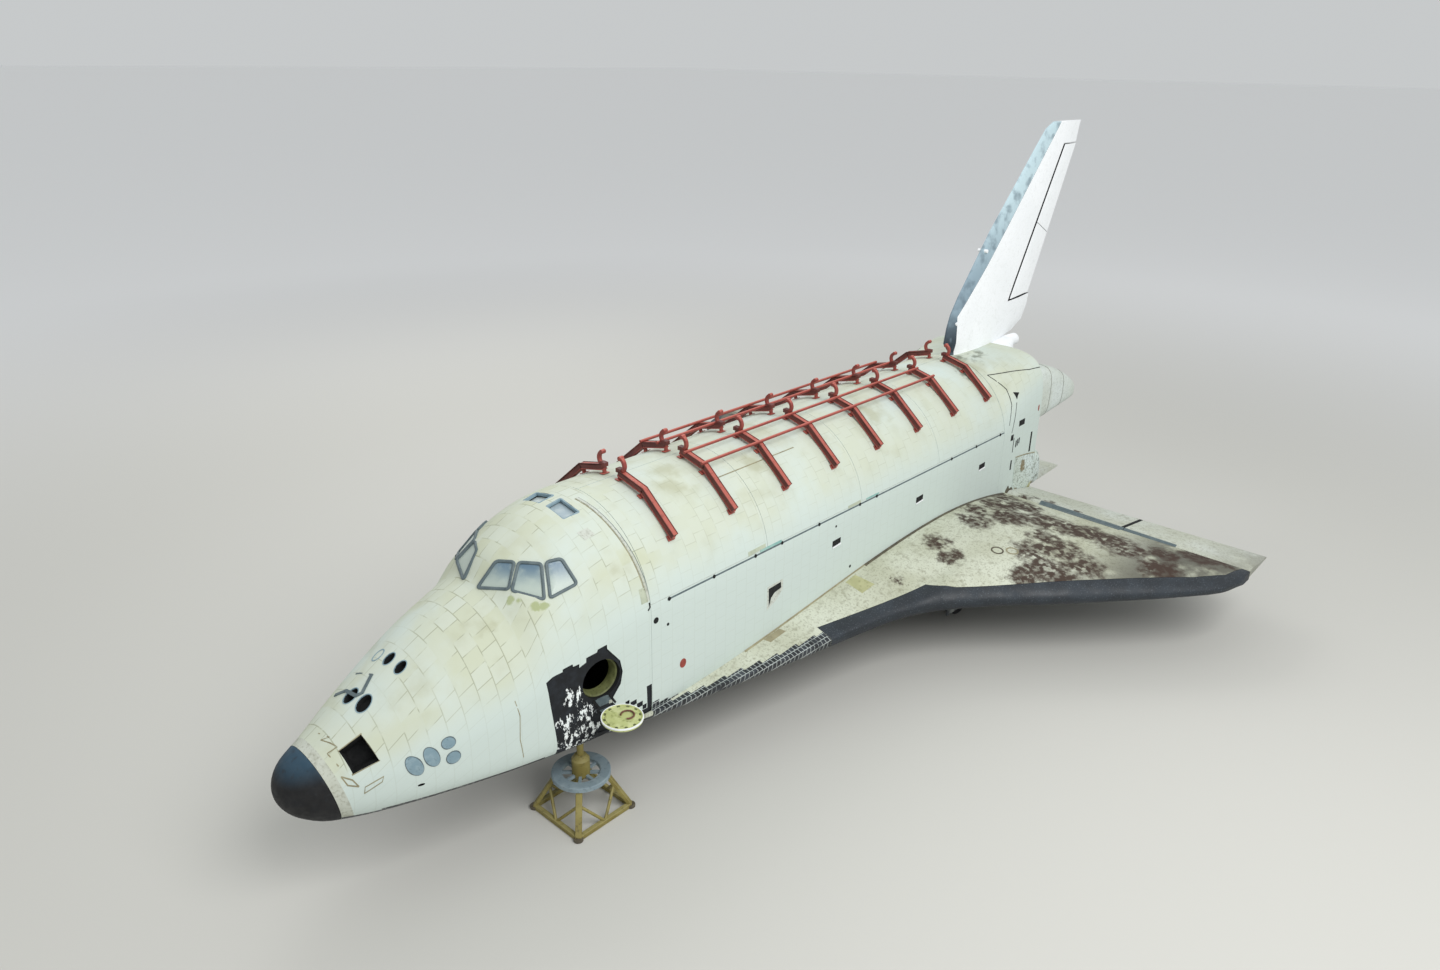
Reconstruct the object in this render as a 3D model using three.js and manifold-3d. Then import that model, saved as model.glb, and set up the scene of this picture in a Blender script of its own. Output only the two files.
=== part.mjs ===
// A winged space shuttle standing on its landing gear, with a yellow jack stand under its nose.
// Millimetres. +X is forward, +Y is port, +Z is up, and the floor is at zero.
// A station is a distance aft of the nose tip. A height is measured up from the flat belly.
import * as THREE from "three";
import { mergeVertices } from "three/addons/utils/BufferGeometryUtils.js";
import Module from "manifold-3d";

const wasm = await Module();
wasm.setup();

// Overall sizes
const LENGTH = 36370;
const SPAN = 23920;
const NOSE_X = LENGTH / 2;
const BELLY = 2100;
const PORT = 1;
const STARBOARD = -1;

// Gaps between pieces: a fixed joint, a tile joint and a moving joint
const TOUCH_GAP = 0.5;
const SEAM_GAP = 8;
const MOVING_GAP = 20;

// Hull
const HULL_SEGMENTS = 36;
const HULL_HALF_WIDTH = 2800;
const CROWN_CENTRE = 3100;
const KEEL_FLATTENING = 1.002;
const CAP_JOINT = 900;
const CAP_HEIGHT = 1130;
const CAP_TILT = 0.2;
const BAY_FRONT = 8900;
const BAY_REAR = 27450;
const AFT_END = 30300;
const AFT_CROWN = 5930;
const CABIN_WALL = 180;
const CABIN_FRONT = 4700;
const CABIN_REAR = 8600;
const CABIN_SOLE = 420;
const BAY_RADIUS = 2350;
const BAY_SEGMENTS = 16;
const BAY_END_WALL = 250;

// station, half width, bottom, widest, top, crown power, keel power
const HULL_STATIONS = [
  [0, 20, 1110, 1130, 1150, 2, 2],
  [100, 400, 760, 1130, 1520, 2, 2],
  [350, 680, 450, 1130, 1820, 2, 2],
  [970, 1000, 100, 1130, 2140, 2, 2.3],
  [2000, 1460, 0, 1200, 2760, 2, 2.8],
  [3000, 1820, 0, 1350, 3340, 2, 3.5],
  [4000, 2090, 0, 1550, 3860, 2, 4.5],
  [5000, 2300, 0, 1800, 4240, 2, 6],
  [5420, 2370, 0, 1930, 4400, 2, 6.8],
  [5970, 2460, 0, 2100, 5020, 2, 8],
  [6600, 2560, 0, 2320, 5400, 2, 9.5],
  [7300, 2650, 0, 2600, 5700, 2, 11],
  [8100, 2750, 0, 2900, 5860, 2, 13],
  [BAY_FRONT, HULL_HALF_WIDTH, 0, CROWN_CENTRE, 5900, 2, 16],
  [BAY_REAR, HULL_HALF_WIDTH, 0, CROWN_CENTRE, 5900, 2, 16],
  [28600, HULL_HALF_WIDTH, 0, CROWN_CENTRE, 5915, 2.9, 16],
  [AFT_END, HULL_HALF_WIDTH, 0, CROWN_CENTRE, AFT_CROWN, 4.5, 16],
];

// Bay doors and the beams bolted across them
const DOOR_THICKNESS = 150;
const DOOR_SILL = 3500;
const DOOR_SEGMENTS = 12;
const BEAM_COUNT = 8;
const BEAM_FIRST = 10142;
const BEAM_SPACING = 2357;
const BEAM_WIDTH = 190;
const BEAM_DEPTH = 170;
const TIE_RADIUS = 45;
const HOOK_RADIUS = 210;
const HOOK_SECTION = 95;
// y and height of the beam's centreline: foot, knee and inner end
const BEAM_LINE = [
  [2370, 4900],
  [1250, 5860],
  [330, 6090],
];

// Windows: station, y and height of each post's top, then of its bottom
const WINDSHIELD_POSTS = [
  [5970, 360, 5010, 5400, 240, 4390],
  [6240, 870, 5050, 5800, 1145, 4520],
  [6680, 1360, 5040, 6360, 1855, 4320],
  [7090, 1540, 5080, 7160, 2050, 4520],
];
const OVERHEAD_POSTS = [
  [7720, 90, 5786, 8280, 90, 5870],
  [7720, 880, 5619, 8280, 930, 5698],
];
const GLASS_THICKNESS = 60;
const WINDOW_GAP = 25;
const WINDOW_CUT = 450;

// Side hatch
const HATCH_STATION = 7310;
const HATCH_HEIGHT = 1950;
const HATCH_Y = 2650;
const HATCH_OPENING_RADIUS = 560;
const HATCH_RADIUS = 530;
const HATCH_THICKNESS = 110;
const HATCH_TAPER = 0.138;
const HATCH_REACH = 800;
const HATCH_HINGE_OUT = 70;
const HATCH_RISE = 125;
const HATCH_ARM_X = 230;
const HATCH_ARM_WIDTH = 60;

// Nose opening: the middle, the size and the slope of a square well with no cover
const NOSE_WELL = { station: 1560, y: 960, height: 1930, size: 480, depth: 520, roll: 0.72, pitch: 0.42 };

// Wing
const HINGE_STATION = 28450;
const HINGE_HEIGHT = 400;
const TRAILING_STATION = 30300;
const TRAILING_HEIGHT = 330;
const TRAILING_THICKNESS = 50;
const ELEVON_SPLIT = 7500;
const WING_NOSE_RUN = 600;
const ROOT_Y = 2450;
const ELEVON_ROOT = 2840;
const TIP_Y = SPAN / 2;
// y, leading edge, crest station, crest height, edge height, underside, hinge radius, roundness
const WING_STATIONS = [
  [ROOT_Y, 7400, 22900, 1370, 260, 0, 375, 0],
  [2790, 8750, 22900, 1370, 260, 0, 370, 0],
  [3670, 12830, 23000, 1340, 280, 0, 350, 0.1],
  [4710, 17770, 23200, 1300, 320, 10, 330, 0.5],
  [5300, 18950, 23500, 1250, 350, 20, 315, 0.9],
  [8400, 22500, 25000, 1020, 400, 90, 240, 1],
  [11000, 25550, 26900, 750, 430, 160, 185, 1],
  [11650, 26450, 27500, 650, 440, 200, 170, 1],
  [TIP_Y, 27400, 28000, 560, 440, 260, 150, 1],
];
// station and y of the line behind the dark leading edge
const EDGE_LINE = [
  [15100, 3560],
  [16700, 3990],
  [19330, 4690],
  [19520, 5090],
  [19850, 5500],
  [23300, 8480],
  [26100, 10820],
  [27150, 11500],
  [28230, 11700],
];

// Fin: height, leading edge, rear edge, half thickness
const FIN_STATIONS = [
  [5500, 27480, 31600, 330],
  [5900, 27480, 31780, 325],
  [6050, 27480, 32450, 320],
  [6400, 27100, 33230, 312],
  [7000, 27200, 33560, 300],
  [7500, 27380, 33640, 285],
  [8110, 27800, 33800, 260],
  [10380, 29700, 34820, 210],
  [13360, 32660, 36160, 140],
  [14000, 33320, 36280, 125],
  [14250, 33900, LENGTH, 110],
];
// share of the chord and of the half thickness
const FIN_PROFILE = [
  [0, 0.12],
  [0.04, 0.45],
  [0.15, 0.8],
  [0.4, 1],
  [0.75, 0.75],
  [1, 0.1],
];
const RUDDER_BOTTOM = 7500;
const RUDDER_SPLIT = 10370;
const RUDDER_SPLIT_SLOPE = 0.345;
const RUDDER_TOP = 13350;
const RUDDER_GAP = 60;
// height and station
const RUDDER_HINGE = [
  [7000, 31430],
  [14250, 35530],
];
const RUDDER_REAR = [
  [7000, 33300],
  [13350, 36150],
];
const FIN_EDGE_LINE = [
  [5400, 27650],
  [7400, 27650],
  [9150, 29500],
  [13900, 34050],
  [14400, 34550],
];

// Rear end; rows of station, inner y, outer y, low and high
const POD_ROWS = [
  [30320, 1250, 2740, 3000, 5350],
  [31300, 1300, 2740, 3080, 5200],
  [32300, 1400, 2720, 3200, 4850],
  [33100, 1500, 2700, 3300, 4450],
  [33600, 1650, 2650, 3400, 4100],
  [33760, 1850, 2500, 3520, 3900],
];
const SPINE_END = 31800;
const SPINE_ROWS = [
  [AFT_END - 600, -900, 900, 4200, AFT_CROWN - 15],
  [31000, -850, 850, 4300, AFT_CROWN],
  [SPINE_END, -550, 550, 5000, AFT_CROWN - 20],
];
const CHUTE = { rear: 32900, height: 5580, frontRadius: 270, rearRadius: 240 };
const FLAP_HINGE = 31750;
const FLAP_REAR = 33600;
const FLAP_HALF_WIDTH = 2450;
const FLAP_HEIGHT = 330;
const FLAP_RADIUS = 200;
const NOZZLE_Y = 620;
const NOZZLE_HEIGHT = 3700;

// Landing gear
const NOSE_GEAR_STATION = 10100;
const MAIN_GEAR_STATION = 23050;
const MAIN_GEAR_Y = 3500;
const NOSE_WHEEL = { radius: 470, width: 290, rim: 250, spread: 270, axle: 55 };
const MAIN_WHEEL = { radius: 640, width: 430, rim: 330, spread: 370, axle: 90 };
const WHEEL_SEGMENTS = 20;
const AXLE_GAP = 6;
const NOSE_WELL_BOX = { front: 9250, rear: 11900, halfWidth: 620, depth: 600 };
const MAIN_WELL_BOX = { front: 21300, rear: 24600, inner: 2960, outer: 4420, depth: 820 };
const GEAR_DOOR_THICKNESS = 50;

// Jack stand
const STAND_STATION = 6900;
const STAND_Y = 2150;
const STAND_HALF_BASE = 900;
const STAND_LEG_TOP = 450;
const STAND_TUBE = 70;
const STAND_DECK = { height: 1100, thickness: 130, radius: 780 };
const STAND_COLUMN = { radius: 240, jack: 90, top: -380 };

const PAINT = {
  white: new THREE.MeshStandardMaterial({ color: "#dcdccf", roughness: 0.75, metalness: 0 }),
  tile: new THREE.MeshStandardMaterial({ color: "#23262b", roughness: 0.6, metalness: 0 }),
  edge: new THREE.MeshStandardMaterial({ color: "#56606a", roughness: 0.6, metalness: 0 }),
  beam: new THREE.MeshStandardMaterial({ color: "#a8463f", roughness: 0.6, metalness: 0.1 }),
  glass: new THREE.MeshStandardMaterial({ color: "#8fa3ad", roughness: 0.2, metalness: 0 }),
  primer: new THREE.MeshStandardMaterial({ color: "#a9ad62", roughness: 0.7, metalness: 0 }),
  metal: new THREE.MeshStandardMaterial({ color: "#8d9196", roughness: 0.4, metalness: 0.8 }),
  rubber: new THREE.MeshStandardMaterial({ color: "#1d1d1e", roughness: 0.9, metalness: 0 }),
  stand: new THREE.MeshStandardMaterial({ color: "#a08c2e", roughness: 0.6, metalness: 0.1 }),
  dark: new THREE.MeshStandardMaterial({ color: "#2b2c2e", roughness: 0.8, metalness: 0 }),
};

const shuttle = new THREE.Group();

// A point from its station, its y and its height above the belly
function at(station, y, height) {
  return new THREE.Vector3(NOSE_X - station, y, BELLY + height);
}

// A value read between the rows of a table whose first column is the key
function between(rows, key, column) {
  const last = rows.length - 1;
  if (key <= rows[0][0]) return rows[0][column];
  if (key >= rows[last][0]) return rows[last][column];
  const next = rows.findIndex((row) => row[0] > key);
  const low = rows[next - 1];
  const high = rows[next];
  const share = (key - low[0]) / (high[0] - low[0]);
  return low[column] + share * (high[column] - low[column]);
}

// A closed body from a three.js geometry
function solid(geometry) {
  geometry.deleteAttribute("normal");
  geometry.deleteAttribute("uv");
  const merged = mergeVertices(geometry, 0.01);
  const vertProperties = new Float32Array(merged.attributes.position.array);
  const triVerts = new Uint32Array(merged.index.array);
  return new wasm.Manifold(new wasm.Mesh({ numProp: 3, vertProperties, triVerts }));
}

// A body's triangles as a three.js geometry
function surface(body) {
  const mesh = body.getMesh();
  const geometry = new THREE.BufferGeometry();
  geometry.setAttribute("position", new THREE.BufferAttribute(new Float32Array(mesh.vertProperties), 3));
  geometry.setIndex(new THREE.BufferAttribute(new Uint32Array(mesh.triVerts), 1));
  geometry.computeVertexNormals();
  return geometry;
}

// A skin over rings of equal count, closed at both ends, with its faces pointing out
function loft(rings) {
  const count = rings[0].length;
  const points = rings.flat();
  const faces = [];
  for (let ring = 0; ring + 1 < rings.length; ring += 1) {
    for (let step = 0; step < count; step += 1) {
      const here = ring * count + step;
      const next = ring * count + ((step + 1) % count);
      faces.push([here, here + count, next], [next, here + count, next + count]);
    }
  }
  for (const end of [0, rings.length - 1]) {
    const middle = points.length;
    const ring = rings[end];
    const sum = ring.reduce((total, point) => total.add(point), new THREE.Vector3());
    points.push(sum.divideScalar(count));
    for (let step = 0; step < count; step += 1) {
      const here = end * count + step;
      const next = end * count + ((step + 1) % count);
      faces.push(end === 0 ? [middle, here, next] : [middle, next, here]);
    }
  }
  const volume = faces.reduce((total, [a, b, c]) => {
    return total + points[a].dot(points[b].clone().cross(points[c]));
  }, 0);
  const order = volume > 0 ? faces : faces.map(([a, b, c]) => [a, c, b]);
  const geometry = new THREE.BufferGeometry();
  const places = points.flatMap((point) => point.toArray());
  geometry.setAttribute("position", new THREE.Float32BufferAttribute(places, 3));
  geometry.setIndex(order.flat());
  return solid(geometry);
}

// A box between two corners, each given as station, y and height
function block(corner, opposite) {
  const box = new THREE.Box3().setFromPoints([at(...corner), at(...opposite)]);
  const size = box.getSize(new THREE.Vector3());
  const middle = box.getCenter(new THREE.Vector3());
  return solid(new THREE.BoxGeometry(size.x, size.y, size.z).translate(middle.x, middle.y, middle.z));
}

// A round bar between two points
function rod(from, to, radius, segments = 8, endRadius = radius) {
  const along = to.clone().sub(from);
  const geometry = new THREE.CylinderGeometry(endRadius, radius, along.length(), segments);
  const upright = new THREE.Vector3(0, 1, 0);
  geometry.applyQuaternion(new THREE.Quaternion().setFromUnitVectors(upright, along.clone().normalize()));
  const middle = from.clone().add(to).multiplyScalar(0.5);
  return solid(geometry.translate(middle.x, middle.y, middle.z));
}

// A flat shape in station and y, as thick as the space between two heights
function planPrism(outline, side, low, high) {
  const ring = (height) => outline.map(([station, y]) => at(station, side * y, height));
  return prism(ring(low), ring(high));
}

// A prism between two equal outlines, which may be hollow-sided
function prism(lower, upper) {
  const count = lower.length;
  const flat = lower.map((point) => new THREE.Vector2(point.x, point.y));
  const triangles = THREE.ShapeUtils.triangulateShape(flat, []);
  const faces = [];
  for (const [a, b, c] of triangles) {
    faces.push([a, c, b], [a + count, b + count, c + count]);
  }
  const anticlockwise = THREE.ShapeUtils.area(flat) > 0;
  const [first, second] = triangles[0].map((index) => flat[index]);
  const third = flat[triangles[0][2]];
  const oneSide = new THREE.Vector2().subVectors(second, first);
  const otherSide = new THREE.Vector2().subVectors(third, first);
  const turn = oneSide.cross(otherSide);
  const caps = turn > 0 ? faces : faces.map(([a, b, c]) => [a, c, b]);
  for (let step = 0; step < count; step += 1) {
    const next = (step + 1) % count;
    const wall = [[step, next, next + count], [step, next + count, step + count]];
    caps.push(...(anticlockwise ? wall : wall.map(([a, b, c]) => [a, c, b])));
  }
  const geometry = new THREE.BufferGeometry();
  const points = [...lower, ...upper];
  const places = points.flatMap((point) => point.toArray());
  geometry.setAttribute("position", new THREE.Float32BufferAttribute(places, 3));
  geometry.setIndex(caps.flat());
  return solid(geometry);
}

// Several bodies joined into one
function join(bodies) {
  return bodies.reduce((whole, body) => whole.add(body));
}

// A named piece in the shuttle
function piece(name, body, material, group = shuttle) {
  const mesh = new THREE.Mesh(surface(body), material);
  mesh.name = name;
  group.add(mesh);
  return mesh;
}

// Port and starboard names
function sideName(side) {
  return side === PORT ? "port" : "starboard";
}

// One ring of the hull, drawn in by an inset, with its own floor where one is given
function hullRing(station, inset = 0, sole = 0) {
  const [halfWidth, bottom, widest, top, crown, keel] = [1, 2, 3, 4, 5, 6].map((column) => {
    return between(HULL_STATIONS, station, column);
  });
  const low = Math.max(bottom + inset, sole);
  const ring = [];
  for (let step = 0; step < HULL_SEGMENTS; step += 1) {
    const angle = (2 * Math.PI * step) / HULL_SEGMENTS;
    const [across, up] = [Math.cos(angle), Math.sin(angle)];
    const power = 2 / (up >= 0 ? crown : keel);
    const reach = up >= 0 ? top - inset - widest : widest - low;
    const y = (halfWidth - inset) * Math.sign(across) * Math.abs(across) ** power;
    const height = widest + reach * KEEL_FLATTENING * Math.sign(up) * Math.abs(up) ** power;
    ring.push(at(station, y, Math.min(Math.max(height, low), top - inset)));
  }
  return ring;
}

// The hull between two stations
function hull(from, to, inset = 0, sole = 0) {
  const inner = HULL_STATIONS.map((row) => row[0]).filter((station) => station > from && station < to);
  return loft([from, ...inner, to].map((station) => hullRing(station, inset, sole)));
}

// A slab along a row of window posts: grown at its edges, and between two depths under the skin
function windowSlab(posts, side, grow, outside, inside) {
  const tops = posts.map((post) => at(post[0], side * post[1], post[2]));
  const bottoms = posts.map((post) => at(post[3], side * post[4], post[5]));
  const last = posts.length - 1;
  const rings = posts.map((post, index) => {
    const before = Math.max(index - 1, 0);
    const after = Math.min(index + 1, last);
    const across = tops[after].clone().add(bottoms[after]).sub(tops[before]).sub(bottoms[before]);
    across.normalize();
    const up = tops[index].clone().sub(bottoms[index]).normalize();
    const out = new THREE.Vector3().crossVectors(across, up).normalize();
    if (out.z < 0) out.negate();
    const end = (index === last ? grow : 0) - (index === 0 ? grow : 0);
    const top = tops[index].clone().addScaledVector(up, grow).addScaledVector(across, end);
    const bottom = bottoms[index].clone().addScaledVector(up, -grow).addScaledVector(across, end);
    return [
      top.clone().addScaledVector(out, outside),
      top.clone().addScaledVector(out, -inside),
      bottom.clone().addScaledVector(out, -inside),
      bottom.clone().addScaledVector(out, outside),
    ];
  });
  return loft(rings);
}

// Puts a geometry made about the hatch's own middle, its outward way along +Y, in its place
function atHatch(geometry) {
  const middle = at(HATCH_STATION, HATCH_Y, HATCH_HEIGHT);
  return solid(geometry.rotateZ(-HATCH_TAPER).translate(middle.x, middle.y, middle.z));
}

// Nose cap, cabin shell and what fills its openings
function buildForward() {
  const whole = hull(0, BAY_FRONT - SEAM_GAP);
  const capBox = (shift) => {
    const box = new THREE.BoxGeometry(3000, 4000, 5000).translate(1500 + shift, 0, 0).rotateY(CAP_TILT);
    const place = at(CAP_JOINT, 0, CAP_HEIGHT);
    return solid(box.translate(place.x, place.y, place.z));
  };
  piece("nose_cap", whole.intersect(capBox(SEAM_GAP)), PAINT.tile);

  const well = new THREE.BoxGeometry(NOSE_WELL.size, NOSE_WELL.size, 2 * NOSE_WELL.depth);
  well.rotateX(-NOSE_WELL.roll).rotateY(NOSE_WELL.pitch);
  const wellPlace = at(NOSE_WELL.station, NOSE_WELL.y, NOSE_WELL.height);
  const hatchHole = new THREE.CylinderGeometry(HATCH_OPENING_RADIUS, HATCH_OPENING_RADIUS, 1400, 32);
  let shell = whole.subtract(capBox(0));
  shell = shell.subtract(hull(CABIN_FRONT, CABIN_REAR, CABIN_WALL, CABIN_SOLE));
  shell = shell.subtract(solid(well.translate(wellPlace.x, wellPlace.y, wellPlace.z)));
  shell = shell.subtract(atHatch(hatchHole));
  for (const x of [-HATCH_ARM_X, HATCH_ARM_X]) {
    const lug = new THREE.BoxGeometry(40, 190, 90);
    const lugX = x + Math.sign(x) * (HATCH_ARM_WIDTH / 2 + 10 + 20);
    shell = shell.add(atHatch(lug.translate(lugX, HATCH_HINGE_OUT - 70, -HATCH_REACH)));
  }
  for (const side of [PORT, STARBOARD]) {
    shell = shell.subtract(windowSlab(WINDSHIELD_POSTS, side, WINDOW_GAP, 150, WINDOW_CUT));
    shell = shell.subtract(windowSlab(OVERHEAD_POSTS, side, WINDOW_GAP, 150, WINDOW_CUT));
    const windshield = windowSlab(WINDSHIELD_POSTS, side, 0, 0, GLASS_THICKNESS);
    const overhead = windowSlab(OVERHEAD_POSTS, side, 0, 0, GLASS_THICKNESS);
    piece(`${sideName(side)}_windshield`, windshield, PAINT.glass);
    piece(`${sideName(side)}_overhead_window`, overhead, PAINT.glass);
  }
  piece("forward_fuselage", shell, PAINT.white);
}

// Flight deck floor, instrument panel and two seats, all on one floor plate
function buildFlightDeck() {
  const floor = block([5700, -1750, 2650], [8500, 1750, 2750]);
  const panel = block([5900, -1300, 2700], [6150, 1300, 3700]);
  const console = block([6100, -250, 2700], [7400, 250, 3250]);
  const seats = [PORT, STARBOARD].flatMap((side) => [
    block([6800, side * 450, 2700], [7350, side * 1050, 3200]),
    block([7250, side * 450, 2700], [7400, side * 1050, 4050]),
  ]);
  piece("flight_deck", join([floor, panel, console, ...seats]), PAINT.dark);
}

// Ring in the hatch opening, and the round hatch hung open on two arms
function buildHatch() {
  const ring = [
    [HATCH_OPENING_RADIUS - TOUCH_GAP - 4, -420],
    [HATCH_OPENING_RADIUS - TOUCH_GAP - 4, -150],
    [HATCH_OPENING_RADIUS - 90, -150],
    [HATCH_OPENING_RADIUS - 90, -420],
    [HATCH_OPENING_RADIUS - TOUCH_GAP - 4, -420],
  ].map(([radius, out]) => new THREE.Vector2(radius, out));
  piece("hatch_ring", atHatch(new THREE.LatheGeometry(ring, 32)), PAINT.primer);

  const hinge = new THREE.Vector3(0, HATCH_HINGE_OUT, -HATCH_REACH);
  const disc = new THREE.CylinderGeometry(HATCH_RADIUS, HATCH_RADIUS - 40, HATCH_THICKNESS, 32);
  disc.rotateX(Math.PI / 2).translate(0, hinge.y + HATCH_REACH, hinge.z + HATCH_RISE);
  const parts = [disc];
  for (const x of [-HATCH_ARM_X, HATCH_ARM_X]) {
    const arm = new THREE.BoxGeometry(HATCH_ARM_WIDTH, 700, 60).translate(x, hinge.y + 350, hinge.z + 15);
    const foot = new THREE.BoxGeometry(HATCH_ARM_WIDTH, 300, 60).translate(x, hinge.y + 600, hinge.z + 55);
    const boss = new THREE.CylinderGeometry(45, 45, HATCH_ARM_WIDTH, 12).rotateZ(Math.PI / 2);
    parts.push(arm, foot, boss.translate(x, hinge.y, hinge.z));
  }
  piece("hatch_door", join(parts.map(atHatch)), PAINT.primer);
}

// Belly and side walls under the doors, hollow as the payload bay
function buildMid() {
  const front = BAY_FRONT;
  const rear = BAY_REAR - SEAM_GAP;
  const trough = hull(front, rear);
  const lid = block([front - 100, -4000, DOOR_SILL - SEAM_GAP], [rear + 100, 4000, 7000]);
  const bay = rod(
    at(front + BAY_END_WALL, 0, CROWN_CENTRE),
    at(rear - BAY_END_WALL, 0, CROWN_CENTRE),
    BAY_RADIUS,
    BAY_SEGMENTS,
  );
  const { front: wellFront, rear: wellRear, halfWidth, depth } = NOSE_WELL_BOX;
  const well = block([wellFront, -halfWidth, -100], [wellRear, halfWidth, depth]);
  const endWalls = [front, rear - BAY_END_WALL].map((station) => {
    return hull(station, station + BAY_END_WALL, DOOR_THICKNESS + SEAM_GAP + 60);
  });
  const body = trough.subtract(lid).add(join(endWalls)).subtract(bay).subtract(well);
  piece("mid_fuselage", body, PAINT.white);
}

// One bay door: a sector of the hull's crown, along the whole bay
function buildDoor(side) {
  const low = (radius) => Math.asin((DOOR_SILL - CROWN_CENTRE) / radius);
  const high = (radius) => Math.acos(MOVING_GAP / 2 / radius);
  const inner = HULL_HALF_WIDTH - DOOR_THICKNESS;
  const arc = (station, radius, from, to) => {
    return Array.from({ length: DOOR_SEGMENTS + 1 }, (_, step) => {
      const angle = from + ((to - from) * step) / DOOR_SEGMENTS;
      return at(station, side * radius * Math.cos(angle), CROWN_CENTRE + radius * Math.sin(angle));
    });
  };
  const section = (station) => [
    ...arc(station, HULL_HALF_WIDTH, low(HULL_HALF_WIDTH), high(HULL_HALF_WIDTH)),
    ...arc(station, inner, high(inner), low(inner)),
  ];
  const body = sectorLoft(section(BAY_FRONT + SEAM_GAP), section(BAY_REAR - 3 * SEAM_GAP));
  piece(`${sideName(side)}_bay_door`, body, PAINT.white);
}

// A body between two like outlines at two stations, with hollow outlines allowed
function sectorLoft(front, rear) {
  const flat = front.map((point) => new THREE.Vector2(point.y, point.z));
  const shape = new THREE.Shape(flat);
  const depth = front[0].x - rear[0].x;
  const geometry = new THREE.ExtrudeGeometry(shape, { depth, bevelEnabled: false, steps: 1 });
  const turn = new THREE.Matrix4().makeBasis(
    new THREE.Vector3(0, 1, 0),
    new THREE.Vector3(0, 0, 1),
    new THREE.Vector3(1, 0, 0),
  );
  return solid(geometry.applyMatrix4(turn).translate(rear[0].x, 0, 0));
}

// One beam across a door, with its feet, knee plate and hook
function beam(station, side) {
  const line = BEAM_LINE.map(([y, height]) => at(station, side * y, height));
  const parts = [];
  for (let index = 0; index + 1 < line.length; index += 1) {
    const along = line[index + 1].clone().sub(line[index]);
    const box = new THREE.BoxGeometry(BEAM_WIDTH, along.length() + 40, BEAM_DEPTH);
    box.rotateX(Math.atan2(along.z, along.y));
    const middle = line[index].clone().add(line[index + 1]).multiplyScalar(0.5);
    parts.push(solid(box.translate(middle.x, middle.y, middle.z)));
  }
  const crown = at(station, 0, CROWN_CENTRE);
  for (const point of line) {
    const out = point.clone().sub(crown).normalize();
    const skin = crown.clone().addScaledVector(out, HULL_HALF_WIDTH + 25);
    parts.push(rod(skin, point, 70, 4));
  }
  const inner = line[2];
  const hook = new THREE.Shape();
  hook.absarc(0, 0, HOOK_RADIUS + HOOK_SECTION / 2, -Math.PI / 2, Math.PI / 2.4, false);
  hook.absarc(0, 0, HOOK_RADIUS - HOOK_SECTION / 2, Math.PI / 2.4, -Math.PI / 2, true);
  const plate = new THREE.ExtrudeGeometry(hook, { depth: 110, bevelEnabled: false, curveSegments: 5 });
  const turn = new THREE.Matrix4().makeBasis(
    new THREE.Vector3(0, side, 0),
    new THREE.Vector3(0, 0, 1),
    new THREE.Vector3(side, 0, 0),
  );
  plate.applyMatrix4(turn).translate(inner.x - side * 55, side * 300, inner.z + 230);
  parts.push(solid(plate));
  return join(parts);
}

// The beams of one door: one alone at each end, and six tied by tubes
function buildBeams(side) {
  const station = (index) => BEAM_FIRST + index * BEAM_SPACING;
  const name = sideName(side);
  piece(`${name}_front_beam`, beam(station(0), side), PAINT.beam);
  piece(`${name}_rear_beam`, beam(station(BEAM_COUNT - 1), side), PAINT.beam);
  const tied = [];
  for (let index = 1; index + 1 < BEAM_COUNT; index += 1) {
    tied.push(beam(station(index), side));
  }
  for (const [y, height] of [[1250, 5990], [560, 6130]]) {
    const from = at(station(1) - 150, side * y, height);
    const to = at(station(BEAM_COUNT - 2) + 150, side * y, height);
    tied.push(rod(from, to, TIE_RADIUS));
  }
  piece(`${name}_tied_beams`, join(tied), PAINT.beam);
}

// Outline of the wing at one y, from the nose over the top to the hinge and back below
function wingRing(y, side) {
  const column = (index) => between(WING_STATIONS, y, index);
  const edge = column(1);
  const crest = column(2);
  const crestHeight = column(3);
  const edgeHeight = column(4);
  const underside = column(5);
  const radius = column(6);
  const roundness = column(7);
  const rear = HINGE_STATION - radius - MOVING_GAP;
  const rearTop = HINGE_HEIGHT + radius;
  const rearLow = HINGE_HEIGHT - radius;
  const rise = (share) => {
    const smooth = share * share * (3 - 2 * share);
    const round = Math.sqrt(1 - (1 - share) ** 2);
    return smooth + (round - smooth) * roundness;
  };
  const top = Math.min(crest, rear - 40);
  const ring = [];
  for (const share of [0, 0.02, 0.08, 0.2, 0.4, 0.6, 0.8, 1]) {
    const height = edgeHeight + rise(share) * (crestHeight - edgeHeight);
    ring.push(at(edge + share * (top - edge), side * y, height));
  }
  for (const share of [0.5, 1]) {
    const fall = share * share;
    ring.push(at(top + share * (rear - top), side * y, crestHeight + fall * (rearTop - crestHeight)));
  }
  const run = Math.min(WING_NOSE_RUN, (rear - edge) / 2);
  ring.push(at(rear, side * y, rearLow));
  for (const share of [1, 0.4, 0.1]) {
    const drop = Math.sqrt(1 - (1 - share) ** 2);
    ring.push(at(edge + share * run, side * y, edgeHeight + drop * (underside - edgeHeight)));
  }
  return ring;
}

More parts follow.
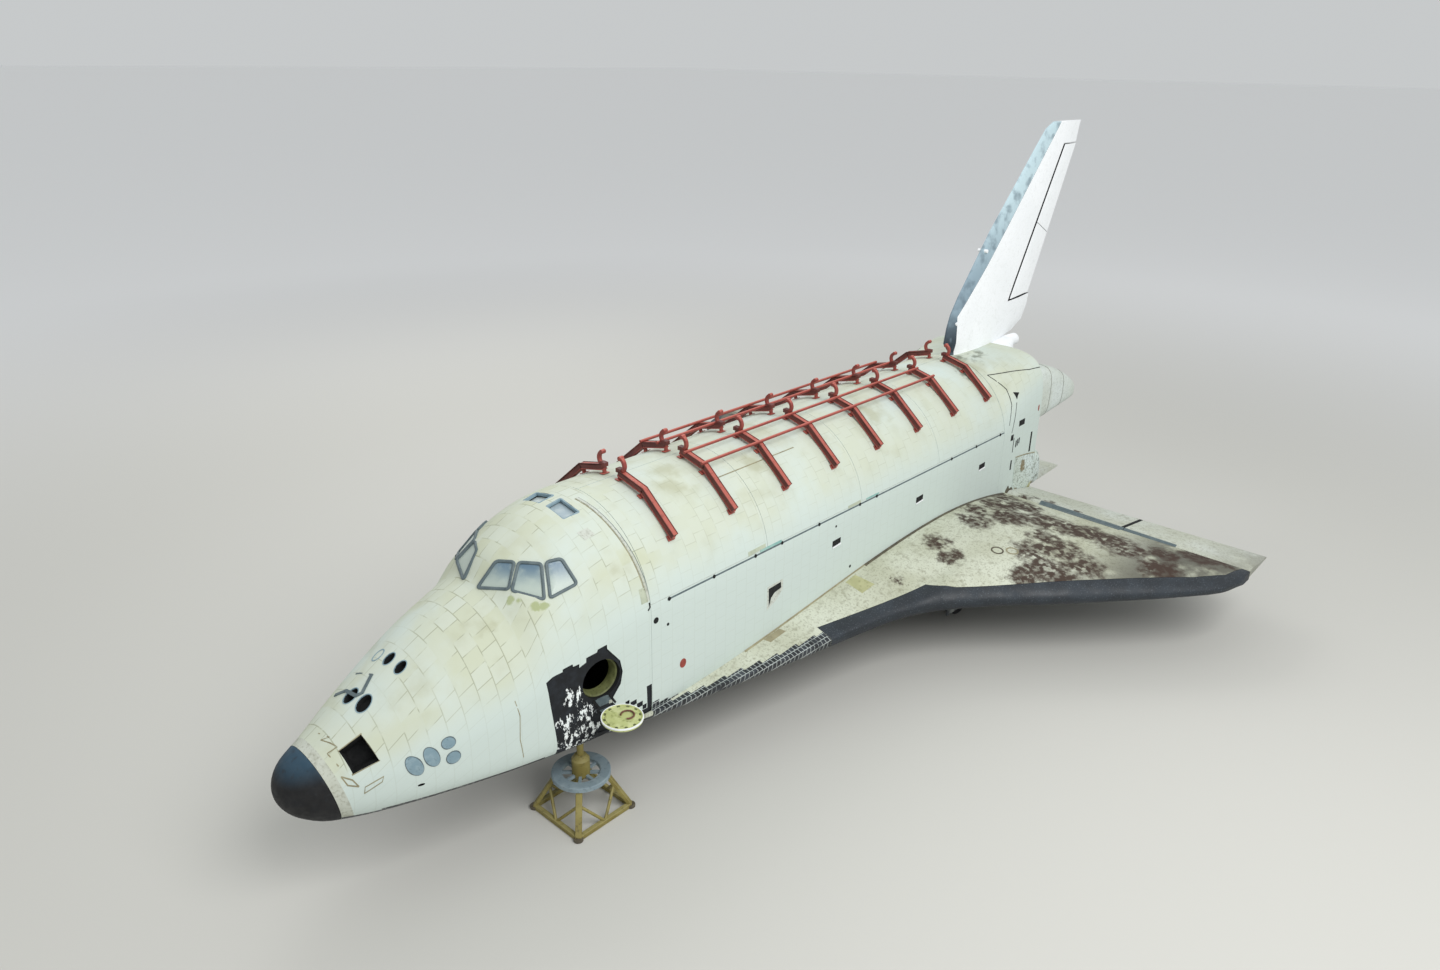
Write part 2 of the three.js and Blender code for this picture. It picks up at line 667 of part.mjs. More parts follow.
// Wing with its wheel well, and the dark leading edge in front of it
function buildWing(side) {
  const rings = WING_STATIONS.map((row) => wingRing(row[0], side));
  const whole = loft(rings).subtract(hull(6000, AFT_END, -TOUCH_GAP));
  const [edgeFront, edgeInner] = EDGE_LINE[0];
  const edgeRear = EDGE_LINE[EDGE_LINE.length - 1][0];
  const beyond = TIP_Y + 1000;
  const front = planPrism([...EDGE_LINE, [edgeRear, beyond], [edgeFront, beyond]], side, -1500, 3000);
  const clear = planPrism([
    ...EDGE_LINE.map(([station, y]) => [station + SEAM_GAP, y - SEAM_GAP]),
    [edgeRear + SEAM_GAP, beyond],
    [edgeFront - SEAM_GAP, beyond],
    [edgeFront - SEAM_GAP, edgeInner - SEAM_GAP],
  ], side, -1500, 3000);
  const { front: wellFront, rear: wellRear, inner, outer, depth } = MAIN_WELL_BOX;
  const well = block([wellFront, side * inner, -100], [wellRear, side * outer, depth]);
  piece(`${sideName(side)}_wing`, whole.subtract(clear).subtract(well), PAINT.white);
  piece(`${sideName(side)}_leading_edge`, whole.intersect(front), PAINT.edge);
}

// One elevon: round at its hinge and thin at its rear
function elevon(side, innerY, outerY) {
  const rings = [innerY, outerY].map((y) => {
    const radius = between(WING_STATIONS, y, 6);
    const ring = [];
    for (let step = 0; step <= 8; step += 1) {
      const angle = Math.PI / 2 + (Math.PI * step) / 8;
      const station = HINGE_STATION + radius * Math.cos(angle);
      ring.push(at(station, side * y, HINGE_HEIGHT + radius * Math.sin(angle)));
    }
    ring.push(at(TRAILING_STATION, side * y, TRAILING_HEIGHT - TRAILING_THICKNESS / 2));
    ring.push(at(TRAILING_STATION, side * y, TRAILING_HEIGHT + TRAILING_THICKNESS / 2));
    return ring;
  });
  return loft(rings);
}

// Inner and outer elevons
function buildElevons(side) {
  const inner = elevon(side, ELEVON_ROOT, ELEVON_SPLIT - MOVING_GAP / 2);
  const outer = elevon(side, ELEVON_SPLIT + MOVING_GAP / 2, TIP_Y - 2 * MOVING_GAP);
  piece(`${sideName(side)}_inner_elevon`, inner, PAINT.white);
  piece(`${sideName(side)}_outer_elevon`, outer, PAINT.white);
}

// Outline of the fin at one height, a thin lens
function finRing(height, from, to, halfWidth) {
  const ring = [];
  for (const [share, width] of FIN_PROFILE) {
    ring.push(at(from + share * (to - from), width * halfWidth, height));
  }
  for (const [share, width] of [...FIN_PROFILE].reverse()) {
    ring.push(at(from + share * (to - from), -width * halfWidth, height));
  }
  return ring;
}

// A flat shape in height and station, reaching as far to port as to starboard
function sidePrism(outline, halfWidth) {
  const corners = outline.map(([height, station]) => new THREE.Vector2(NOSE_X - station, BELLY + height));
  const shape = new THREE.Shape(corners);
  const geometry = new THREE.ExtrudeGeometry(shape, { depth: 2 * halfWidth, bevelEnabled: false });
  return solid(geometry.rotateX(Math.PI / 2).translate(0, halfWidth, 0));
}

// Fin, its dark leading edge and the two rudder halves one over the other
function buildFin() {
  const rows = FIN_STATIONS;
  const whole = loft(rows.map(([height, from, to, width]) => finRing(height, from, to, width)));
  const aftTop = hull(27000, AFT_END + 2600, -TOUCH_GAP);
  const edgeFront = [[14600, 26000], [5400, 26000]];
  const front = sidePrism([...FIN_EDGE_LINE, ...edgeFront], 900);
  const clear = sidePrism([...FIN_EDGE_LINE.map(([h, s]) => [h, s + SEAM_GAP]), ...edgeFront], 900);
  const hinge = (height) => between(RUDDER_HINGE, height, 1);
  const behind = [
    [RUDDER_BOTTOM - RUDDER_GAP, hinge(RUDDER_BOTTOM) - 320],
    [RUDDER_TOP + RUDDER_GAP, hinge(RUDDER_TOP) - 170],
    [RUDDER_TOP + RUDDER_GAP, 37500],
    [RUDDER_BOTTOM - RUDDER_GAP, 37500],
  ];
  const rearRoom = sidePrism(behind, 900);
  piece("tail_fin", whole.subtract(clear).subtract(rearRoom).subtract(aftTop), PAINT.white);
  piece("fin_leading_edge", whole.intersect(front).subtract(aftTop), PAINT.edge);
  const rudder = (low, lowSlope, high, highSlope) => {
    const rings = [[low, lowSlope], [high, highSlope]].map(([height, slope]) => {
      const radius = 30 + 0.7 * between(rows, height, 3);
      const ring = [];
      for (let step = 0; step <= 8; step += 1) {
        const angle = Math.PI / 2 + (Math.PI * step) / 8;
        ring.push(at(hinge(height) + radius * Math.cos(angle), radius * Math.sin(angle), height));
      }
      const rearHeight = height - slope * (between(RUDDER_REAR, height, 1) - hinge(height));
      const rear = between(RUDDER_REAR, rearHeight, 1);
      ring.push(at(rear, -30, rearHeight), at(rear, 30, rearHeight));
      return ring;
    });
    return loft(rings);
  };
  const slope = RUDDER_SPLIT_SLOPE;
  const gap = MOVING_GAP / 2;
  piece("lower_rudder", rudder(RUDDER_BOTTOM, 0, RUDDER_SPLIT - gap, slope), PAINT.white);
  piece("upper_rudder", rudder(RUDDER_SPLIT + gap, slope, RUDDER_TOP, 0), PAINT.white);
}

// A body with rounded corners along X, from rows of station, inner y, outer y, low and high
function roundedRow(rows, side, power) {
  return loft(rows.map(([station, inner, outer, low, high]) => {
    const ring = [];
    for (let step = 0; step < 24; step += 1) {
      const angle = (2 * Math.PI * step) / 24;
      const [across, up] = [Math.cos(angle), Math.sin(angle)];
      const reach = Math.sign(across) * Math.abs(across) ** (2 / power);
      const rise = Math.sign(up) * Math.abs(up) ** (2 / power);
      const y = (inner + outer) / 2 + ((outer - inner) / 2) * reach;
      ring.push(at(station, side * y, (low + high) / 2 + ((high - low) / 2) * rise));
    }
    return ring;
  }));
}

// Aft body, rear pods, engines, parachute housing and body flap
function buildRear() {
  const skirt = roundedRow([
    [AFT_END - 200, -2650, 2650, 30, 2000],
    [AFT_END + 750, -2680, 2680, 35, 1850],
    [FLAP_HINGE - FLAP_RADIUS - MOVING_GAP, -2550, 2550, 60, 1150],
  ], PORT, 6);
  const body = hull(BAY_REAR, AFT_END).add(skirt).add(roundedRow(SPINE_ROWS, PORT, 4));
  piece("aft_fuselage", body, PAINT.white);

  for (const side of [PORT, STARBOARD]) {
    piece(`${sideName(side)}_engine_pod`, roundedRow(POD_ROWS, side, 3.5), PAINT.white);
  }

  const plate = block([AFT_END + TOUCH_GAP, -1150, 3250], [AFT_END + 260, 1150, 4150]);
  const bells = [PORT, STARBOARD].map((side) => {
    const from = at(AFT_END + 200, side * NOZZLE_Y, NOZZLE_HEIGHT);
    const to = at(AFT_END + 1150, side * NOZZLE_Y, NOZZLE_HEIGHT);
    return rod(from, to, 150, 24, 400);
  });
  const throats = [PORT, STARBOARD].map((side) => {
    const from = at(AFT_END + 500, side * NOZZLE_Y, NOZZLE_HEIGHT);
    const to = at(AFT_END + 1160, side * NOZZLE_Y, NOZZLE_HEIGHT);
    return rod(from, to, 160, 24, 375);
  });
  piece("engine_block", join([plate, ...bells]).subtract(join(throats)), PAINT.metal);

  const chuteFront = at(SPINE_END + SEAM_GAP, 0, CHUTE.height);
  const chuteRear = at(CHUTE.rear, 0, CHUTE.height);
  const chute = rod(chuteFront, chuteRear, CHUTE.frontRadius, 20, CHUTE.rearRadius);
  piece("parachute_housing", chute, PAINT.white);

  const flapRings = [-FLAP_HALF_WIDTH, FLAP_HALF_WIDTH].map((y) => {
    const ring = [];
    for (let step = 0; step <= 8; step += 1) {
      const angle = Math.PI / 2 + (Math.PI * step) / 8;
      const station = FLAP_HINGE + FLAP_RADIUS * Math.cos(angle);
      ring.push(at(station, y, FLAP_HEIGHT + FLAP_RADIUS * Math.sin(angle)));
    }
    ring.push(at(FLAP_REAR, y, FLAP_HEIGHT - 110), at(FLAP_REAR, y, FLAP_HEIGHT - 50));
    return ring;
  });
  piece("body_flap", loft(flapRings), PAINT.tile);
}

// Outline of a tyre: its rim seat, shoulders and tread
function tyreOutline(wheel) {
  const half = wheel.width / 2;
  const shoulder = wheel.width * 0.22;
  return [
    [wheel.rim, -half * 0.8],
    [wheel.radius - shoulder * 1.6, -half],
    [wheel.radius - shoulder * 0.4, -half * 0.85],
    [wheel.radius, -half * 0.5],
    [wheel.radius, half * 0.5],
    [wheel.radius - shoulder * 0.4, half * 0.85],
    [wheel.radius - shoulder * 1.6, half],
    [wheel.rim, half * 0.8],
    [wheel.rim, -half * 0.8],
  ].map(([radius, along]) => new THREE.Vector2(radius, along));
}

// Twin wheels on one axle: both hubs joined by a sleeve, and two tyres
function buildWheels(name, station, y, wheel) {
  const group = new THREE.Group();
  group.position.copy(at(station, y, wheel.radius - BELLY));
  shuttle.add(group);
  const disc = wheel.width * 0.38;
  const half = [
    [0, wheel.spread + disc + 30],
    [wheel.axle, wheel.spread + disc + 30],
    [wheel.axle, wheel.spread + disc * 0.4],
    [wheel.rim * 0.8, wheel.spread + disc * 0.4],
    [wheel.rim - 1, wheel.spread + disc],
    [wheel.rim - 1, wheel.spread - disc],
    [wheel.axle, wheel.spread - disc],
  ];
  const outline = [...half, ...[...half].reverse().map(([radius, along]) => [radius, -along])];
  const turned = outline.map((row) => new THREE.Vector2(...row)).reverse();
  piece(`${name}_hubs`, solid(new THREE.LatheGeometry(turned, WHEEL_SEGMENTS)), PAINT.metal, group);
  for (const side of [PORT, STARBOARD]) {
    const tyre = new THREE.LatheGeometry(tyreOutline(wheel), WHEEL_SEGMENTS);
    tyre.translate(0, side * wheel.spread, 0);
    piece(`${name}_${sideName(side)}_tyre`, solid(tyre), PAINT.rubber, group);
  }
}

// Nose gear: a fixed leg with its brace, and the steered piston with the axle
function buildNoseGear() {
  const wheel = NOSE_WHEEL;
  const axle = wheel.radius - BELLY;
  const top = NOSE_WELL_BOX.depth - TOUCH_GAP;
  const station = NOSE_GEAR_STATION;
  const sleeve = rod(at(station, 0, -650), at(station, 0, top), 130, 20);
  const head = rod(at(station, -560, 430), at(station, 560, 430), 75, 16);
  const brace = rod(at(station + 1300, 0, 470), at(station + 60, 0, -420), 60);
  const braceHead = rod(at(station + 1300, -420, 470), at(station + 1300, 420, 470), 60);
  piece("nose_leg", join([sleeve, head, brace, braceHead]), PAINT.metal);
  const piston = rod(at(station, 0, axle), at(station, 0, -650 - MOVING_GAP), 85, 16);
  const boss = rod(at(station, -100, axle), at(station, 100, axle), wheel.axle + 60, 16);
  const bore = rod(at(station, -200, axle), at(station, 200, axle), wheel.axle + AXLE_GAP, WHEEL_SEGMENTS);
  const collar = rod(at(station, 0, -830), at(station, 0, -650 - MOVING_GAP), 120, 20);
  const linkTop = rod(at(station, 0, -760), at(station + 330, 0, -960), 40);
  const linkLow = rod(at(station + 330, 0, -960), at(station, 0, axle + 330), 40);
  piece("nose_fork", join([piston, boss, collar, linkTop, linkLow]).subtract(bore), PAINT.metal);
  buildWheels("nose", station, 0, wheel);
  for (const side of [PORT, STARBOARD]) {
    const y = side * (NOSE_WELL_BOX.halfWidth + 40);
    const low = [NOSE_WELL_BOX.front + 60, y, -780];
    const high = [NOSE_WELL_BOX.rear - 60, y + side * GEAR_DOOR_THICKNESS, -TOUCH_GAP];
    piece(`${sideName(side)}_nose_gear_door`, block(low, high), PAINT.tile);
  }
}

// Main gear: a leg with its axle and brace, twin wheels and the door beside them
function buildMainGear(side) {
  const wheel = MAIN_WHEEL;
  const axle = wheel.radius - BELLY;
  const station = MAIN_GEAR_STATION;
  const y = side * MAIN_GEAR_Y;
  const top = MAIN_WELL_BOX.depth - TOUCH_GAP;
  const sleeve = rod(at(station, y, -500), at(station, y, top), 165, 20);
  const piston = rod(at(station, y, axle), at(station, y, -480), 115, 16);
  const boss = rod(at(station, y - 140, axle), at(station, y + 140, axle), wheel.axle + 80, 16);
  const boreRadius = wheel.axle + AXLE_GAP;
  const bore = rod(at(station, y - 300, axle), at(station, y + 300, axle), boreRadius, WHEEL_SEGMENTS);
  const brace = rod(at(station - 1350, y, 600), at(station - 60, y, -350), 75);
  const braceHead = rod(at(station - 1350, y - 420, 600), at(station - 1350, y + 420, 600), 70);
  const braceTop = rod(at(station - 1350, y, 600), at(station - 1350, y, top), 60);
  const linkTop = rod(at(station, y, -420), at(station + 420, y, -760), 50);
  const linkLow = rod(at(station + 420, y, -760), at(station, y, axle + 330), 50);
  const leg = join([sleeve, piston, boss, brace, braceHead, braceTop, linkTop, linkLow]).subtract(bore);
  piece(`${sideName(side)}_main_leg`, leg, PAINT.metal);
  buildWheels(`${sideName(side)}_main`, station, y, wheel);
  const doorY = side * (MAIN_WELL_BOX.outer + 30);
  const low = [MAIN_WELL_BOX.front + 60, doorY, -1350];
  const high = [MAIN_WELL_BOX.rear - 60, doorY + side * GEAR_DOOR_THICKNESS, -30];
  piece(`${sideName(side)}_main_gear_door`, block(low, high), PAINT.tile);
}

// Jack stand: four splayed legs on a square base, a round deck and a jack up to the belly
function buildStand() {
  const floor = -BELLY;
  const corner = (index, reach, height) => {
    const angle = Math.PI / 4 + (index * Math.PI) / 2;
    const spread = reach * Math.SQRT2;
    return at(STAND_STATION + spread * Math.cos(angle), STAND_Y + spread * Math.sin(angle), height);
  };
  const parts = [];
  for (let index = 0; index < 4; index += 1) {
    const foot = corner(index, STAND_HALF_BASE, floor + STAND_TUBE);
    const next = corner(index + 1, STAND_HALF_BASE, floor + STAND_TUBE);
    parts.push(rod(foot, next, STAND_TUBE));
    parts.push(rod(foot, corner(index, STAND_LEG_TOP, floor + STAND_DECK.height + 20), STAND_TUBE));
    const pad = corner(index, STAND_HALF_BASE, floor);
    parts.push(rod(pad, corner(index, STAND_HALF_BASE, floor + 90), 130));
    const middle = foot.clone().add(next).multiplyScalar(0.5);
    parts.push(rod(middle, corner(index, 600, floor + 750), STAND_TUBE * 0.6));
    parts.push(rod(middle, corner(index + 1, 600, floor + 750), STAND_TUBE * 0.6));
  }
  const deck = floor + STAND_DECK.height;
  const axis = (height) => at(STAND_STATION, STAND_Y, height);
  parts.push(rod(axis(deck), axis(deck + STAND_DECK.thickness), STAND_DECK.radius, 24));
  parts.push(rod(axis(deck + 20), axis(STAND_COLUMN.top), STAND_COLUMN.radius, 16));
  parts.push(rod(axis(STAND_COLUMN.top - 50), axis(-TOUCH_GAP), STAND_COLUMN.jack, 12));
  piece("nose_stand", join(parts), PAINT.stand);
}

buildForward();
buildFlightDeck();
buildHatch();
buildMid();
buildRear();
buildFin();
buildNoseGear();
buildStand();
for (const side of [PORT, STARBOARD]) {
  buildDoor(side);
  buildBeams(side);
  buildWing(side);
  buildElevons(side);
  buildMainGear(side);
}

export default shuttle;
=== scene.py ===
"""A winged space shuttle parked on its landing gear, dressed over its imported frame.

Metres. +X is forward, +Y is port, +Z is up, and the floor is at zero. A station is a distance
aft of the nose tip, and a height is measured up from the flat belly.
"""

from __future__ import annotations

import logging
import math
from contextlib import contextmanager
from dataclasses import dataclass
from enum import Enum
from functools import lru_cache
from typing import Any, Callable, Iterator, NamedTuple, Sequence

import bmesh
import bpy
import numpy as np
from mathutils import Matrix, Vector

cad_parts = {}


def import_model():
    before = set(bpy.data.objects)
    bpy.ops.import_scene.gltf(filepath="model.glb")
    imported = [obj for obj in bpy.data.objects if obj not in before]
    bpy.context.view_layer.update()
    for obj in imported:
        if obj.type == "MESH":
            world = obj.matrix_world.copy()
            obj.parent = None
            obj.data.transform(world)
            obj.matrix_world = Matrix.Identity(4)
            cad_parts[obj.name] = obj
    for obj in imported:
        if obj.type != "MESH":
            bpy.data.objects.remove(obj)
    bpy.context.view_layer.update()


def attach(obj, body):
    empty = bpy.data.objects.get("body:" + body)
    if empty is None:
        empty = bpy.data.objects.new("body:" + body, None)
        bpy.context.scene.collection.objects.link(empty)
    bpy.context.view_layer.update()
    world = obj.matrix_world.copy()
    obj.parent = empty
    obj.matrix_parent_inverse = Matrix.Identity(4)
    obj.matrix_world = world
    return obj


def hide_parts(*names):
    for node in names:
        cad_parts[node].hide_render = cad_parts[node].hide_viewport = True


log = logging.getLogger("shuttle")

Mesh = bpy.types.Object
Finish = bpy.types.Material
Grid = np.ndarray
Socket = bpy.types.NodeSocket
Profile = list[tuple[float, float]]
Outline = Sequence[tuple[float, float]]
Spots = tuple[tuple[float, float, float, float], ...]

NOSE_X = 18.185
BELLY = 2.1
UP = Vector((0, 0, 1))
BELLY_TURN = -0.55
NOSE_WELL = (9.25, 11.9, 0.62, 0.6)
MAIN_WELL = (21.3, 24.6, 2.96, 4.42, 0.82)
UNDERSIDE_TURN = -0.3
WALL_Y = 3.2
MARK = (-0.02, 0.006)
LOW_MARK = (-0.01, 0.004)


class Side(Enum):
    """The two sides of the craft, each with the sign of its y."""

    PORT = 1
    STARBOARD = -1

    @property
    def label(self) -> str:
        """The side's name as the nodes spell it."""
        return self.name.lower()


def at(station: float, y: float, height: float) -> Vector:
    """A point from its station, its y and its height above the belly."""
    return Vector((NOSE_X - station, y, BELLY + height))


def between(rows: Sequence[Sequence[float]], key: float, column: int) -> float:
    """A value read in a straight line between the rows of a table."""
    return float(np.interp(key, [row[0] for row in rows], [row[column] for row in rows]))


class Curve:
    """A smooth curve through the rows of a table that never swings past them."""

    def __init__(self, keys: Sequence[float], values: Sequence[Sequence[float]]) -> None:
        """Works out the slope at each row.

        Args:
            keys: Rising keys.
            values: One row of values for each key.
        """
        self.keys = np.array(keys, float)
        self.values = np.array(values, float)
        step = np.diff(self.keys)[:, None]
        rise = np.diff(self.values, axis=0) / step
        slope = np.zeros_like(self.values)
        slope[0], slope[-1] = rise[0], rise[-1]
        before, after = rise[:-1], rise[1:]
        near, far = 2 * step[1:] + step[:-1], step[1:] + 2 * step[:-1]
        same = before * after > 0
        safe_before = np.where(same, before, 1.0)
        safe_after = np.where(same, after, 1.0)
        mean = (near + far) / (near / safe_before + far / safe_after)
        slope[1:-1] = np.where(same, mean, 0.0)
        self.slope = slope

    def __call__(self, key: float) -> np.ndarray:
        """The values at one key.

        Args:
            key: The key to read at, held inside the table.

        Returns:
            The row of values.
        """
        key = float(np.clip(key, self.keys[0], self.keys[-1]))
        low = min(int(np.searchsorted(self.keys, key, side="right")) - 1, len(self.keys) - 2)
        width = self.keys[low + 1] - self.keys[low]
        t = (key - self.keys[low]) / width
        return (
            (2 * t**3 - 3 * t**2 + 1) * self.values[low]
            + (t**3 - 2 * t**2 + t) * width * self.slope[low]
            + (3 * t**2 - 2 * t**3) * self.values[low + 1]
            + (t**3 - t**2) * width * self.slope[low + 1]
        )


class HullRow(NamedTuple):
    """One section of the hull: its widest line, its top and bottom, and how square each half is."""

    station: float
    half_width: float
    bottom: float
    widest: float
    top: float
    crown: float
    keel: float


HULL_ROWS = (
    HullRow(0.0, 0.0, 1.13, 1.13, 1.13, 2, 2),
    HullRow(0.1, 0.4, 0.76, 1.13, 1.52, 2, 2),
    HullRow(0.35, 0.68, 0.45, 1.13, 1.82, 2, 2),
    HullRow(0.97, 1.0, 0.1, 1.13, 2.14, 2, 2.3),
    HullRow(2.0, 1.46, 0.0, 1.2, 2.76, 2, 2.8),
    HullRow(3.0, 1.82, 0.0, 1.35, 3.34, 2, 3.5),
    HullRow(4.0, 2.09, 0.0, 1.55, 3.86, 2, 4.5),
    HullRow(5.0, 2.3, 0.0, 1.8, 4.24, 2, 6),
    HullRow(5.42, 2.37, 0.0, 1.93, 4.4, 2, 6.8),
    HullRow(5.97, 2.46, 0.0, 2.1, 5.02, 2, 8),
    HullRow(6.6, 2.56, 0.0, 2.32, 5.4, 2, 9.5),
    HullRow(7.3, 2.65, 0.0, 2.6, 5.7, 2, 11),
    HullRow(8.1, 2.75, 0.0, 2.9, 5.86, 2, 13),
    HullRow(8.9, 2.8, 0.0, 3.1, 5.9, 2, 16),
    HullRow(27.45, 2.8, 0.0, 3.1, 5.9, 2, 16),
    HullRow(28.6, 2.8, 0.0, 3.1, 5.915, 2.9, 16),
    HullRow(30.3, 2.8, 0.0, 3.1, 5.93, 4.5, 16),
)


class HullForm:
    """The smooth skin of the hull, and a flat chart of it for whatever lies on it.

    The chart's two numbers are the arc round the section from the crown, positive to port,
    and the station.
    """

    KEEL_FLATTENING = 1.002
    SAMPLES = 721
    CORNER_SHARE = 0.9

    def __init__(self, rows: Sequence[HullRow]) -> None:
        """Keeps the table as a curve."""
        self.curve = Curve([math.sqrt(row.station) for row in rows], [row[1:] for row in rows])

    @lru_cache(maxsize=4096)
    def half(self, station: float, inset: float = 0.0, sole: float = 0.0) -> Grid:
        """The port half of one section from the crown down to the keel.

        Args:
            station: Where the section is.
            inset: How far it is drawn in.
            sole: The lowest height that it may have.

        Returns:
            Rows of y, height and arc.
        """
        width, bottom, widest, top, crown, keel = self.curve(math.sqrt(max(station, 0.0)))
        low = max(bottom + inset, sole)
        share = np.linspace(0, 1, self.SAMPLES // 2)
        over, under = share ** (crown / 2), share ** (keel / 2)
        steps = (np.arccos(over), np.arcsin(over), -np.arccos(under), -np.arcsin(under))
        angle = np.unique(np.concatenate(steps))[::-1]
        across, up = np.cos(angle), np.sin(angle)
        power = 2 / np.where(up >= 0, crown, keel)
        reach = np.where(up >= 0, top - inset - widest, widest - low) * self.KEEL_FLATTENING
        y = (width - inset) * np.clip(across, 0, 1) ** power
        height = widest + reach * np.sign(up) * np.abs(up) ** power
        height = np.clip(height, low, top - inset)
        run = np.concatenate([[0.0], np.cumsum(np.hypot(np.diff(y), np.diff(height)))])
        arc = np.linspace(0, run[-1], self.SAMPLES)
        return np.stack([np.interp(arc, run, y), np.interp(arc, run, height), arc], axis=1)

    def ring(self, station: float, columns: int, inset: float = 0.0, sole: float = 0.0) -> Grid:
        """One whole section, closer where it bends, with its seam along the keel.

        Args:
            station: Where the section is.
            columns: How many steps each half has.
            inset: How far it is drawn in.
            sole: The lowest height that it may have.

        Returns:
            Rows of x, y, z and arc, twice the columns and one more.
        """
        half = self.half(round(station, 4), inset, sole)
        step = np.diff(half[:, :2], axis=0)
        turn = np.abs(np.diff(np.unwrap(np.arctan2(step[:, 1], step[:, 0]))))
        turn = np.concatenate([[0.0], turn])
        share = np.diff(half[:, 2]) / max(half[-1, 2], 1e-6)
        share = share + self.CORNER_SHARE * turn / max(turn.sum(), 1e-6)
        run = np.concatenate([[0.0], np.cumsum(share)])
        want = np.linspace(0, run[-1], columns + 1)
        y, height, arc = (np.interp(want, run, half[:, k]) for k in range(3))
        y[0] = 0.0
        y[-1] = 0.0
        port = np.stack([np.full_like(y, NOSE_X - station), y, BELLY + height, arc], axis=1)
        starboard = port[:0:-1] * np.array([1, -1, 1, -1])
        return np.concatenate([starboard, port])

    def skin(
        self, stations: Sequence[float], columns: int, inset: float = 0.0, sole: float = 0.0
    ) -> tuple[Grid, Grid]:
        """Rings and their chart for a stretch of the hull.

        Args:
            stations: Where the rings are.
            columns: How many steps each half has.
            inset: How far it is drawn in.
            sole: The lowest height that it may have.

        Returns:
            The points by ring and column, and the chart's two numbers for each.
        """
        rings = np.array([self.ring(station, columns, inset, sole) for station in stations])
        along = np.repeat(np.array(stations)[:, None], rings.shape[1], axis=1)
        return rings[:, :, :3], np.stack([rings[:, :, 3], along], axis=2)

    def arc_of(self, station: float, y: float, height: float) -> float:
        """The arc of the skin point nearest to a measured one.

        Args:
            station: The point's station.
            y: Its y, positive to port.
            height: Its height.

        Returns:
            The arc, with the sign of y.
        """
        half = self.half(round(station, 3))
        nearest = int(np.argmin(np.hypot(half[:, 0] - abs(y), half[:, 1] - height)))
        return math.copysign(float(half[nearest, 2]), y)

    def arc_at(self, station: float, height: float) -> float:
        """The arc at which the port side of a section has a height."""
        half = self.half(round(station, 3))[::-1]
        return float(np.interp(height, half[:, 1], half[:, 2]))

    def point(self, arc: float, station: float) -> np.ndarray:
        """The skin's point at a place of the chart.

        Args:
            arc: The arc from the crown, positive to port.
            station: The station.

        Returns:
            The point's x, y and z.
        """
        half = self.half(round(station, 3))
        y = float(np.interp(abs(arc), half[:, 2], half[:, 0]))
        height = float(np.interp(abs(arc), half[:, 2], half[:, 1]))
        return np.array([NOSE_X - station, math.copysign(y, arc), BELLY + height])

    def place(self, arc: float, station: float, out: float = 0.0) -> np.ndarray:
        """A point over or under the skin."""
        here = self.point(arc, station)
        return here + out * self.outward(arc, station)

    def outward(self, arc: float, station: float) -> np.ndarray:
        """The way straight out of the skin at a place of the chart.

        Args:
            arc: The arc from the crown, positive to port.
            station: The station.

        Returns:
            The unit vector.
        """
        step = 0.03
        across = self.point(arc + step, station) - self.point(arc - step, station)
        aft = self.point(arc, station + step) - self.point(arc, station - step)
        way = np.cross(across, aft)
        return way / np.linalg.norm(way)


HULL = HullForm(HULL_ROWS)


# Modelling by hand: small steps that every sub-assembly uses


def rest() -> None:
    """Goes back to object mode with nothing selected."""
    if bpy.context.object and bpy.context.object.mode != "OBJECT":
        bpy.ops.object.mode_set(mode="OBJECT")
    bpy.ops.object.select_all(action="DESELECT")


def pick(*objects: Mesh) -> None:
    """Selects these objects alone, the first of them active.

    Args:
        objects: The objects.
    """
    rest()
    for item in objects:
        item.select_set(True)
    bpy.context.view_layer.objects.active = objects[0]


@contextmanager
def editing(item: Mesh) -> Iterator[bmesh.types.BMesh]:
    """Edit mode on one object, with nothing in it selected at the start.

    Args:
        item: The object to edit.

    Yields:
        The mesh under edit, for selecting by place or normal.
    """
    pick(item)
    bpy.ops.object.mode_set(mode="EDIT")
    bpy.ops.mesh.select_all(action="DESELECT")
    form = bmesh.from_edit_mesh(item.data)
    yield form
    bmesh.update_edit_mesh(item.data)
    bpy.ops.object.mode_set(mode="OBJECT")


def select_all() -> None:
    """Selects the whole mesh under edit."""
    bpy.ops.mesh.select_all(action="SELECT")


def face_out() -> None:
    """Turns every face of the mesh under edit outwards."""
    select_all()
    bpy.ops.mesh.normals_make_consistent(inside=False)


def sweep_all(way: Sequence[float]) -> None:
    """Sweeps the sheet under edit straight into a closed body.

    Args:
        way: How far and which way it is swept.
    """
    select_all()
    bpy.ops.mesh.extrude_region_move(TRANSFORM_OT_translate={"value": way})
    face_out()


def start(kind: str, name: str, finish: Finish, **size: Any) -> Mesh:
    """Adds a primitive with nothing else selected.

    Args:
        kind: The primitive's name, such as cube or cylinder.
        name: The new object's name.
        finish: Its material.
        size: The operator's own sizes and place.

    Returns:
        The new object.
    """
    rest()
    getattr(bpy.ops.mesh, f"primitive_{kind}_add")(**size)
    item = bpy.context.object
    item.name = name
    item.data.name = name
    item.data.materials.append(finish)
    return item


def settle(item: Mesh) -> Mesh:
    """Moves an object's place, turn and scale into its mesh.

    Args:
        item: The object.

    Returns:
        The same object.
    """
    pick(item)
    bpy.ops.object.transform_apply(location=True, rotation=True, scale=True)
    return item


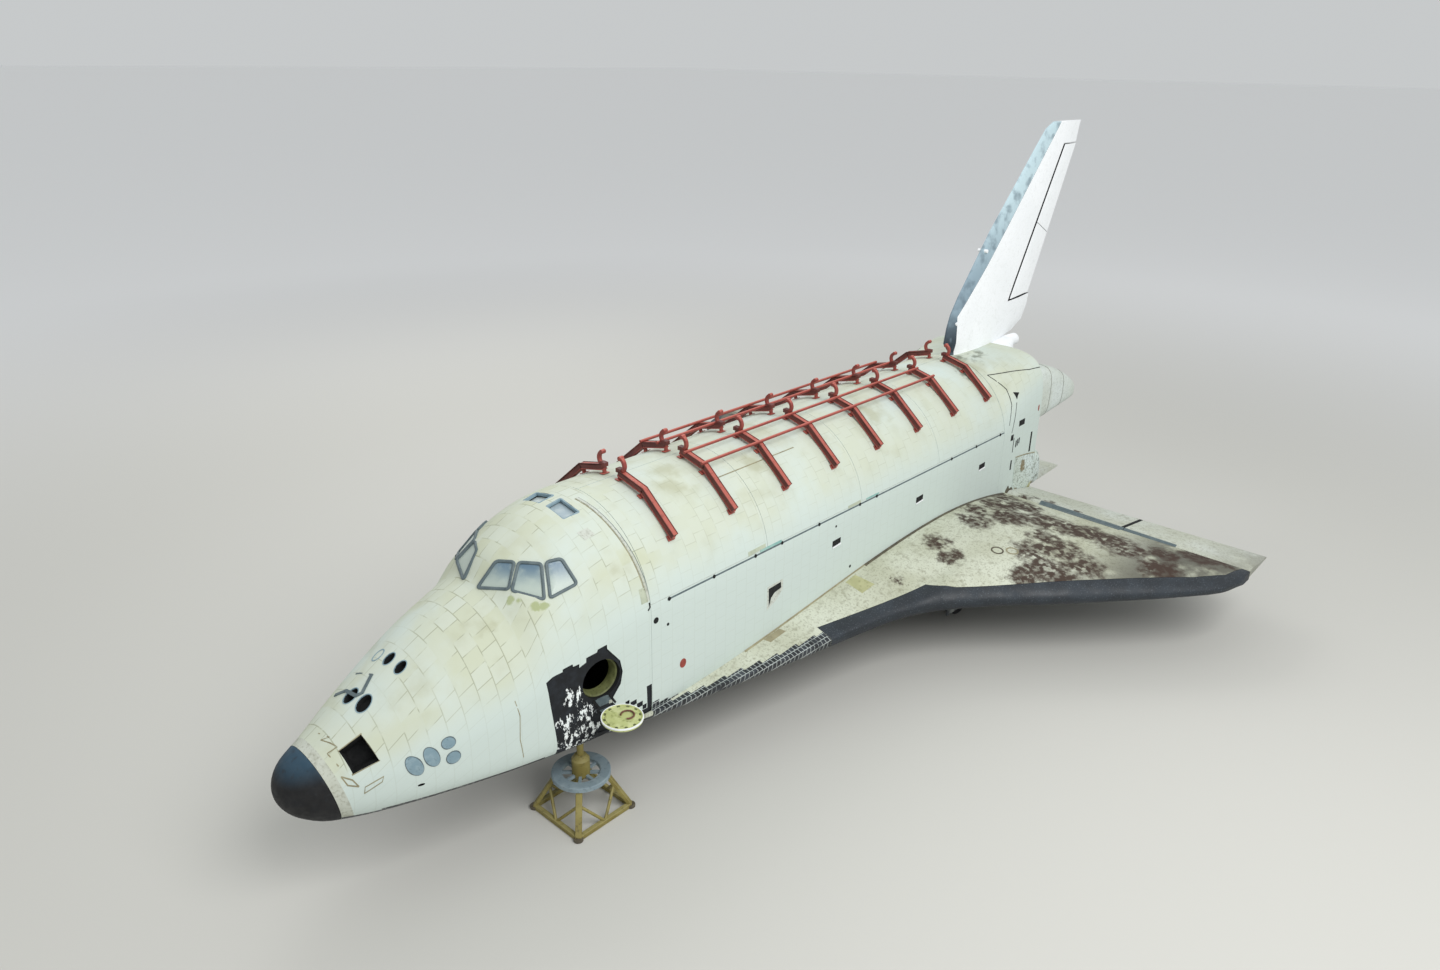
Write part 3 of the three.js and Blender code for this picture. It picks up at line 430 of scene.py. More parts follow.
def finish_with(item: Mesh, kind: str, **settings: Any) -> Mesh:
    """Adds a modifier and applies it.

    Args:
        item: The object.
        kind: The modifier's type.
        settings: Its properties.

    Returns:
        The same object.
    """
    pick(item)
    modifier = item.modifiers.new(kind.lower(), kind)
    for key, value in settings.items():
        setattr(modifier, key, value)
    bpy.ops.object.modifier_apply(modifier=modifier.name)
    return item


def soften(item: Mesh, width: float, segments: int = 2) -> Mesh:
    """Bevels an object's sharp edges and shades it smooth up to them."""
    finish_with(
        item, "BEVEL", width=width, segments=segments, limit_method="ANGLE", angle_limit=math.radians(40)
    )
    return shade(item)


def shade(item: Mesh, degrees: float = 35.0) -> Mesh:
    """Shades an object smooth, but for edges sharper than an angle.

    Args:
        item: The object.
        degrees: The angle.

    Returns:
        The same object.
    """
    pick(item)
    bpy.ops.object.shade_smooth_by_angle(angle=math.radians(degrees))
    return item


def joined(name: str, parts: Sequence[Mesh]) -> Mesh:
    """Joins several meshes into one object.

    Args:
        name: The joined object's name.
        parts: The objects.

    Returns:
        The joined object.
    """
    pick(*parts)
    if len(parts) > 1:
        bpy.ops.object.join()
    whole = bpy.context.view_layer.objects.active
    whole.name = name
    whole.data.name = name
    return whole


def copied(source: Mesh, name: str, change: Matrix | None = None) -> Mesh:
    """Copies an object with a mesh of its own, moved or mirrored in the mesh.

    Args:
        source: The object to copy.
        name: The copy's name.
        change: What is done to the copy's mesh.

    Returns:
        The copy.
    """
    twin = source.copy()
    twin.data = source.data.copy()
    twin.name = name
    twin.data.name = name
    bpy.context.collection.objects.link(twin)
    if change is not None:
        twin.data.transform(change)
        if change.determinant() < 0:
            twin.data.flip_normals()
    return twin


MIRROR = Matrix.Scale(-1, 4, (0, 1, 0))


def on_side(source: Mesh, side: Side, name: str) -> Mesh:
    """A port piece as it is, or its mirror image for starboard."""
    return source if side is Side.PORT else copied(source, name, MIRROR)


def wrapped(
    name: str, points: Grid, finish: Finish, chart: Grid | None = None, closed: bool = True,
    ends: bool = True,
) -> Mesh:
    """A grid primitive wrapped over rows of points, closed round and at its ends where asked.

    Args:
        name: The new object's name.
        points: Points by row and column.
        finish: Its material.
        chart: Two numbers for each point, kept as the UV map in metres.
        closed: Whether the first and last column are one line to be merged.
        ends: Whether the first and last row are filled.

    Returns:
        The new object.
    """
    rows, columns = points.shape[:2]
    item = start(
        "grid", name, finish, x_subdivisions=columns - 1, y_subdivisions=rows - 1, size=2, calc_uvs=False
    )
    mesh = item.data
    mesh.vertices.foreach_set("co", points.reshape(-1, 3).astype(np.float32).ravel())
    if chart is not None:
        layer = mesh.uv_layers.new(name="chart")
        corner = np.zeros(len(mesh.loops), np.int32)
        mesh.loops.foreach_get("vertex_index", corner)
        layer.uv.foreach_set("vector", chart.reshape(-1, 2)[corner].astype(np.float32).ravel())
    mesh.update()
    with editing(item):
        if closed or ends:
            select_all()
            bpy.ops.mesh.remove_doubles(threshold=1e-5)
        if ends:
            bpy.ops.mesh.select_all(action="DESELECT")
            bpy.ops.mesh.select_non_manifold(extend=False, use_boundary=True, use_wire=False)
            bpy.ops.mesh.fill_holes(sides=0)
        face_out()
        bmesh.update_edit_mesh(mesh)
    return item


def carve(item: Mesh, cutter: Mesh, operation: str = "DIFFERENCE") -> Mesh:
    """Cuts, joins or crosses an object with another, which hands on its own finish and goes.

    Args:
        item: The object that is changed.
        cutter: The other object.
        operation: The Boolean operation.

    Returns:
        The changed object.
    """
    finish_with(
        item, "BOOLEAN", object=cutter, operation=operation, solver="EXACT", material_mode="TRANSFER"
    )
    bpy.data.objects.remove(cutter, do_unlink=True)
    return item


def bisected(item: Mesh, place: Vector, normal: Vector, keep_front: bool) -> Mesh:
    """Cuts an object by a plane and closes the cut.

    Args:
        item: The object.
        place: A point of the plane.
        normal: The plane's normal.
        keep_front: Whether the side that the normal points to is kept.

    Returns:
        The same object.
    """
    with editing(item):
        select_all()
        bpy.ops.mesh.bisect(
            plane_co=place, plane_no=normal, use_fill=True,
            clear_inner=keep_front, clear_outer=not keep_front,
        )
    return item


def box(name: str, finish: Finish, low: Vector, high: Vector, soft: float = 0.0) -> Mesh:
    """A block between two corners, its edges softened.

    Args:
        name: The new object's name.
        finish: Its material.
        low: One corner.
        high: The opposite corner.
        soft: The width of its bevelled edges, or none.

    Returns:
        The new object.
    """
    item = start("cube", name, finish, size=1, location=(low + high) / 2)
    item.scale = [abs(value) for value in high - low]
    settle(item)
    return soften(item, soft) if soft else item


def beam_box(
    name: str, finish: Finish, ends: tuple[Vector, Vector], size: tuple[float, float], up: Vector,
    soft: float = 0.01,
) -> Mesh:
    """A straight bar of rectangular section between two points.

    Args:
        name: The new object's name.
        finish: Its material.
        ends: The two ends of its middle line.
        size: Its width across, and its depth along the up way.
        up: Which way its depth lies.
        soft: The width of its bevelled edges.

    Returns:
        The new object.
    """
    along = ends[1] - ends[0]
    forward = along.normalized()
    across = forward.cross(up).normalized()
    lift = across.cross(forward).normalized()
    turn = Matrix((across, forward, lift)).transposed().to_4x4()
    item = start("cube", name, finish, size=1)
    item.matrix_world = (
        Matrix.Translation((ends[0] + ends[1]) / 2) @ turn @ Matrix.Diagonal(
            (size[0], along.length, size[1], 1)
        )
    )
    settle(item)
    return soften(item, soft, 1) if soft else item


def tube(
    name: str, finish: Finish, ends: tuple[Vector, Vector], radius: float, sides: int = 24,
    end_radius: float | None = None, soft: float = 0.0,
) -> Mesh:
    """A round bar between two points.

    Args:
        name: The new object's name.
        finish: Its material.
        ends: The two ends of its middle line.
        radius: Its radius at the first end.
        sides: How many sides it has.
        end_radius: Its radius at the second end, if it tapers.
        soft: The width of its bevelled rims.

    Returns:
        The new object.
    """
    along = ends[1] - ends[0]
    item = start(
        "cone", name, finish, vertices=sides, radius1=radius,
        radius2=radius if end_radius is None else end_radius, depth=along.length,
    )
    turn = along.to_track_quat("Z", "Y").to_matrix().to_4x4()
    item.matrix_world = Matrix.Translation((ends[0] + ends[1]) / 2) @ turn
    settle(item)
    return soften(item, soft) if soft else shade(item)


def turned(
    name: str, finish: Finish, outline: Outline, centre: Vector, axis: Vector, steps: int = 64
) -> Mesh:
    """A body of revolution, spun from its outline.

    Args:
        name: The new object's name.
        finish: Its material.
        outline: Radius and distance along the axis, point by point; it closes on itself.
        centre: Where the axis starts.
        axis: Which way it runs.
        steps: How many steps the spin has.

    Returns:
        The new object.
    """
    forward = axis.normalized()
    side = forward.orthogonal().normalized()
    item = start("circle", name, finish, vertices=len(outline), fill_type="NOTHING")
    for vertex, (radius, along) in zip(item.data.vertices, outline):
        vertex.co = centre + forward * along + side * radius
    with editing(item):
        select_all()
        bpy.ops.mesh.spin(steps=steps, angle=2 * math.pi, center=centre, axis=forward)
        select_all()
        bpy.ops.mesh.remove_doubles(threshold=1e-4)
        face_out()
    return shade(item)


def coat_where(item: Mesh, finish: Finish, test: Callable[[Vector, Vector], bool]) -> None:
    """Gives the faces that pass a test another finish.

    Args:
        item: The object.
        finish: The other finish.
        test: Takes a face's centre and normal.
    """
    item.data.materials.append(finish)
    slot = len(item.data.materials) - 1
    for face in item.data.polygons:
        if test(face.center, face.normal):
            face.material_index = slot


def hand_over(item: Mesh, body: str, slot: str, *nodes: str) -> Mesh:
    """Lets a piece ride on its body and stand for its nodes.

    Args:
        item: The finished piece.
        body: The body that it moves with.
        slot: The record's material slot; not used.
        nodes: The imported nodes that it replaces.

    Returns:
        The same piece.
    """
    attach(item, body)
    if nodes:
        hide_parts(*nodes)
    log.info("%s rides on %s with %d faces", item.name, body, len(item.data.polygons))
    return item


# Finishes: each one is named for its real material, and for the painted light or shade that some carry


def linear(colour: str) -> tuple[float, float, float, float]:
    """An sRGB hex colour as Blender's linear colour.

    Args:
        colour: The colour as #rrggbb.

    Returns:
        Red, green, blue and a full alpha.
    """
    parts = [int(colour[i : i + 2], 16) / 255 for i in (1, 3, 5)]
    bright = [part / 12.92 if part <= 0.04045 else ((part + 0.055) / 1.055) ** 2.4 for part in parts]
    return (bright[0], bright[1], bright[2], 1.0)


class Mixer:
    """One material while it is mixed: its nodes, its shader and the coordinates of the piece, in metres."""

    def __init__(self, name: str) -> None:
        """Makes a bare material.

        Args:
            name: The material's name.
        """
        self.finish = bpy.data.materials.new(name)
        self.finish.use_nodes = True
        self.tree = self.finish.node_tree
        self.tree.nodes.clear()
        self.shader = self.add("BsdfPrincipled")
        self.add("OutputMaterial", {"Surface": self.shader.outputs[0]})
        place = self.add("TexCoord")
        self.body = place.outputs["Object"]
        self.normal = place.outputs["Normal"]

    def add(self, kind: str, links: dict[str | int, Any] | None = None, **settings: Any) -> bpy.types.Node:
        """Adds a node with its settings, its values and its links.

        Args:
            kind: The node's type, without the words that every shader node's type begins with.
            links: For each input, another node's output or a plain value.
            settings: The node's own properties.

        Returns:
            The new node.
        """
        node = self.tree.nodes.new(f"ShaderNode{kind}")
        for key, value in settings.items():
            setattr(node, key, value)
        for key, value in (links or {}).items():
            if isinstance(value, bpy.types.NodeSocket):
                self.tree.links.new(value, node.inputs[key])
            else:
                node.inputs[key].default_value = value
        return node

    def math(self, operation: str, first: Any, second: Any = 0.5) -> Socket:
        """Works a value out of one or two others."""
        return self.add("Math", {0: first, 1: second}, operation=operation).outputs[0]

    def part(self, axis: int, where: Any = None) -> Socket:
        """One coordinate of a vector, of the place on the piece if none is given."""
        return self.add("SeparateXYZ", {0: where or self.body}).outputs[axis]

    def meeting(self, *masks: Any) -> Socket:
        """The mask of where several masks meet.

        Args:
            masks: The masks.

        Returns:
            Their product.
        """
        product = masks[0]
        for mask in masks[1:]:
            product = self.math("MULTIPLY", product, mask)
        return product

    def fade(self, value: Any, low: float, high: float, first: float = 0.0, last: float = 1.0) -> Socket:
        """A mask that goes smoothly from one strength to another over a range of a value."""
        inputs = {"Value": value, "From Min": low, "From Max": high, "To Min": first, "To Max": last}
        return self.add("MapRange", inputs, interpolation_type="SMOOTHSTEP").outputs[0]

    def patches(
        self, scale: float, low: float, high: float, strength: float = 1.0, detail: float = 4.0
    ) -> Socket:
        """Soft-edged patches that come and go over a surface."""
        noise = self.add("TexNoise", {"Vector": self.body, "Scale": scale, "Detail": detail})
        return self.fade(noise.outputs[0], low, high, 0.0, strength)

    def spots(self, places: Spots, ragged: float) -> Any:
        """Stains at measured places, with ragged edges.

        Args:
            places: Rows of station, y, height and radius.
            ragged: How many metres the edge wanders.

        Returns:
            The mask.
        """
        settings = {"Vector": self.body, "Scale": 2.2, "Detail": 8.0, "Roughness": 0.65}
        noise = self.add("TexNoise", settings).outputs[0]
        shift = self.math("MULTIPLY", self.math("ADD", noise, -0.5), 2 * ragged)
        total: Any = 0.0
        for station, y, height, radius in places:
            centre = tuple(at(station, y, height))
            away = self.add("VectorMath", {0: self.body, 1: centre}, operation="DISTANCE").outputs["Value"]
            mask = self.fade(self.math("ADD", away, shift), 0.45 * radius, 1.1 * radius, 1.0, 0.0)
            total = self.math("MAXIMUM", total, mask)
        return total

    def bricks(self, where: Any, size: float, mortar: float, smooth: float) -> bpy.types.Node:
        """Square tiles in running bond, each of its own shade, and the joints between them.

        Args:
            where: The coordinates, in metres.
            size: The tiles' size.
            mortar: Half the width of the joints.
            smooth: How softly the joints begin.

        Returns:
            The node, whose outputs are the shade and the mask of the joints.
        """
        settings = {
            "Vector": where, "Color1": (0, 0, 0, 1), "Color2": (1, 1, 1, 1), "Mortar": (0.5, 0.5, 0.5, 1),
            "Scale": 1.0, "Mortar Size": mortar, "Mortar Smooth": smooth, "Bias": 0.0,
            "Brick Width": size, "Row Height": size,
        }
        return self.add("TexBrick", settings)

    def coat(self, ground: str, *layers: tuple[Any, str]) -> None:
        """Lays colours over a ground, each through its own mask, as the material's colour.

        Args:
            ground: The ground colour.
            layers: Pairs of a mask and the hex colour that shows where it is one.
        """
        under: Any = linear(ground)
        for mask, colour in layers:
            over = self.add("Mix", {0: mask, 6: under, 7: linear(colour)}, data_type="RGBA")
            under = over.outputs[2]
        self.tree.links.new(under, self.shader.inputs["Base Color"])

    def relief(self, height: Any, depth: float, strength: float = 1.0) -> None:
        """Raises the surface by a pattern."""
        bump = self.add("Bump", {"Height": height, "Distance": depth, "Strength": strength})
        self.tree.links.new(bump.outputs[0], self.shader.inputs["Normal"])

    def grain(self, scale: float = 30.0, depth: float = 0.001) -> None:
        """Gives the surface a fine grain."""
        noise = self.add("TexNoise", {"Vector": self.body, "Scale": scale, "Detail": 4.0})
        self.relief(noise.outputs[0], depth)

    def values(self, **settings: float) -> None:
        """Sets plain values of the shader."""
        for key, value in settings.items():
            self.shader.inputs[key.replace("_", " ")].default_value = value


class Coating:
    """A finish that knows how it is mixed."""

    name: str

    @classmethod
    def made(cls, *values: Any, **named: Any) -> Finish:
        """Builds the finish from its values.

        Args:
            values: The finish's fields, in their order.
            named: Fields by name.

        Returns:
            The material.
        """
        recipe = cls(*values, **named)
        mixer = Mixer(recipe.name)
        recipe.mix(mixer)
        return mixer.finish

    def mix(self, mixer: Mixer) -> None:
        """Lays the finish's colours and relief."""
        raise NotImplementedError


@dataclass(frozen=True)
class SilicaTile(Coating):
    """Fired white tiles: matt and near white on the walls, cream and stained where dust can settle."""

    name: str
    clean: str = "#ccd8d2"
    aged: str = "#c2c6a6"
    dust: str = "#cdd3c3"
    joint: str = "#94977c"
    smear: str = "#adae90"
    moss: str = "#9aa56c"
    grime: str = "#6d7263"
    tile: float = 0.42
    joint_width: float = 0.03
    joint_strength: float = 0.7
    bold: tuple[float, float] = (NOSE_X - 10.5, NOSE_X - 8.9)
    upward: tuple[float, float] = (0.1, 0.55)
    smears: Spots = ()
    mosses: Spots = ()
    grimes: Spots = ()

    def mix(self, mixer: Mixer) -> None:
        """Lays dust and stains on the upper side, and joints that grow bold towards the nose."""
        chart = mixer.add("UVMap", uv_map="chart").outputs[0]
        tint, joint = mixer.bricks(chart, self.tile, self.joint_width / 2, 0.6).outputs[:2]
        open_sky = mixer.fade(mixer.part(2, mixer.normal), *self.upward)
        bold = mixer.fade(mixer.part(0), *self.bold, 0.4, 1.0)
        settled = mixer.meeting(open_sky, mixer.patches(0.5, 0.2, 0.6, 0.9, 6.0))
        uneven = mixer.meeting(open_sky, bold, tint, mixer.patches(0.5, 0.35, 0.6, 0.6))
        broken = mixer.meeting(
            mixer.patches(1.7, 0.44, 0.56, 1.0, 5.0), mixer.patches(
                0.5, 0.33, 0.55, self.joint_strength, 3.0
            )
        )
        cloudy = mixer.meeting(mixer.spots(self.smears, 0.5), mixer.patches(1.6, 0.35, 0.65, 0.6, 8.0))
        grimy = mixer.meeting(mixer.spots(self.grimes, 0.6), mixer.patches(3.0, 0.42, 0.6, 0.7, 10.0))
        mixer.coat(
            self.clean,
            (mixer.meeting(joint, 0.1), self.joint),
            (settled, self.dust),
            (uneven, self.aged),
            (mixer.meeting(open_sky, mixer.patches(1.1, 0.5, 0.8, 0.4, 8.0)), self.smear),
            (cloudy, self.smear),
            (mixer.meeting(open_sky, bold, joint, broken), self.joint),
            (grimy, self.grime),
            (mixer.meeting(mixer.spots(self.mosses, 0.25), 0.7), self.moss),
        )
        mixer.values(Roughness=0.75, Specular_IOR_Level=0.3)


@dataclass(frozen=True)
class SheetFelt(Coating):
    """White silicone-coated felt: no joints to speak of, speckled with fine dirt and with brown spills."""

    name: str
    clean: str
    dust: str
    grain: str
    spill: str = "#42332b"
    dust_strength: float = 0.8
    grain_strength: float = 0.5
    spills: Spots = ()
    soiled: str = ""
    soiled_range: tuple[float, float] = (7.5, 11.5)

    def mix(self, mixer: Mixer) -> None:
        """Lays dust and specks, soil towards the tips, and the spills."""
        layers: list[tuple[Any, str]] = [
            (mixer.patches(0.5, 0.3, 0.65, self.dust_strength, 6.0), self.dust),
            (mixer.patches(5.0, 0.5, 0.75, self.grain_strength, 8.0), self.grain),
            (mixer.patches(16.0, 0.5, 0.7, self.grain_strength, 6.0), self.grain),
        ]
        if self.soiled:
            reach = mixer.fade(mixer.math("ABSOLUTE", mixer.part(1)), *self.soiled_range)
            layers.append((mixer.meeting(reach, mixer.patches(1.2, 0.2, 0.5, 0.95, 10.0)), self.soiled))
        if self.spills:
            near = mixer.spots(self.spills, 0.75)
            layers.append((mixer.meeting(near, mixer.patches(1.6, 0.3, 0.56, 0.7, 10.0)), self.spill))
            layers.append((mixer.meeting(near, mixer.patches(4.5, 0.4, 0.54, 0.95, 10.0)), self.spill))
        mixer.coat(self.clean, *layers)
        mixer.values(Roughness=0.8, Specular_IOR_Level=0.3)
        mixer.grain()


@dataclass(frozen=True)
class SlateFelt(Coating):
    """Grey-blue coated felt on the fin's front: pale at the top, blotched nearly black at the foot."""

    name: str = "slate_fin_felt"
    middle: str = "#8ea4b1"
    pale: str = "#c6dde4"
    foot: str = "#2f3c47"
    blotch: str = "#5d6e7a"
    foot_range: tuple[float, float] = (BELLY + 6.3, BELLY + 8.4)
    pale_range: tuple[float, float] = (BELLY + 8.2, BELLY + 12.0)

    def mix(self, mixer: Mixer) -> None:
        """Lays the pale top, the blotches and the stained foot."""
        upper = mixer.fade(mixer.part(2), *self.pale_range, 0.0, 0.95)
        lower = mixer.fade(mixer.part(2), *self.foot_range, 1.0, 0.0)
        stained = mixer.meeting(lower, mixer.patches(1.5, 0.25, 0.5, 1.0, 6.0))
        blotches = mixer.patches(2.5, 0.45, 0.7, 0.6, 8.0)
        mixer.coat(self.middle, (upper, self.pale), (blotches, self.blotch), (stained, self.foot))
        mixer.values(Roughness=0.7)
        mixer.grain()


@dataclass(frozen=True)
class BareFelt(Coating):
    """Black felt where tiles were torn off, with upright white slivers of tile and glue left on it."""

    name: str = "bare_black_felt"
    felt: str = "#14171b"
    worn: str = "#262b32"
    sliver: str = "#eef3f2"
    glued: Spots = (
        (6.3, 2.6, 0.5, 0.55), (6.75, 2.65, 0.5, 0.6), (6.35, 2.6, 1.1, 0.5), (6.8, 2.65, 1.1, 0.45),
        (6.4, 2.6, 1.7, 0.45),
    )

    def mix(self, mixer: Mixer) -> None:
        """Lays worn places, and slivers where a drawn-out noise is high near a glued spot."""
        drawn = mixer.add("Mapping", {"Vector": mixer.body, "Scale": (9.0, 9.0, 4.0)}).outputs[0]
        settings = {"Vector": drawn, "Scale": 1.0, "Detail": 5.0, "Roughness": 0.7}
        noise = mixer.add("TexNoise", settings).outputs[0]
        near = mixer.fade(mixer.spots(self.glued, 0.5), 0.0, 1.0, -0.12, 0.065)
        sharp = mixer.fade(mixer.math("ADD", noise, near), 0.585, 0.6)
        mixer.coat(self.felt, (mixer.patches(4.0, 0.4, 0.7, 0.7), self.worn), (sharp, self.sliver))
        mixer.values(Roughness=0.9)
        mixer.relief(noise, 0.01)


@dataclass(frozen=True)
class BlackTile(Coating):
    """Black glazed tiles of the belly: satin, scuffed pale at the joints, a few bleached by dust."""

    name: str
    glaze: str = "#191c20"
    bleached: str = "#4a5058"
    joint: str = "#a9aea9"
    tile: float = 0.15
    joint_width: float = 0.011
    joint_from: float = 0.42
    joint_strength: float = 0.75
    turned: float = 0.0

    def mix(self, mixer: Mixer) -> None:
        """Lays bleached tiles, dust and joints that are pale in places."""
        turn = {"Vector": mixer.body, "Rotation": (self.turned, 0, 0)}
        where = mixer.add("Mapping", turn).outputs[0]
        tint, joint = mixer.bricks(where, self.tile, self.joint_width, 0.3).outputs[:2]
        scuffed = mixer.patches(1.2, self.joint_from, self.joint_from + 0.2, self.joint_strength)
        mixer.coat(
            self.glaze,
            (mixer.meeting(tint, mixer.patches(1.5, 0.35, 0.65, 0.6)), self.bleached),
            (mixer.patches(5.0, 0.58, 0.75, 0.5, 8.0), self.bleached),
            (mixer.meeting(joint, scuffed), self.joint),
        )
        mixer.values(Roughness=0.45)
        mixer.relief(mixer.math("SUBTRACT", 1.0, joint), 0.005, 0.5)


@dataclass(frozen=True)
class WornSurface(Coating):
    """A plain painted, coated or bare surface with two kinds of wear, a painted highlight on top if given,
    and a fine grain.
    """

    name: str
    base: str
    wear: str
    dirt: str
    wear_scale: float = 3.0
    wear_strength: float = 0.6
    dirt_scale: float = 8.0
    dirt_strength: float = 0.5
    roughness: float = 0.55
    metallic: float = 0.0
    # A painted highlight: its colour on upward faces, and how strong it is.
    top: str = ""
    top_strength: float = 0.0

    def mix(self, mixer: Mixer) -> None:
        """Lays wear and dirt, a painted highlight on upward faces, and an uneven sheen."""
        layers: list[tuple[Any, str]] = [
            (mixer.patches(self.wear_scale, 0.42, 0.66, self.wear_strength, 6.0), self.wear),
            (mixer.patches(self.dirt_scale, 0.55, 0.72, self.dirt_strength, 8.0), self.dirt),
        ]
        # Painted highlight: upward faces take the top colour, as if lit from above.
        if self.top:
            painted_highlight = mixer.fade(mixer.part(2, mixer.normal), 0.35, 0.9, 0.0, self.top_strength)
            layers.insert(1, (painted_highlight, self.top))
        mixer.coat(self.base, *layers)
        rough = mixer.patches(self.wear_scale * 2, 0.3, 0.7)
        spread = {"Value": rough, "To Min": self.roughness - 0.08, "To Max": min(self.roughness + 0.12, 1.0)}
        sheen = mixer.add("MapRange", spread).outputs[0]
        mixer.tree.links.new(sheen, mixer.shader.inputs["Roughness"])
        mixer.values(Metallic=self.metallic)
        mixer.grain(40.0)


@dataclass(frozen=True)
class DustyGlassPaintedSky(Coating):
    """Silica glass under years of dust: its ground colour, left at each pane's top, is a painted sky
    reflection and frame shadow; it goes pale towards its lower edge.
    """

    name: str = "dusty_glass_painted_sky"
    # Painted sky reflection and frame shadow, the glass's ground colour.
    sky: str = "#4f7390"
    pale: str = "#c6d3c8"
    low: float = BELLY + 4.5
    high: float = BELLY + 4.98

    def mix(self, mixer: Mixer) -> None:
        """Lays the pale colour over the painted reflection: dust low down and in patches, and a paler tone
        on the far panes.
        """
        lower = mixer.fade(mixer.part(2), self.low, self.high, 0.95, 0.15)
        far = mixer.fade(mixer.part(1), -0.4, -0.2, 0.9, 0.0)
        dust = mixer.patches(3.0, 0.4, 0.7, 0.5, 6.0)
        mixer.coat(self.sky, (lower, self.pale), (far, self.pale), (dust, self.pale))
        mixer.values(Roughness=0.25, IOR=1.46, Transmission_Weight=0.15)


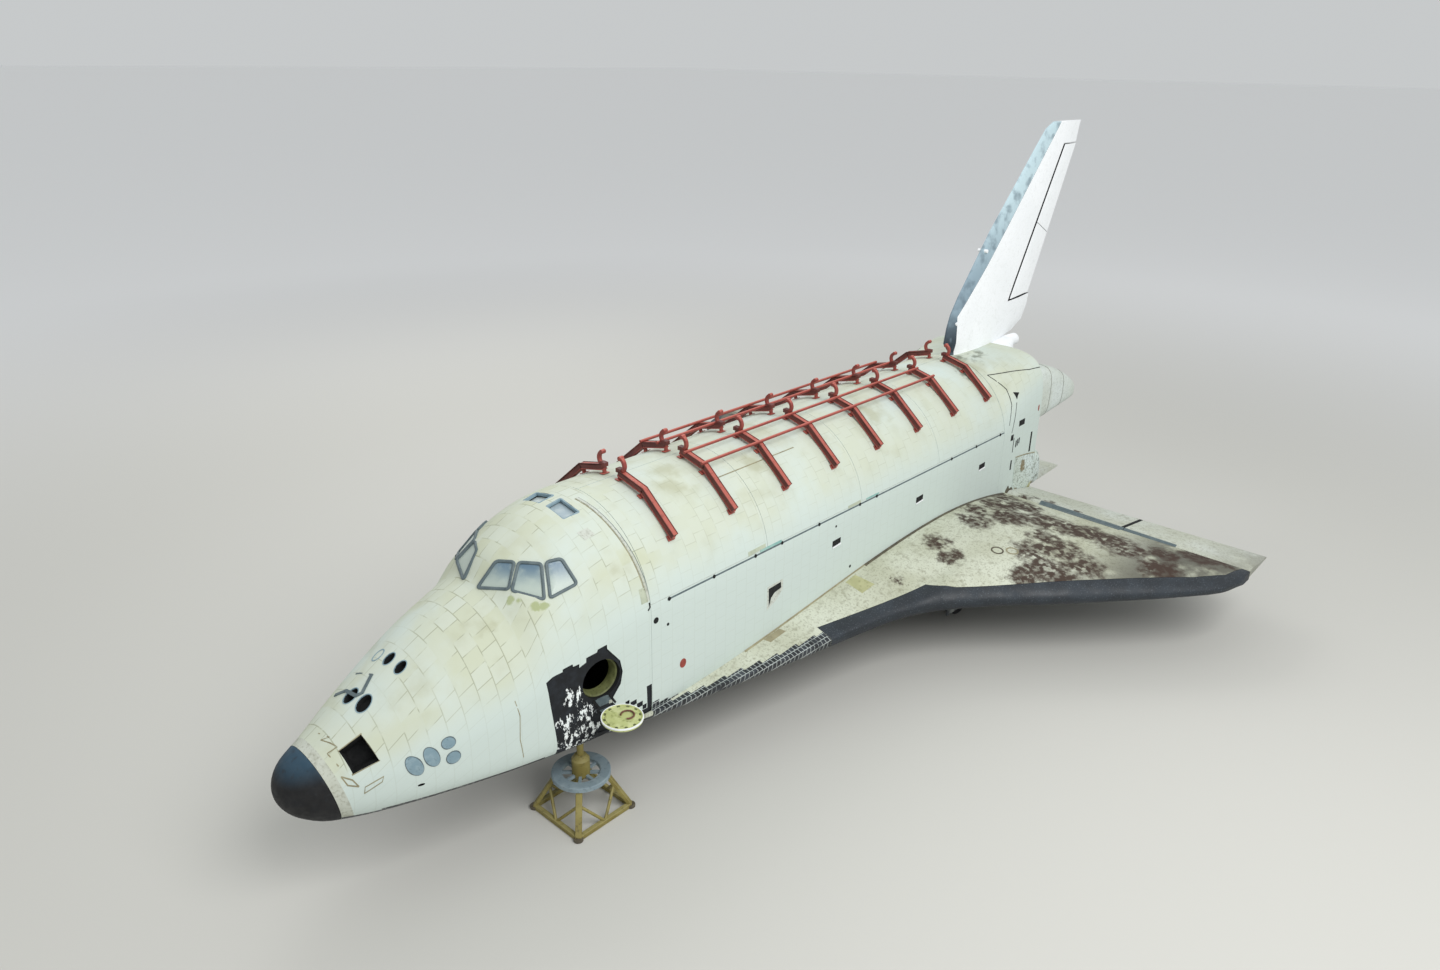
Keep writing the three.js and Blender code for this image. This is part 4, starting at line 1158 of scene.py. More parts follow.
class Palette:
    """Every finish on the shuttle and its stand, each made once."""

    def __init__(self) -> None:
        """Makes all the finishes."""
        smears = (
            (4.9, 1.0, 4.0, 0.5), (8.4, 2.3, 4.6, 0.4), (11.5, 1.0, 5.7, 0.9), (14.6, 1.4, 5.5, 0.8),
            (20.5, 1.2, 5.6, 0.9), (27.3, 1.0, 5.8, 0.9),
        )
        self.hull = SilicaTile.made(
            "white_silica_tile", smears=smears,
            mosses=(
                (5.72, 1.27, 4.37, 0.14), (5.83, 1.42, 4.33, 0.12), (6.08, 1.76, 4.24, 0.12),
                (6.24, 1.84, 4.22, 0.11),
            ),
            grimes=(
                (27.4, 0.5, 5.9, 0.45), (28.1, 0.8, 5.85, 0.5), (28.8, 0.6, 5.9, 0.4), (26.6, 1.3, 5.6, 0.4)
            ),
        )
        spills = (
            (21.3, 3.85, 1.3, 0.45), (21.05, 4.5, 1.2, 0.4), (18.7, 4.2, 1.0, 0.2), (23.8, 3.9, 1.3, 0.6),
            (24.65, 3.4, 1.3, 0.5), (25.2, 4.5, 1.2, 0.8), (26.1, 3.6, 1.1, 0.8), (26.9, 4.2, 1.0, 0.7),
            (27.3, 3.2, 1.0, 0.6), (26.0, 5.5, 1.1, 0.8), (26.1, 6.3, 1.1, 0.8), (26.4, 7.05, 1.0, 0.8),
            (26.3, 7.9, 0.9, 0.8), (26.1, 8.5, 0.9, 0.7), (21.8, 6.9, 1.0, 0.5), (22.6, 7.1, 1.0, 0.7),
            (24.2, 7.0, 1.0, 0.7), (22.7, 7.7, 1.0, 0.7), (23.3, 6.3, 1.1, 0.6), (24.6, 6.1, 1.1, 0.5),
            (23.7, 6.5, 1.0, 0.5),
            (23.8, 8.0, 0.9, 0.6), (25.6, 9.8, 0.8, 0.7), (26.8, 9.5, 0.7, 0.6), (27.8, 10.4, 0.7, 0.7),
            (28.0, 10.9, 0.6, 0.5),
        )
        spills = tuple((station, y, height, radius * 1.25) for station, y, height, radius in spills)
        both = spills + tuple((station, -y, height, radius) for station, y, height, radius in spills)
        self.wing = SheetFelt.made(
            "white_wing_felt", "#cdd1c0", "#b2b49d", "#7f7c66", spills=both, soiled="#605f56",
            soiled_range=(7.0, 9.8),
        )
        self.elevon = SheetFelt.made(
            "white_elevon_felt", "#cdd2ca", "#b9bcab", "#8b8a79", soiled="#7d7c72", soiled_range=(9.5, 13.5),
            spills=(
                (28.3, 3.7, 1.0, 0.5), (28.5, 4.6, 0.9, 0.4), (28.4, 5.6, 0.9, 0.3), (28.3, -4.0, 1.0, 0.6)
            ),
        )
        self.rough = SheetFelt.made(
            "rough_aft_tiles", "#d6e2df", "#bcc6b6", "#6f7668", "#83775a", 0.8, 0.8,
            spills=(
                (29.4, 2.7, 1.5, 0.22), (29.2, -2.7, 1.1, 0.4), (30.6, 2.7, 0.3, 0.3), (28.8, 2.8, 0.3, 0.4)
            ),
        )
        self.fin = SheetFelt.made(
            "white_fin_felt", "#fbfdff", "#eef2f3", "#b9bcb4", dust_strength=0.3, grain_strength=0.12,
        )
        self.pod = SheetFelt.made(
            "white_pod_felt", "#d8e0dc", "#c4cabd", "#8e9488", dust_strength=0.6, grain_strength=0.3,
        )
        self.belly = BlackTile.made("black_belly_tile")
        self.border = BlackTile.made(
            "black_border_tile", joint="#b9c0bd", joint_from=0.28, joint_strength=0.95,
            turned=math.radians(45),
        )
        # The blue-grey on the cap's upper faces is a painted reflection on black carbon.
        self.cap = WornSurface.made(
            "carbon_nose_cap", "#0a0a0c", "#121418", "#1c2024", roughness=0.7,
            top="#2f4f63", top_strength=0.75,
        )
        self.edge = WornSurface.made(
            "carbon_edge_coating", "#20262c", "#2f373f", "#6e7880", 1.2, 0.6, 26.0, 0.4
        )
        self.fin_edge = SlateFelt.made()
        self.felt = BareFelt.made()
        # Near black: painted shade in the cavities, wells, window recesses and the gaps round the rudder and
        # elevons, and the colour of a few dark parts and marks.
        self.dark = WornSurface.made("dark_cavity_paint", "#0f1011", "#17191a", "#222324", roughness=0.85)
        self.glass = DustyGlassPaintedSky.made()
        self.skylight = DustyGlassPaintedSky.made("dusty_overhead_glass", "#a3b6c0", "#d7e1de")
        self.frame = WornSurface.made(
            "slate_frame_paint", "#58666a", "#717e80", "#3b464a", 4.0, 0.5, 12.0, 0.5
        )
        self.primer = WornSurface.made(
            "zinc_chromate_primer", "#5d6139", "#777c4e", "#2f311e", 5.0, 0.6, 14.0, 0.7
        )
        self.hatch = WornSurface.made(
            "pale_hatch_primer", "#bcc383", "#d6dba6", "#8a9152", 4.0, 0.7, 6.0, 0.8
        )
        # The lighter red on the beams' upward faces is a painted highlight.
        self.red = WornSurface.made(
            "red_beam_enamel", "#8a3b34", "#a04e42", "#54231f", 1.5, 0.6, 7.0, 0.45, 0.5,
            top="#c06a5c", top_strength=0.85,
        )
        # Dark red-brown for the beams' webs, lips and gussets: painted shade on the red paint.
        self.brown = WornSurface.made("brown_beam_edge", "#5e2a25", "#7b3b33", "#3a1d1a", 2.0, 0.6, 9.0, 0.5)
        self.metal = WornSurface.made(
            "gear_steel", "#8b9096", "#a5a9ad", "#4b4c4c", 6.0, 0.5, 12.0, 0.5, 0.38, 0.85
        )
        self.rubber = WornSurface.made(
            "tyre_rubber", "#1b1b1c", "#2a2a29", "#45433d", 3.0, 0.6, 9.0, 0.4, 0.85
        )
        # The stand's paler upward faces are a painted highlight.
        self.yellow = WornSurface.made(
            "yellow_stand_enamel", "#80743a", "#9a9056", "#453a20", 2.5, 0.6, 9.0, 0.6, 0.6,
            top="#a29a68", top_strength=0.6,
        )
        self.deck = WornSurface.made(
            "grey_deck_paint", "#7f9098", "#98a7ab", "#4d585c", 3.0, 0.6, 9.0, 0.5, 0.6
        )
        self.cover = WornSurface.made(
            "grey_port_cover", "#7f98a3", "#95aab2", "#5d737d", 6.0, 0.6, 14.0, 0.6, 0.6
        )
        self.liner = WornSurface.made(
            "quilted_bay_liner", "#c9cabd", "#aeb0a0", "#85857a", 1.0, 0.6, 5.0, 0.4, 0.8
        )
        self.handle = WornSurface.made("brown_handle_enamel", "#6b4133", "#845644", "#35231b", roughness=0.5)
        self.rust = WornSurface.made(
            "brown_weather_line", "#8f886c", "#a8a284", "#6c5f4b", 2.0, 0.7, 8.0, 0.5
        )
        self.sage = WornSurface.made("sage_patch_paint", "#b3bba6", "#c4cab4", "#8f977f", 3.0, 0.6, 9.0, 0.4)
        self.olive = WornSurface.made(
            "olive_patch_paint", "#a9a97e", "#bcbc92", "#83835a", 3.0, 0.6, 9.0, 0.5
        )
        self.soot = WornSurface.made("dark_joint_dirt", "#514a3c", "#6c6550", "#2e2a24", 3.0, 0.7, 9.0, 0.6)
        self.teal = WornSurface.made("teal_line_paint", "#86b3ac", "#a9c9c0", "#5f8a84", 3.0, 0.6, 9.0, 0.4)
        self.signal = WornSurface.made(
            "red_spot_paint", "#8f3a30", "#a64d40", "#6a2a23", 5.0, 0.6, 12.0, 0.5
        )


# Shapes drawn flat on the hull's chart and bent onto it


def bent(item: Mesh) -> Mesh:
    """Bends a shape onto the hull from flat, where x is arc, y is station and z is height over the skin.

    Args:
        item: The flat shape.

    Returns:
        The same object.
    """
    mesh = item.data
    layer = mesh.uv_layers.get("chart") or mesh.uv_layers.new(name="chart")
    for loop in mesh.loops:
        flat = mesh.vertices[loop.vertex_index].co
        layer.uv[loop.index].vector = (flat.x, flat.y)
    for vertex in mesh.vertices:
        vertex.co = Vector(HULL.place(vertex.co.x, vertex.co.y, vertex.co.z))
    mesh.update()
    return item


def on_chart(points: Sequence[tuple[float, float, float]]) -> Profile:
    """Measured points of the hull as places on its chart."""
    return [(HULL.arc_of(station, y, height), station) for station, y, height in points]


def on_wall(points: Outline, side: Side = Side.PORT) -> Profile:
    """Measured points of a side wall as places on the chart."""
    return [(HULL.arc_of(station, side.value * WALL_Y, height), station) for station, height in points]


def plug(name: str, finish: Finish, outline: Outline, low: float, high: float, step: float = 0.3) -> Mesh:
    """A flat outline on the chart, made thick and bent onto the hull.

    Args:
        name: The new object's name.
        finish: Its material.
        outline: Rows of arc and station.
        low: Its lower face's height over the skin.
        high: Its upper face's height over the skin.
        step: The widest strip that it keeps flat.

    Returns:
        The new object.
    """
    item = start("circle", name, finish, vertices=len(outline), fill_type="NGON")
    for vertex, (arc, station) in zip(item.data.vertices, outline):
        vertex.co = (arc, station, low)
    with editing(item):
        for axis in (0, 1):
            first, last = min(row[axis] for row in outline), max(row[axis] for row in outline)
            cuts = int((last - first) / step)
            for cut in range(1, cuts + 1):
                place = first + (last - first) * cut / (cuts + 1)
                select_all()
                bpy.ops.mesh.bisect(
                    plane_co=(place, 0, 0) if axis == 0 else (0, place, 0),
                    plane_no=(1, 0, 0) if axis == 0 else (0, 1, 0),
                )
        sweep_all((0, 0, high - low))
    return bent(item)


def oval(arc: float, station: float, across: float, along: float, sides: int = 28) -> Profile:
    """An oval outline on the chart."""
    turns = [2 * math.pi * step / sides for step in range(sides)]
    return [(arc + across * math.cos(turn), station + along * math.sin(turn)) for turn in turns]


def hoop(name: str, finish: Finish, outline: Outline, width: float, low: float, high: float) -> Mesh:
    """A band round an outline on the chart, bent onto the hull.

    Args:
        name: The new object's name.
        finish: Its material.
        outline: Rows of arc and station, going round.
        width: How far it reaches outside the outline.
        low: Its lower face's height over the skin.
        high: Its upper face's height over the skin.

    Returns:
        The new object.
    """
    ring = np.array(outline)
    middle = ring.mean(axis=0)
    away = ring - middle
    away = away / np.linalg.norm(away, axis=1, keepdims=True) * width
    section = [(0.0, low), (0.0, high), (1.0, high), (1.0, low), (0.0, low)]
    rows = []
    for reach, height in section:
        row = [(*place, height) for place in ring + away * reach]
        rows.append([*row, row[0]])
    return bent(wrapped(name, np.array(rows), finish, ends=False))


def ribbon(name: str, finish: Finish, path: Outline, width: float, low: float, high: float) -> Mesh:
    """A strip along a path on the chart, bent onto the hull.

    Args:
        name: The new object's name.
        finish: Its material.
        path: Rows of arc and station.
        width: Its width.
        low: Its lower face's height over the skin.
        high: Its upper face's height over the skin.

    Returns:
        The new object.
    """
    line = np.array(path, float)
    length = np.concatenate([[0.0], np.cumsum(np.linalg.norm(np.diff(line, axis=0), axis=1))])
    count = max(2, int(length[-1] / 0.3) + 1)
    marks = np.unique(np.concatenate([length, np.linspace(0, length[-1], count)]))
    points = np.stack([np.interp(marks, length, line[:, k]) for k in (0, 1)], axis=1)
    ahead = np.gradient(points, axis=0)
    ahead = ahead / np.linalg.norm(ahead, axis=1, keepdims=True)
    side = np.stack([-ahead[:, 1], ahead[:, 0]], axis=1) * width / 2
    rows = []
    for place, half in zip(points, side):
        left, right = place - half, place + half
        rows.append([(*left, low), (*left, high), (*right, high), (*right, low), (*left, low)])
    return bent(wrapped(name, np.array(rows), finish))


def stretch(first: float, last: float, step: float) -> list[float]:
    """Stations spaced evenly between two."""
    return list(np.linspace(first, last, max(2, int(math.ceil((last - first) / step)) + 1)))


def half_round(centre: tuple[float, float], radius: float) -> Profile:
    """The round front of a surface at its hinge, going from its top over the front to its underside."""
    turns = [math.pi / 2 + math.pi * step / 16 for step in range(17)]
    return [(centre[0] + radius * math.cos(turn), centre[1] + radius * math.sin(turn)) for turn in turns]


def prism(name: str, finish: Finish, outline: Sequence[Vector], sweep: Vector) -> Mesh:
    """A flat outline swept straight into a body.

    Args:
        name: The new object's name.
        finish: Its material.
        outline: The outline's points, all in one plane.
        sweep: How far and which way it is swept.

    Returns:
        The new object.
    """
    item = start("circle", name, finish, vertices=len(outline), fill_type="NGON")
    for vertex, point in zip(item.data.vertices, outline):
        vertex.co = point
    with editing(item):
        sweep_all(sweep)
    return item


def hull_plug(
    name: str, finish: Finish, stations: Sequence[float], inset: float = 0.0, sole: float = 0.0,
    columns: int = 48,
) -> Mesh:
    """A solid stretch of the hull."""
    points, chart = HULL.skin(stations, columns, inset, sole)
    return wrapped(name, points, finish, chart)


def faces_down(_: Vector, normal: Vector) -> bool:
    """Whether a face belongs to the tiled belly."""
    return normal.z < BELLY_TURN


def underside(_: Vector, normal: Vector) -> bool:
    """Whether a wing, elevon or flap face is on the tiled underside."""
    return normal.z < UNDERSIDE_TURN


@dataclass
class Pane:
    """One window pane from its four corners, with a rounded frame let into the skin."""

    corners: tuple[Vector, Vector, Vector, Vector]
    rounding: float = 0.11
    frame_width: float = 0.075
    frame_proud: float = 0.03
    sunk: float = 0.015
    bow: float = 0.02
    steps: int = 6

    def outline(self) -> list[Vector]:
        """The pane's edge with its corners rounded.

        Returns:
            The points, going round.
        """
        points = []
        count = len(self.corners)
        for index, corner in enumerate(self.corners):
            before = (self.corners[index - 1] - corner).normalized() * self.rounding
            after = (self.corners[(index + 1) % count] - corner).normalized() * self.rounding
            for step in range(self.steps + 1):
                t = step / self.steps
                points.append(corner + before * (1 - t) ** 2 + after * t**2)
        return points

    def middle(self) -> Vector:
        """The pane's middle."""
        return sum(self.corners, Vector()) / len(self.corners)

    def outward(self) -> Vector:
        """The way out of the pane, turned up."""
        first, second, third, last = self.corners
        way = (third - first).cross(last - second).normalized()
        return way if way.z > 0 else -way

    def ring(self, inward: float, out: float) -> list[Vector]:
        """The pane's edge moved in towards its middle and out of its plane.

        Args:
            inward: How far in.
            out: How far out.

        Returns:
            The points, the first repeated at the end.
        """
        points = self.outline()
        middle, normal = self.middle(), self.outward()
        moved = []
        for index, point in enumerate(points):
            along = points[(index + 1) % len(points)] - points[index - 1]
            side = normal.cross(along).normalized()
            if side.dot(middle - point) < 0:
                side = -side
            moved.append(point + side * inward + normal * out)
        return [*moved, moved[0]]

    def cutter(self, finish: Finish, depth: float = 0.45) -> Mesh:
        """The body that opens the skin for the pane."""
        rows = [self.ring(0.0, 0.25), self.ring(0.0, -depth)]
        return wrapped("pane_cutter", np.array([[tuple(p) for p in row] for row in rows]), finish)

    def frame(self, finish: Finish) -> Mesh:
        """The frame round the pane.

        Args:
            finish: Its material.

        Returns:
            The frame.
        """
        width, proud = self.frame_width, self.frame_proud
        section = [
            (-0.3 * width, -0.05), (-0.3 * width, 0.6 * proud), (-0.1 * width, proud), (0.55 * width, proud),
            (0.75 * width, 0.5 * proud), (0.75 * width, -0.05), (-0.3 * width, -0.05),
        ]
        rows = [[tuple(point) for point in self.ring(inward, out)] for inward, out in section]
        return shade(wrapped("pane_frame", np.array(rows), finish, ends=False), 50)

    def glass(self, finish: Finish) -> Mesh:
        """The glass, a little bowed.

        Args:
            finish: Its material.

        Returns:
            The glass.
        """
        edge = self.ring(0.3 * self.frame_width, -self.sunk)
        middle, normal = self.middle(), self.outward()
        rows = []
        for share in (1.0, 0.85, 0.65, 0.4, 0.0):
            centre = middle - normal * self.sunk
            rows.append(
                [tuple(centre + (p - centre) * share + normal * self.bow * (1 - share**2)) for p in edge]
            )
        pane = wrapped("pane_glass", np.array(rows), finish, ends=False)
        finish_with(pane, "SOLIDIFY", thickness=0.03, offset=-1.0)
        return shade(pane)


@dataclass
class NoseAndCabin:
    """Nose cap, cabin shell with its windows and hatch, and all that is let into the skin."""

    paint: Palette
    rear: float = 8.892
    cap_station: float = 0.9
    cap_height: float = 1.13
    cap_tilt: float = 0.2
    cap_gap: float = 0.008
    collar_width: float = 0.22
    cabin: tuple[float, float] = (4.7, 8.6)
    cabin_wall: float = 0.18
    cabin_sole: float = 0.42
    felt_depth: float = 0.03
    hatch_place: tuple[float, float, float] = (7.31, 2.65, 1.95)
    hatch_taper: float = 0.138
    hatch_opening: float = 0.56
    hatch_out: float = 0.07
    hatch_reach: float = 0.8
    hatch_rise: float = 0.125
    hatch_arms: tuple[float, float] = (-0.23, 0.23)
    hatch_latches: int = 12
    latch_circle: float = 0.46
    handle_circle: float = 0.17

    def cap_plane(self, shift: float) -> tuple[Vector, Vector]:
        """The plane between the cap and the shell."""
        normal = Vector((math.cos(self.cap_tilt), 0, -math.sin(self.cap_tilt)))
        return at(self.cap_station, 0, self.cap_height) + normal * shift, normal

    def at_hatch(self) -> Matrix:
        """Where the hatch is, its outward way along +Y."""
        return Matrix.Translation(at(*self.hatch_place)) @ Matrix.Rotation(-self.hatch_taper, 4, "Z")

    def windshield(self) -> list[Pane]:
        """The three port panes of the windshield.

        Returns:
            The panes from the middle outwards.
        """
        corners = (
            ((5.97, 0.39, 5.01), (6.22, 0.84, 5.05), (5.79, 1.12, 4.53), (5.42, 0.28, 4.40)),
            ((6.26, 0.90, 5.05), (6.64, 1.35, 5.03), (6.31, 1.83, 4.31), (5.80, 1.17, 4.51)),
            ((6.72, 1.37, 5.05), (7.09, 1.54, 5.08), (7.16, 2.05, 4.52), (6.41, 1.88, 4.33)),
        )
        return [Pane(tuple(at(*corner) for corner in row)) for row in corners]

    def overhead(self) -> Pane:
        """The port overhead pane."""
        corners = ((7.75, 0.13, 5.787), (7.75, 0.84, 5.632), (8.25, 0.88, 5.71), (8.25, 0.13, 5.865))
        return Pane(
            tuple(at(*corner) for corner in corners), rounding=0.06, sunk=0.09, bow=0.0, frame_width=0.06
        )

    def build(self) -> None:
        """Makes the cap, the shell and all that it carries."""
        rings = [0.0, 0.015, 0.04, 0.08, 0.14, 0.22, 0.32, 0.44, 0.58, 0.74, 0.92]
        rings += stretch(1.1, 5.2, 0.25) + stretch(5.3, 7.4, 0.1) + stretch(7.55, self.rear, 0.22)
        whole = hull_plug("cabin_shell", self.paint.hull, rings)
        cap = copied(whole, "carbon_cap")
        cap.data.materials[0] = self.paint.cap
        bisected(cap, *self.cap_plane(self.cap_gap), keep_front=True)
        hand_over(soften(cap, 0.012), "root", "black_tile", "nose_cap")
        shell = bisected(whole, *self.cap_plane(0.0), keep_front=False)
        self.coat_collar(shell)
        coat_where(shell, self.paint.belly, faces_down)
        # The cavity's near-black walls are painted shade inside the cabin, seen through the windows.
        cavity = hull_plug(
            "cabin_cavity", self.paint.dark, stretch(*self.cabin, 0.2), self.cabin_wall, self.cabin_sole, 24,
        )
        carve(shell, cavity)
        for side in Side:
            self.fit_windows(shell, side)
        self.open_nose_well(shell)
        self.open_hatch(shell)
        self.bare_felt(shell)
        self.open_ports(shell)
        hand_over(shade(shell), "root", "white_tile", "forward_fuselage")
        self.fit_covers()
        self.fit_patches()
        self.hang_hatch()

    def coat_collar(self, shell: Mesh) -> None:
        """Gives the ring of tiles behind the cap its cleaner white.

        Args:
            shell: The cabin shell.
        """
        place, normal = self.cap_plane(-self.collar_width)
        with editing(shell):
            select_all()
            bpy.ops.mesh.bisect(plane_co=place, plane_no=normal)
        coat_where(shell, self.paint.elevon, lambda centre, _: (centre - place).dot(normal) > 0)

    def fit_windows(self, shell: Mesh, side: Side) -> None:
        """Opens the skin for one side's panes and fills them.

        Args:
            shell: The cabin shell.
            side: Which side.
        """
        rows = {"windshield": self.windshield(), "overhead_window": [self.overhead()]}
        for node, panes in rows.items():
            parts = []
            for pane in panes:
                if side is Side.STARBOARD:
                    pane.corners = tuple(MIRROR @ corner for corner in pane.corners)
                # The recess walls round each pane keep the cutter's near black, as painted shade.
                carve(shell, pane.cutter(self.paint.dark))
                flat = node == "overhead_window"
                glass = self.paint.skylight if flat else self.paint.glass
                parts += [pane.glass(glass), pane.frame(self.paint.cover if flat else self.paint.frame)]
            whole = joined(f"{side.label}_{node}_panes", parts)
            hand_over(whole, "root", "window_glass", f"{side.label}_{node}")

    def open_nose_well(self, shell: Mesh) -> None:
        """Sinks the square opening beside the nose.

        Args:
            shell: The cabin shell.
        """
        corners = [(1.77, 0.83, 2.32), (1.89, 1.29, 1.79), (1.34, 1.08, 1.61), (1.27, 0.70, 2.07)]
        outline = on_chart(corners)
        # The well's walls keep the cutter's near black, painted shade in the opening.
        carve(shell, plug("nose_well", self.paint.dark, outline, -0.5, 0.1))
        parts = [hoop("nose_well_lip", self.paint.rust, outline, 0.025, -0.02, 0.006)]
        blocks = (
            (
                (1.12, 0.22, 2.22), (1.22, 0.46, 2.21), (1.29, 0.64, 2.16), (1.07, 0.56, 2.05),
                (1.15, 0.87, 1.82),
            ),
            (
                (1.12, 0.98, 1.61), (1.19, 1.09, 1.39), (1.39, 1.20, 1.30), (1.3, 1.15, 1.5),
                (1.12, 0.98, 1.61),
            ),
            (
                (1.47, 1.24, 1.09), (1.84, 1.40, 1.28), (1.89, 1.40, 1.41), (1.5, 1.25, 1.25),
                (1.47, 1.24, 1.09),
            ),
            ((1.17, 0.02, 2.28), (1.27, 0.35, 2.29), (1.12, 0.22, 2.22)),
        )
        for block in blocks:
            parts.append(ribbon("well_relief", self.paint.rust, on_chart(block), 0.022, -0.01, 0.008))
        hand_over(joined("nose_well_trim", parts), "root", "dark_interior")

    def open_hatch(self, shell: Mesh) -> None:
        """Opens the round hatch in the side.

        Args:
            shell: The cabin shell.
        """
        place = self.at_hatch()
        ends = (place @ Vector((0, -0.7, 0)), place @ Vector((0, 0.7, 0)))
        carve(shell, tube("hatch_cutter", self.paint.dark, ends, self.hatch_opening, 64))

    def bare_felt(self, shell: Mesh) -> None:
        """Sinks the black area round the hatch, where the tiles are gone.

        Args:
            shell: The cabin shell.
        """
        lost = (
            (5.99, 0.07), (5.92, 1.01), (5.83, 1.82), (5.77, 2.59), (5.94, 2.67), (6.22, 2.70), (6.23, 2.77),
            (6.50, 2.81), (6.51, 2.72), (6.68, 2.72), (6.67, 2.61), (6.87, 2.67), (6.88, 2.81), (7.19, 2.83),
            (7.22, 2.92), (7.49, 2.95), (7.49, 2.80), (7.62, 2.62), (7.86, 2.3), (7.93, 1.95), (7.86, 1.6),
            (7.62, 1.3), (7.6, 1.05), (7.6, 0.07),
        )
        squares = (
            ((8.15, 0.89), (8.35, 0.91), (8.36, 0.76), (8.17, 0.74)),
            ((8.36, 0.74), (8.56, 0.76), (8.56, 0.6), (8.37, 0.58)),
            ((7.99, 0.98), (8.12, 0.99), (8.12, 0.88), (8.0, 0.87)),
            ((8.55, 0.6), (8.69, 0.62), (8.69, 0.44), (8.56, 0.44)),
            ((8.70, 1.14), (8.88, 1.15), (8.885, 0.07), (8.5, 0.07), (8.5, 0.42), (8.72, 0.42)),
        )
        for rows in (lost, *squares):
            carve(shell, plug("felt_cutter", self.paint.felt, on_wall(rows), -self.felt_depth, 0.1))
        for first, last in ((5.98, 7.6), (8.5, 8.9)):

            def at_foot(centre: Vector, _: Vector) -> bool:
                """Whether a face is at the port wall's foot, under the felt."""
                low = centre.y > 1 and centre.z < BELLY + 0.45
                return low and first < NOSE_X - centre.x < last

            coat_where(shell, self.paint.felt, at_foot)

    def open_ports(self, shell: Mesh) -> None:
        """Opens the thruster ports on top of the nose and the slot in its side.

        Args:
            shell: The cabin shell.
        """
        ports = (
            (3.06, 0.06, 3.37, 0.115, 0.15), (3.09, 0.48, 3.31, 0.115, 0.15),
            (2.06, -0.03, 2.80, 0.15, 0.18),
            (2.13, 0.42, 2.77, 0.16, 0.19),
        )
        rims = []
        for station, y, height, across, along in ports:
            outline = oval(HULL.arc_of(station, y, height), station, across, along)
            # Each port's walls keep the cutter's near black, painted shade in the hole.
            carve(shell, plug("port_cutter", self.paint.dark, outline, -0.2, 0.1))
            rims.append(hoop("port_rim", self.paint.cover, outline, 0.02, -0.02, 0.008))
        blanked = oval(HULL.arc_of(3.01, -0.36, 3.31), 3.01, 0.11, 0.14)
        rims.append(hoop("blank_port_rim", self.paint.cover, blanked, 0.025, -0.02, 0.01))
        slot = self.side_oval(2.62, 0.9, 0.035, 0.08, 0)
        # The slot's walls keep the cutter's near black, painted shade.
        carve(shell, plug("slot_cutter", self.paint.dark, slot, -0.1, 0.1))
        hand_over(joined("port_rims", rims), "root", "white_tile")

    def side_oval(self, station: float, height: float, tall: float, long: float, lean: float) -> Profile:
        """An oval on the nose's port side, as it is seen straight from the side.

        Args:
            station: Its middle's station.
            height: Its middle's height.
            tall: Half of its height.
            long: Half of its length.
            lean: How far its top leans forward, in degrees.

        Returns:
            Rows of arc and station.
        """
        outline = []
        for step in range(28):
            turn, tilt = 2 * math.pi * step / 28, math.radians(lean)
            up, aft = tall * math.cos(turn), long * math.sin(turn)
            where = station + aft * math.cos(tilt) - up * math.sin(tilt)
            outline.append((HULL.arc_at(where, height + up * math.cos(tilt) + aft * math.sin(tilt)), where))
        return outline

    def fit_covers(self) -> None:
        """Lays the oval covers on the side of the nose and the straps over its top ports."""
        ovals = (
            (2.53, 1.46, 0.27, 0.155, 22), (2.91, 1.57, 0.26, 0.15, 17), (3.31, 1.80, 0.135, 0.15, 0),
            (3.37, 1.39, 0.155, 0.155, 0),
        )
        parts = []
        for station, height, tall, long, lean in ovals:
            outline = self.side_oval(station, height, tall, long, lean)
            parts.append(plug("port_cover", self.paint.cover, outline, -0.02, 0.015, 0.12))
            parts.append(hoop("cover_rim", self.paint.frame, outline, 0.018, -0.02, 0.008))
        hand_over(joined("port_side_covers", parts), "root", "white_tile")
        straps = []
        lines = (
            ((2.12, 0.11, 2.83), (2.24, 0.20, 2.90), (2.62, 0.01, 3.13)),
            ((2.12, 0.11, 2.83), (2.09, -0.30, 2.79), (1.94, -0.56, 2.61)),
        )
        for line in lines:
            straps.append(ribbon("port_strap", self.paint.frame, on_chart(line), 0.075, 0.0, 0.03))
        outline = ((2.62, 0.01, 3.13), (2.52, -0.4, 3.0), (2.49, -0.53, 2.97))
        straps.append(ribbon("port_seam", self.paint.frame, on_chart(outline), 0.03, -0.01, 0.01))
        hand_over(joined("port_straps", straps), "root", "gear_metal")

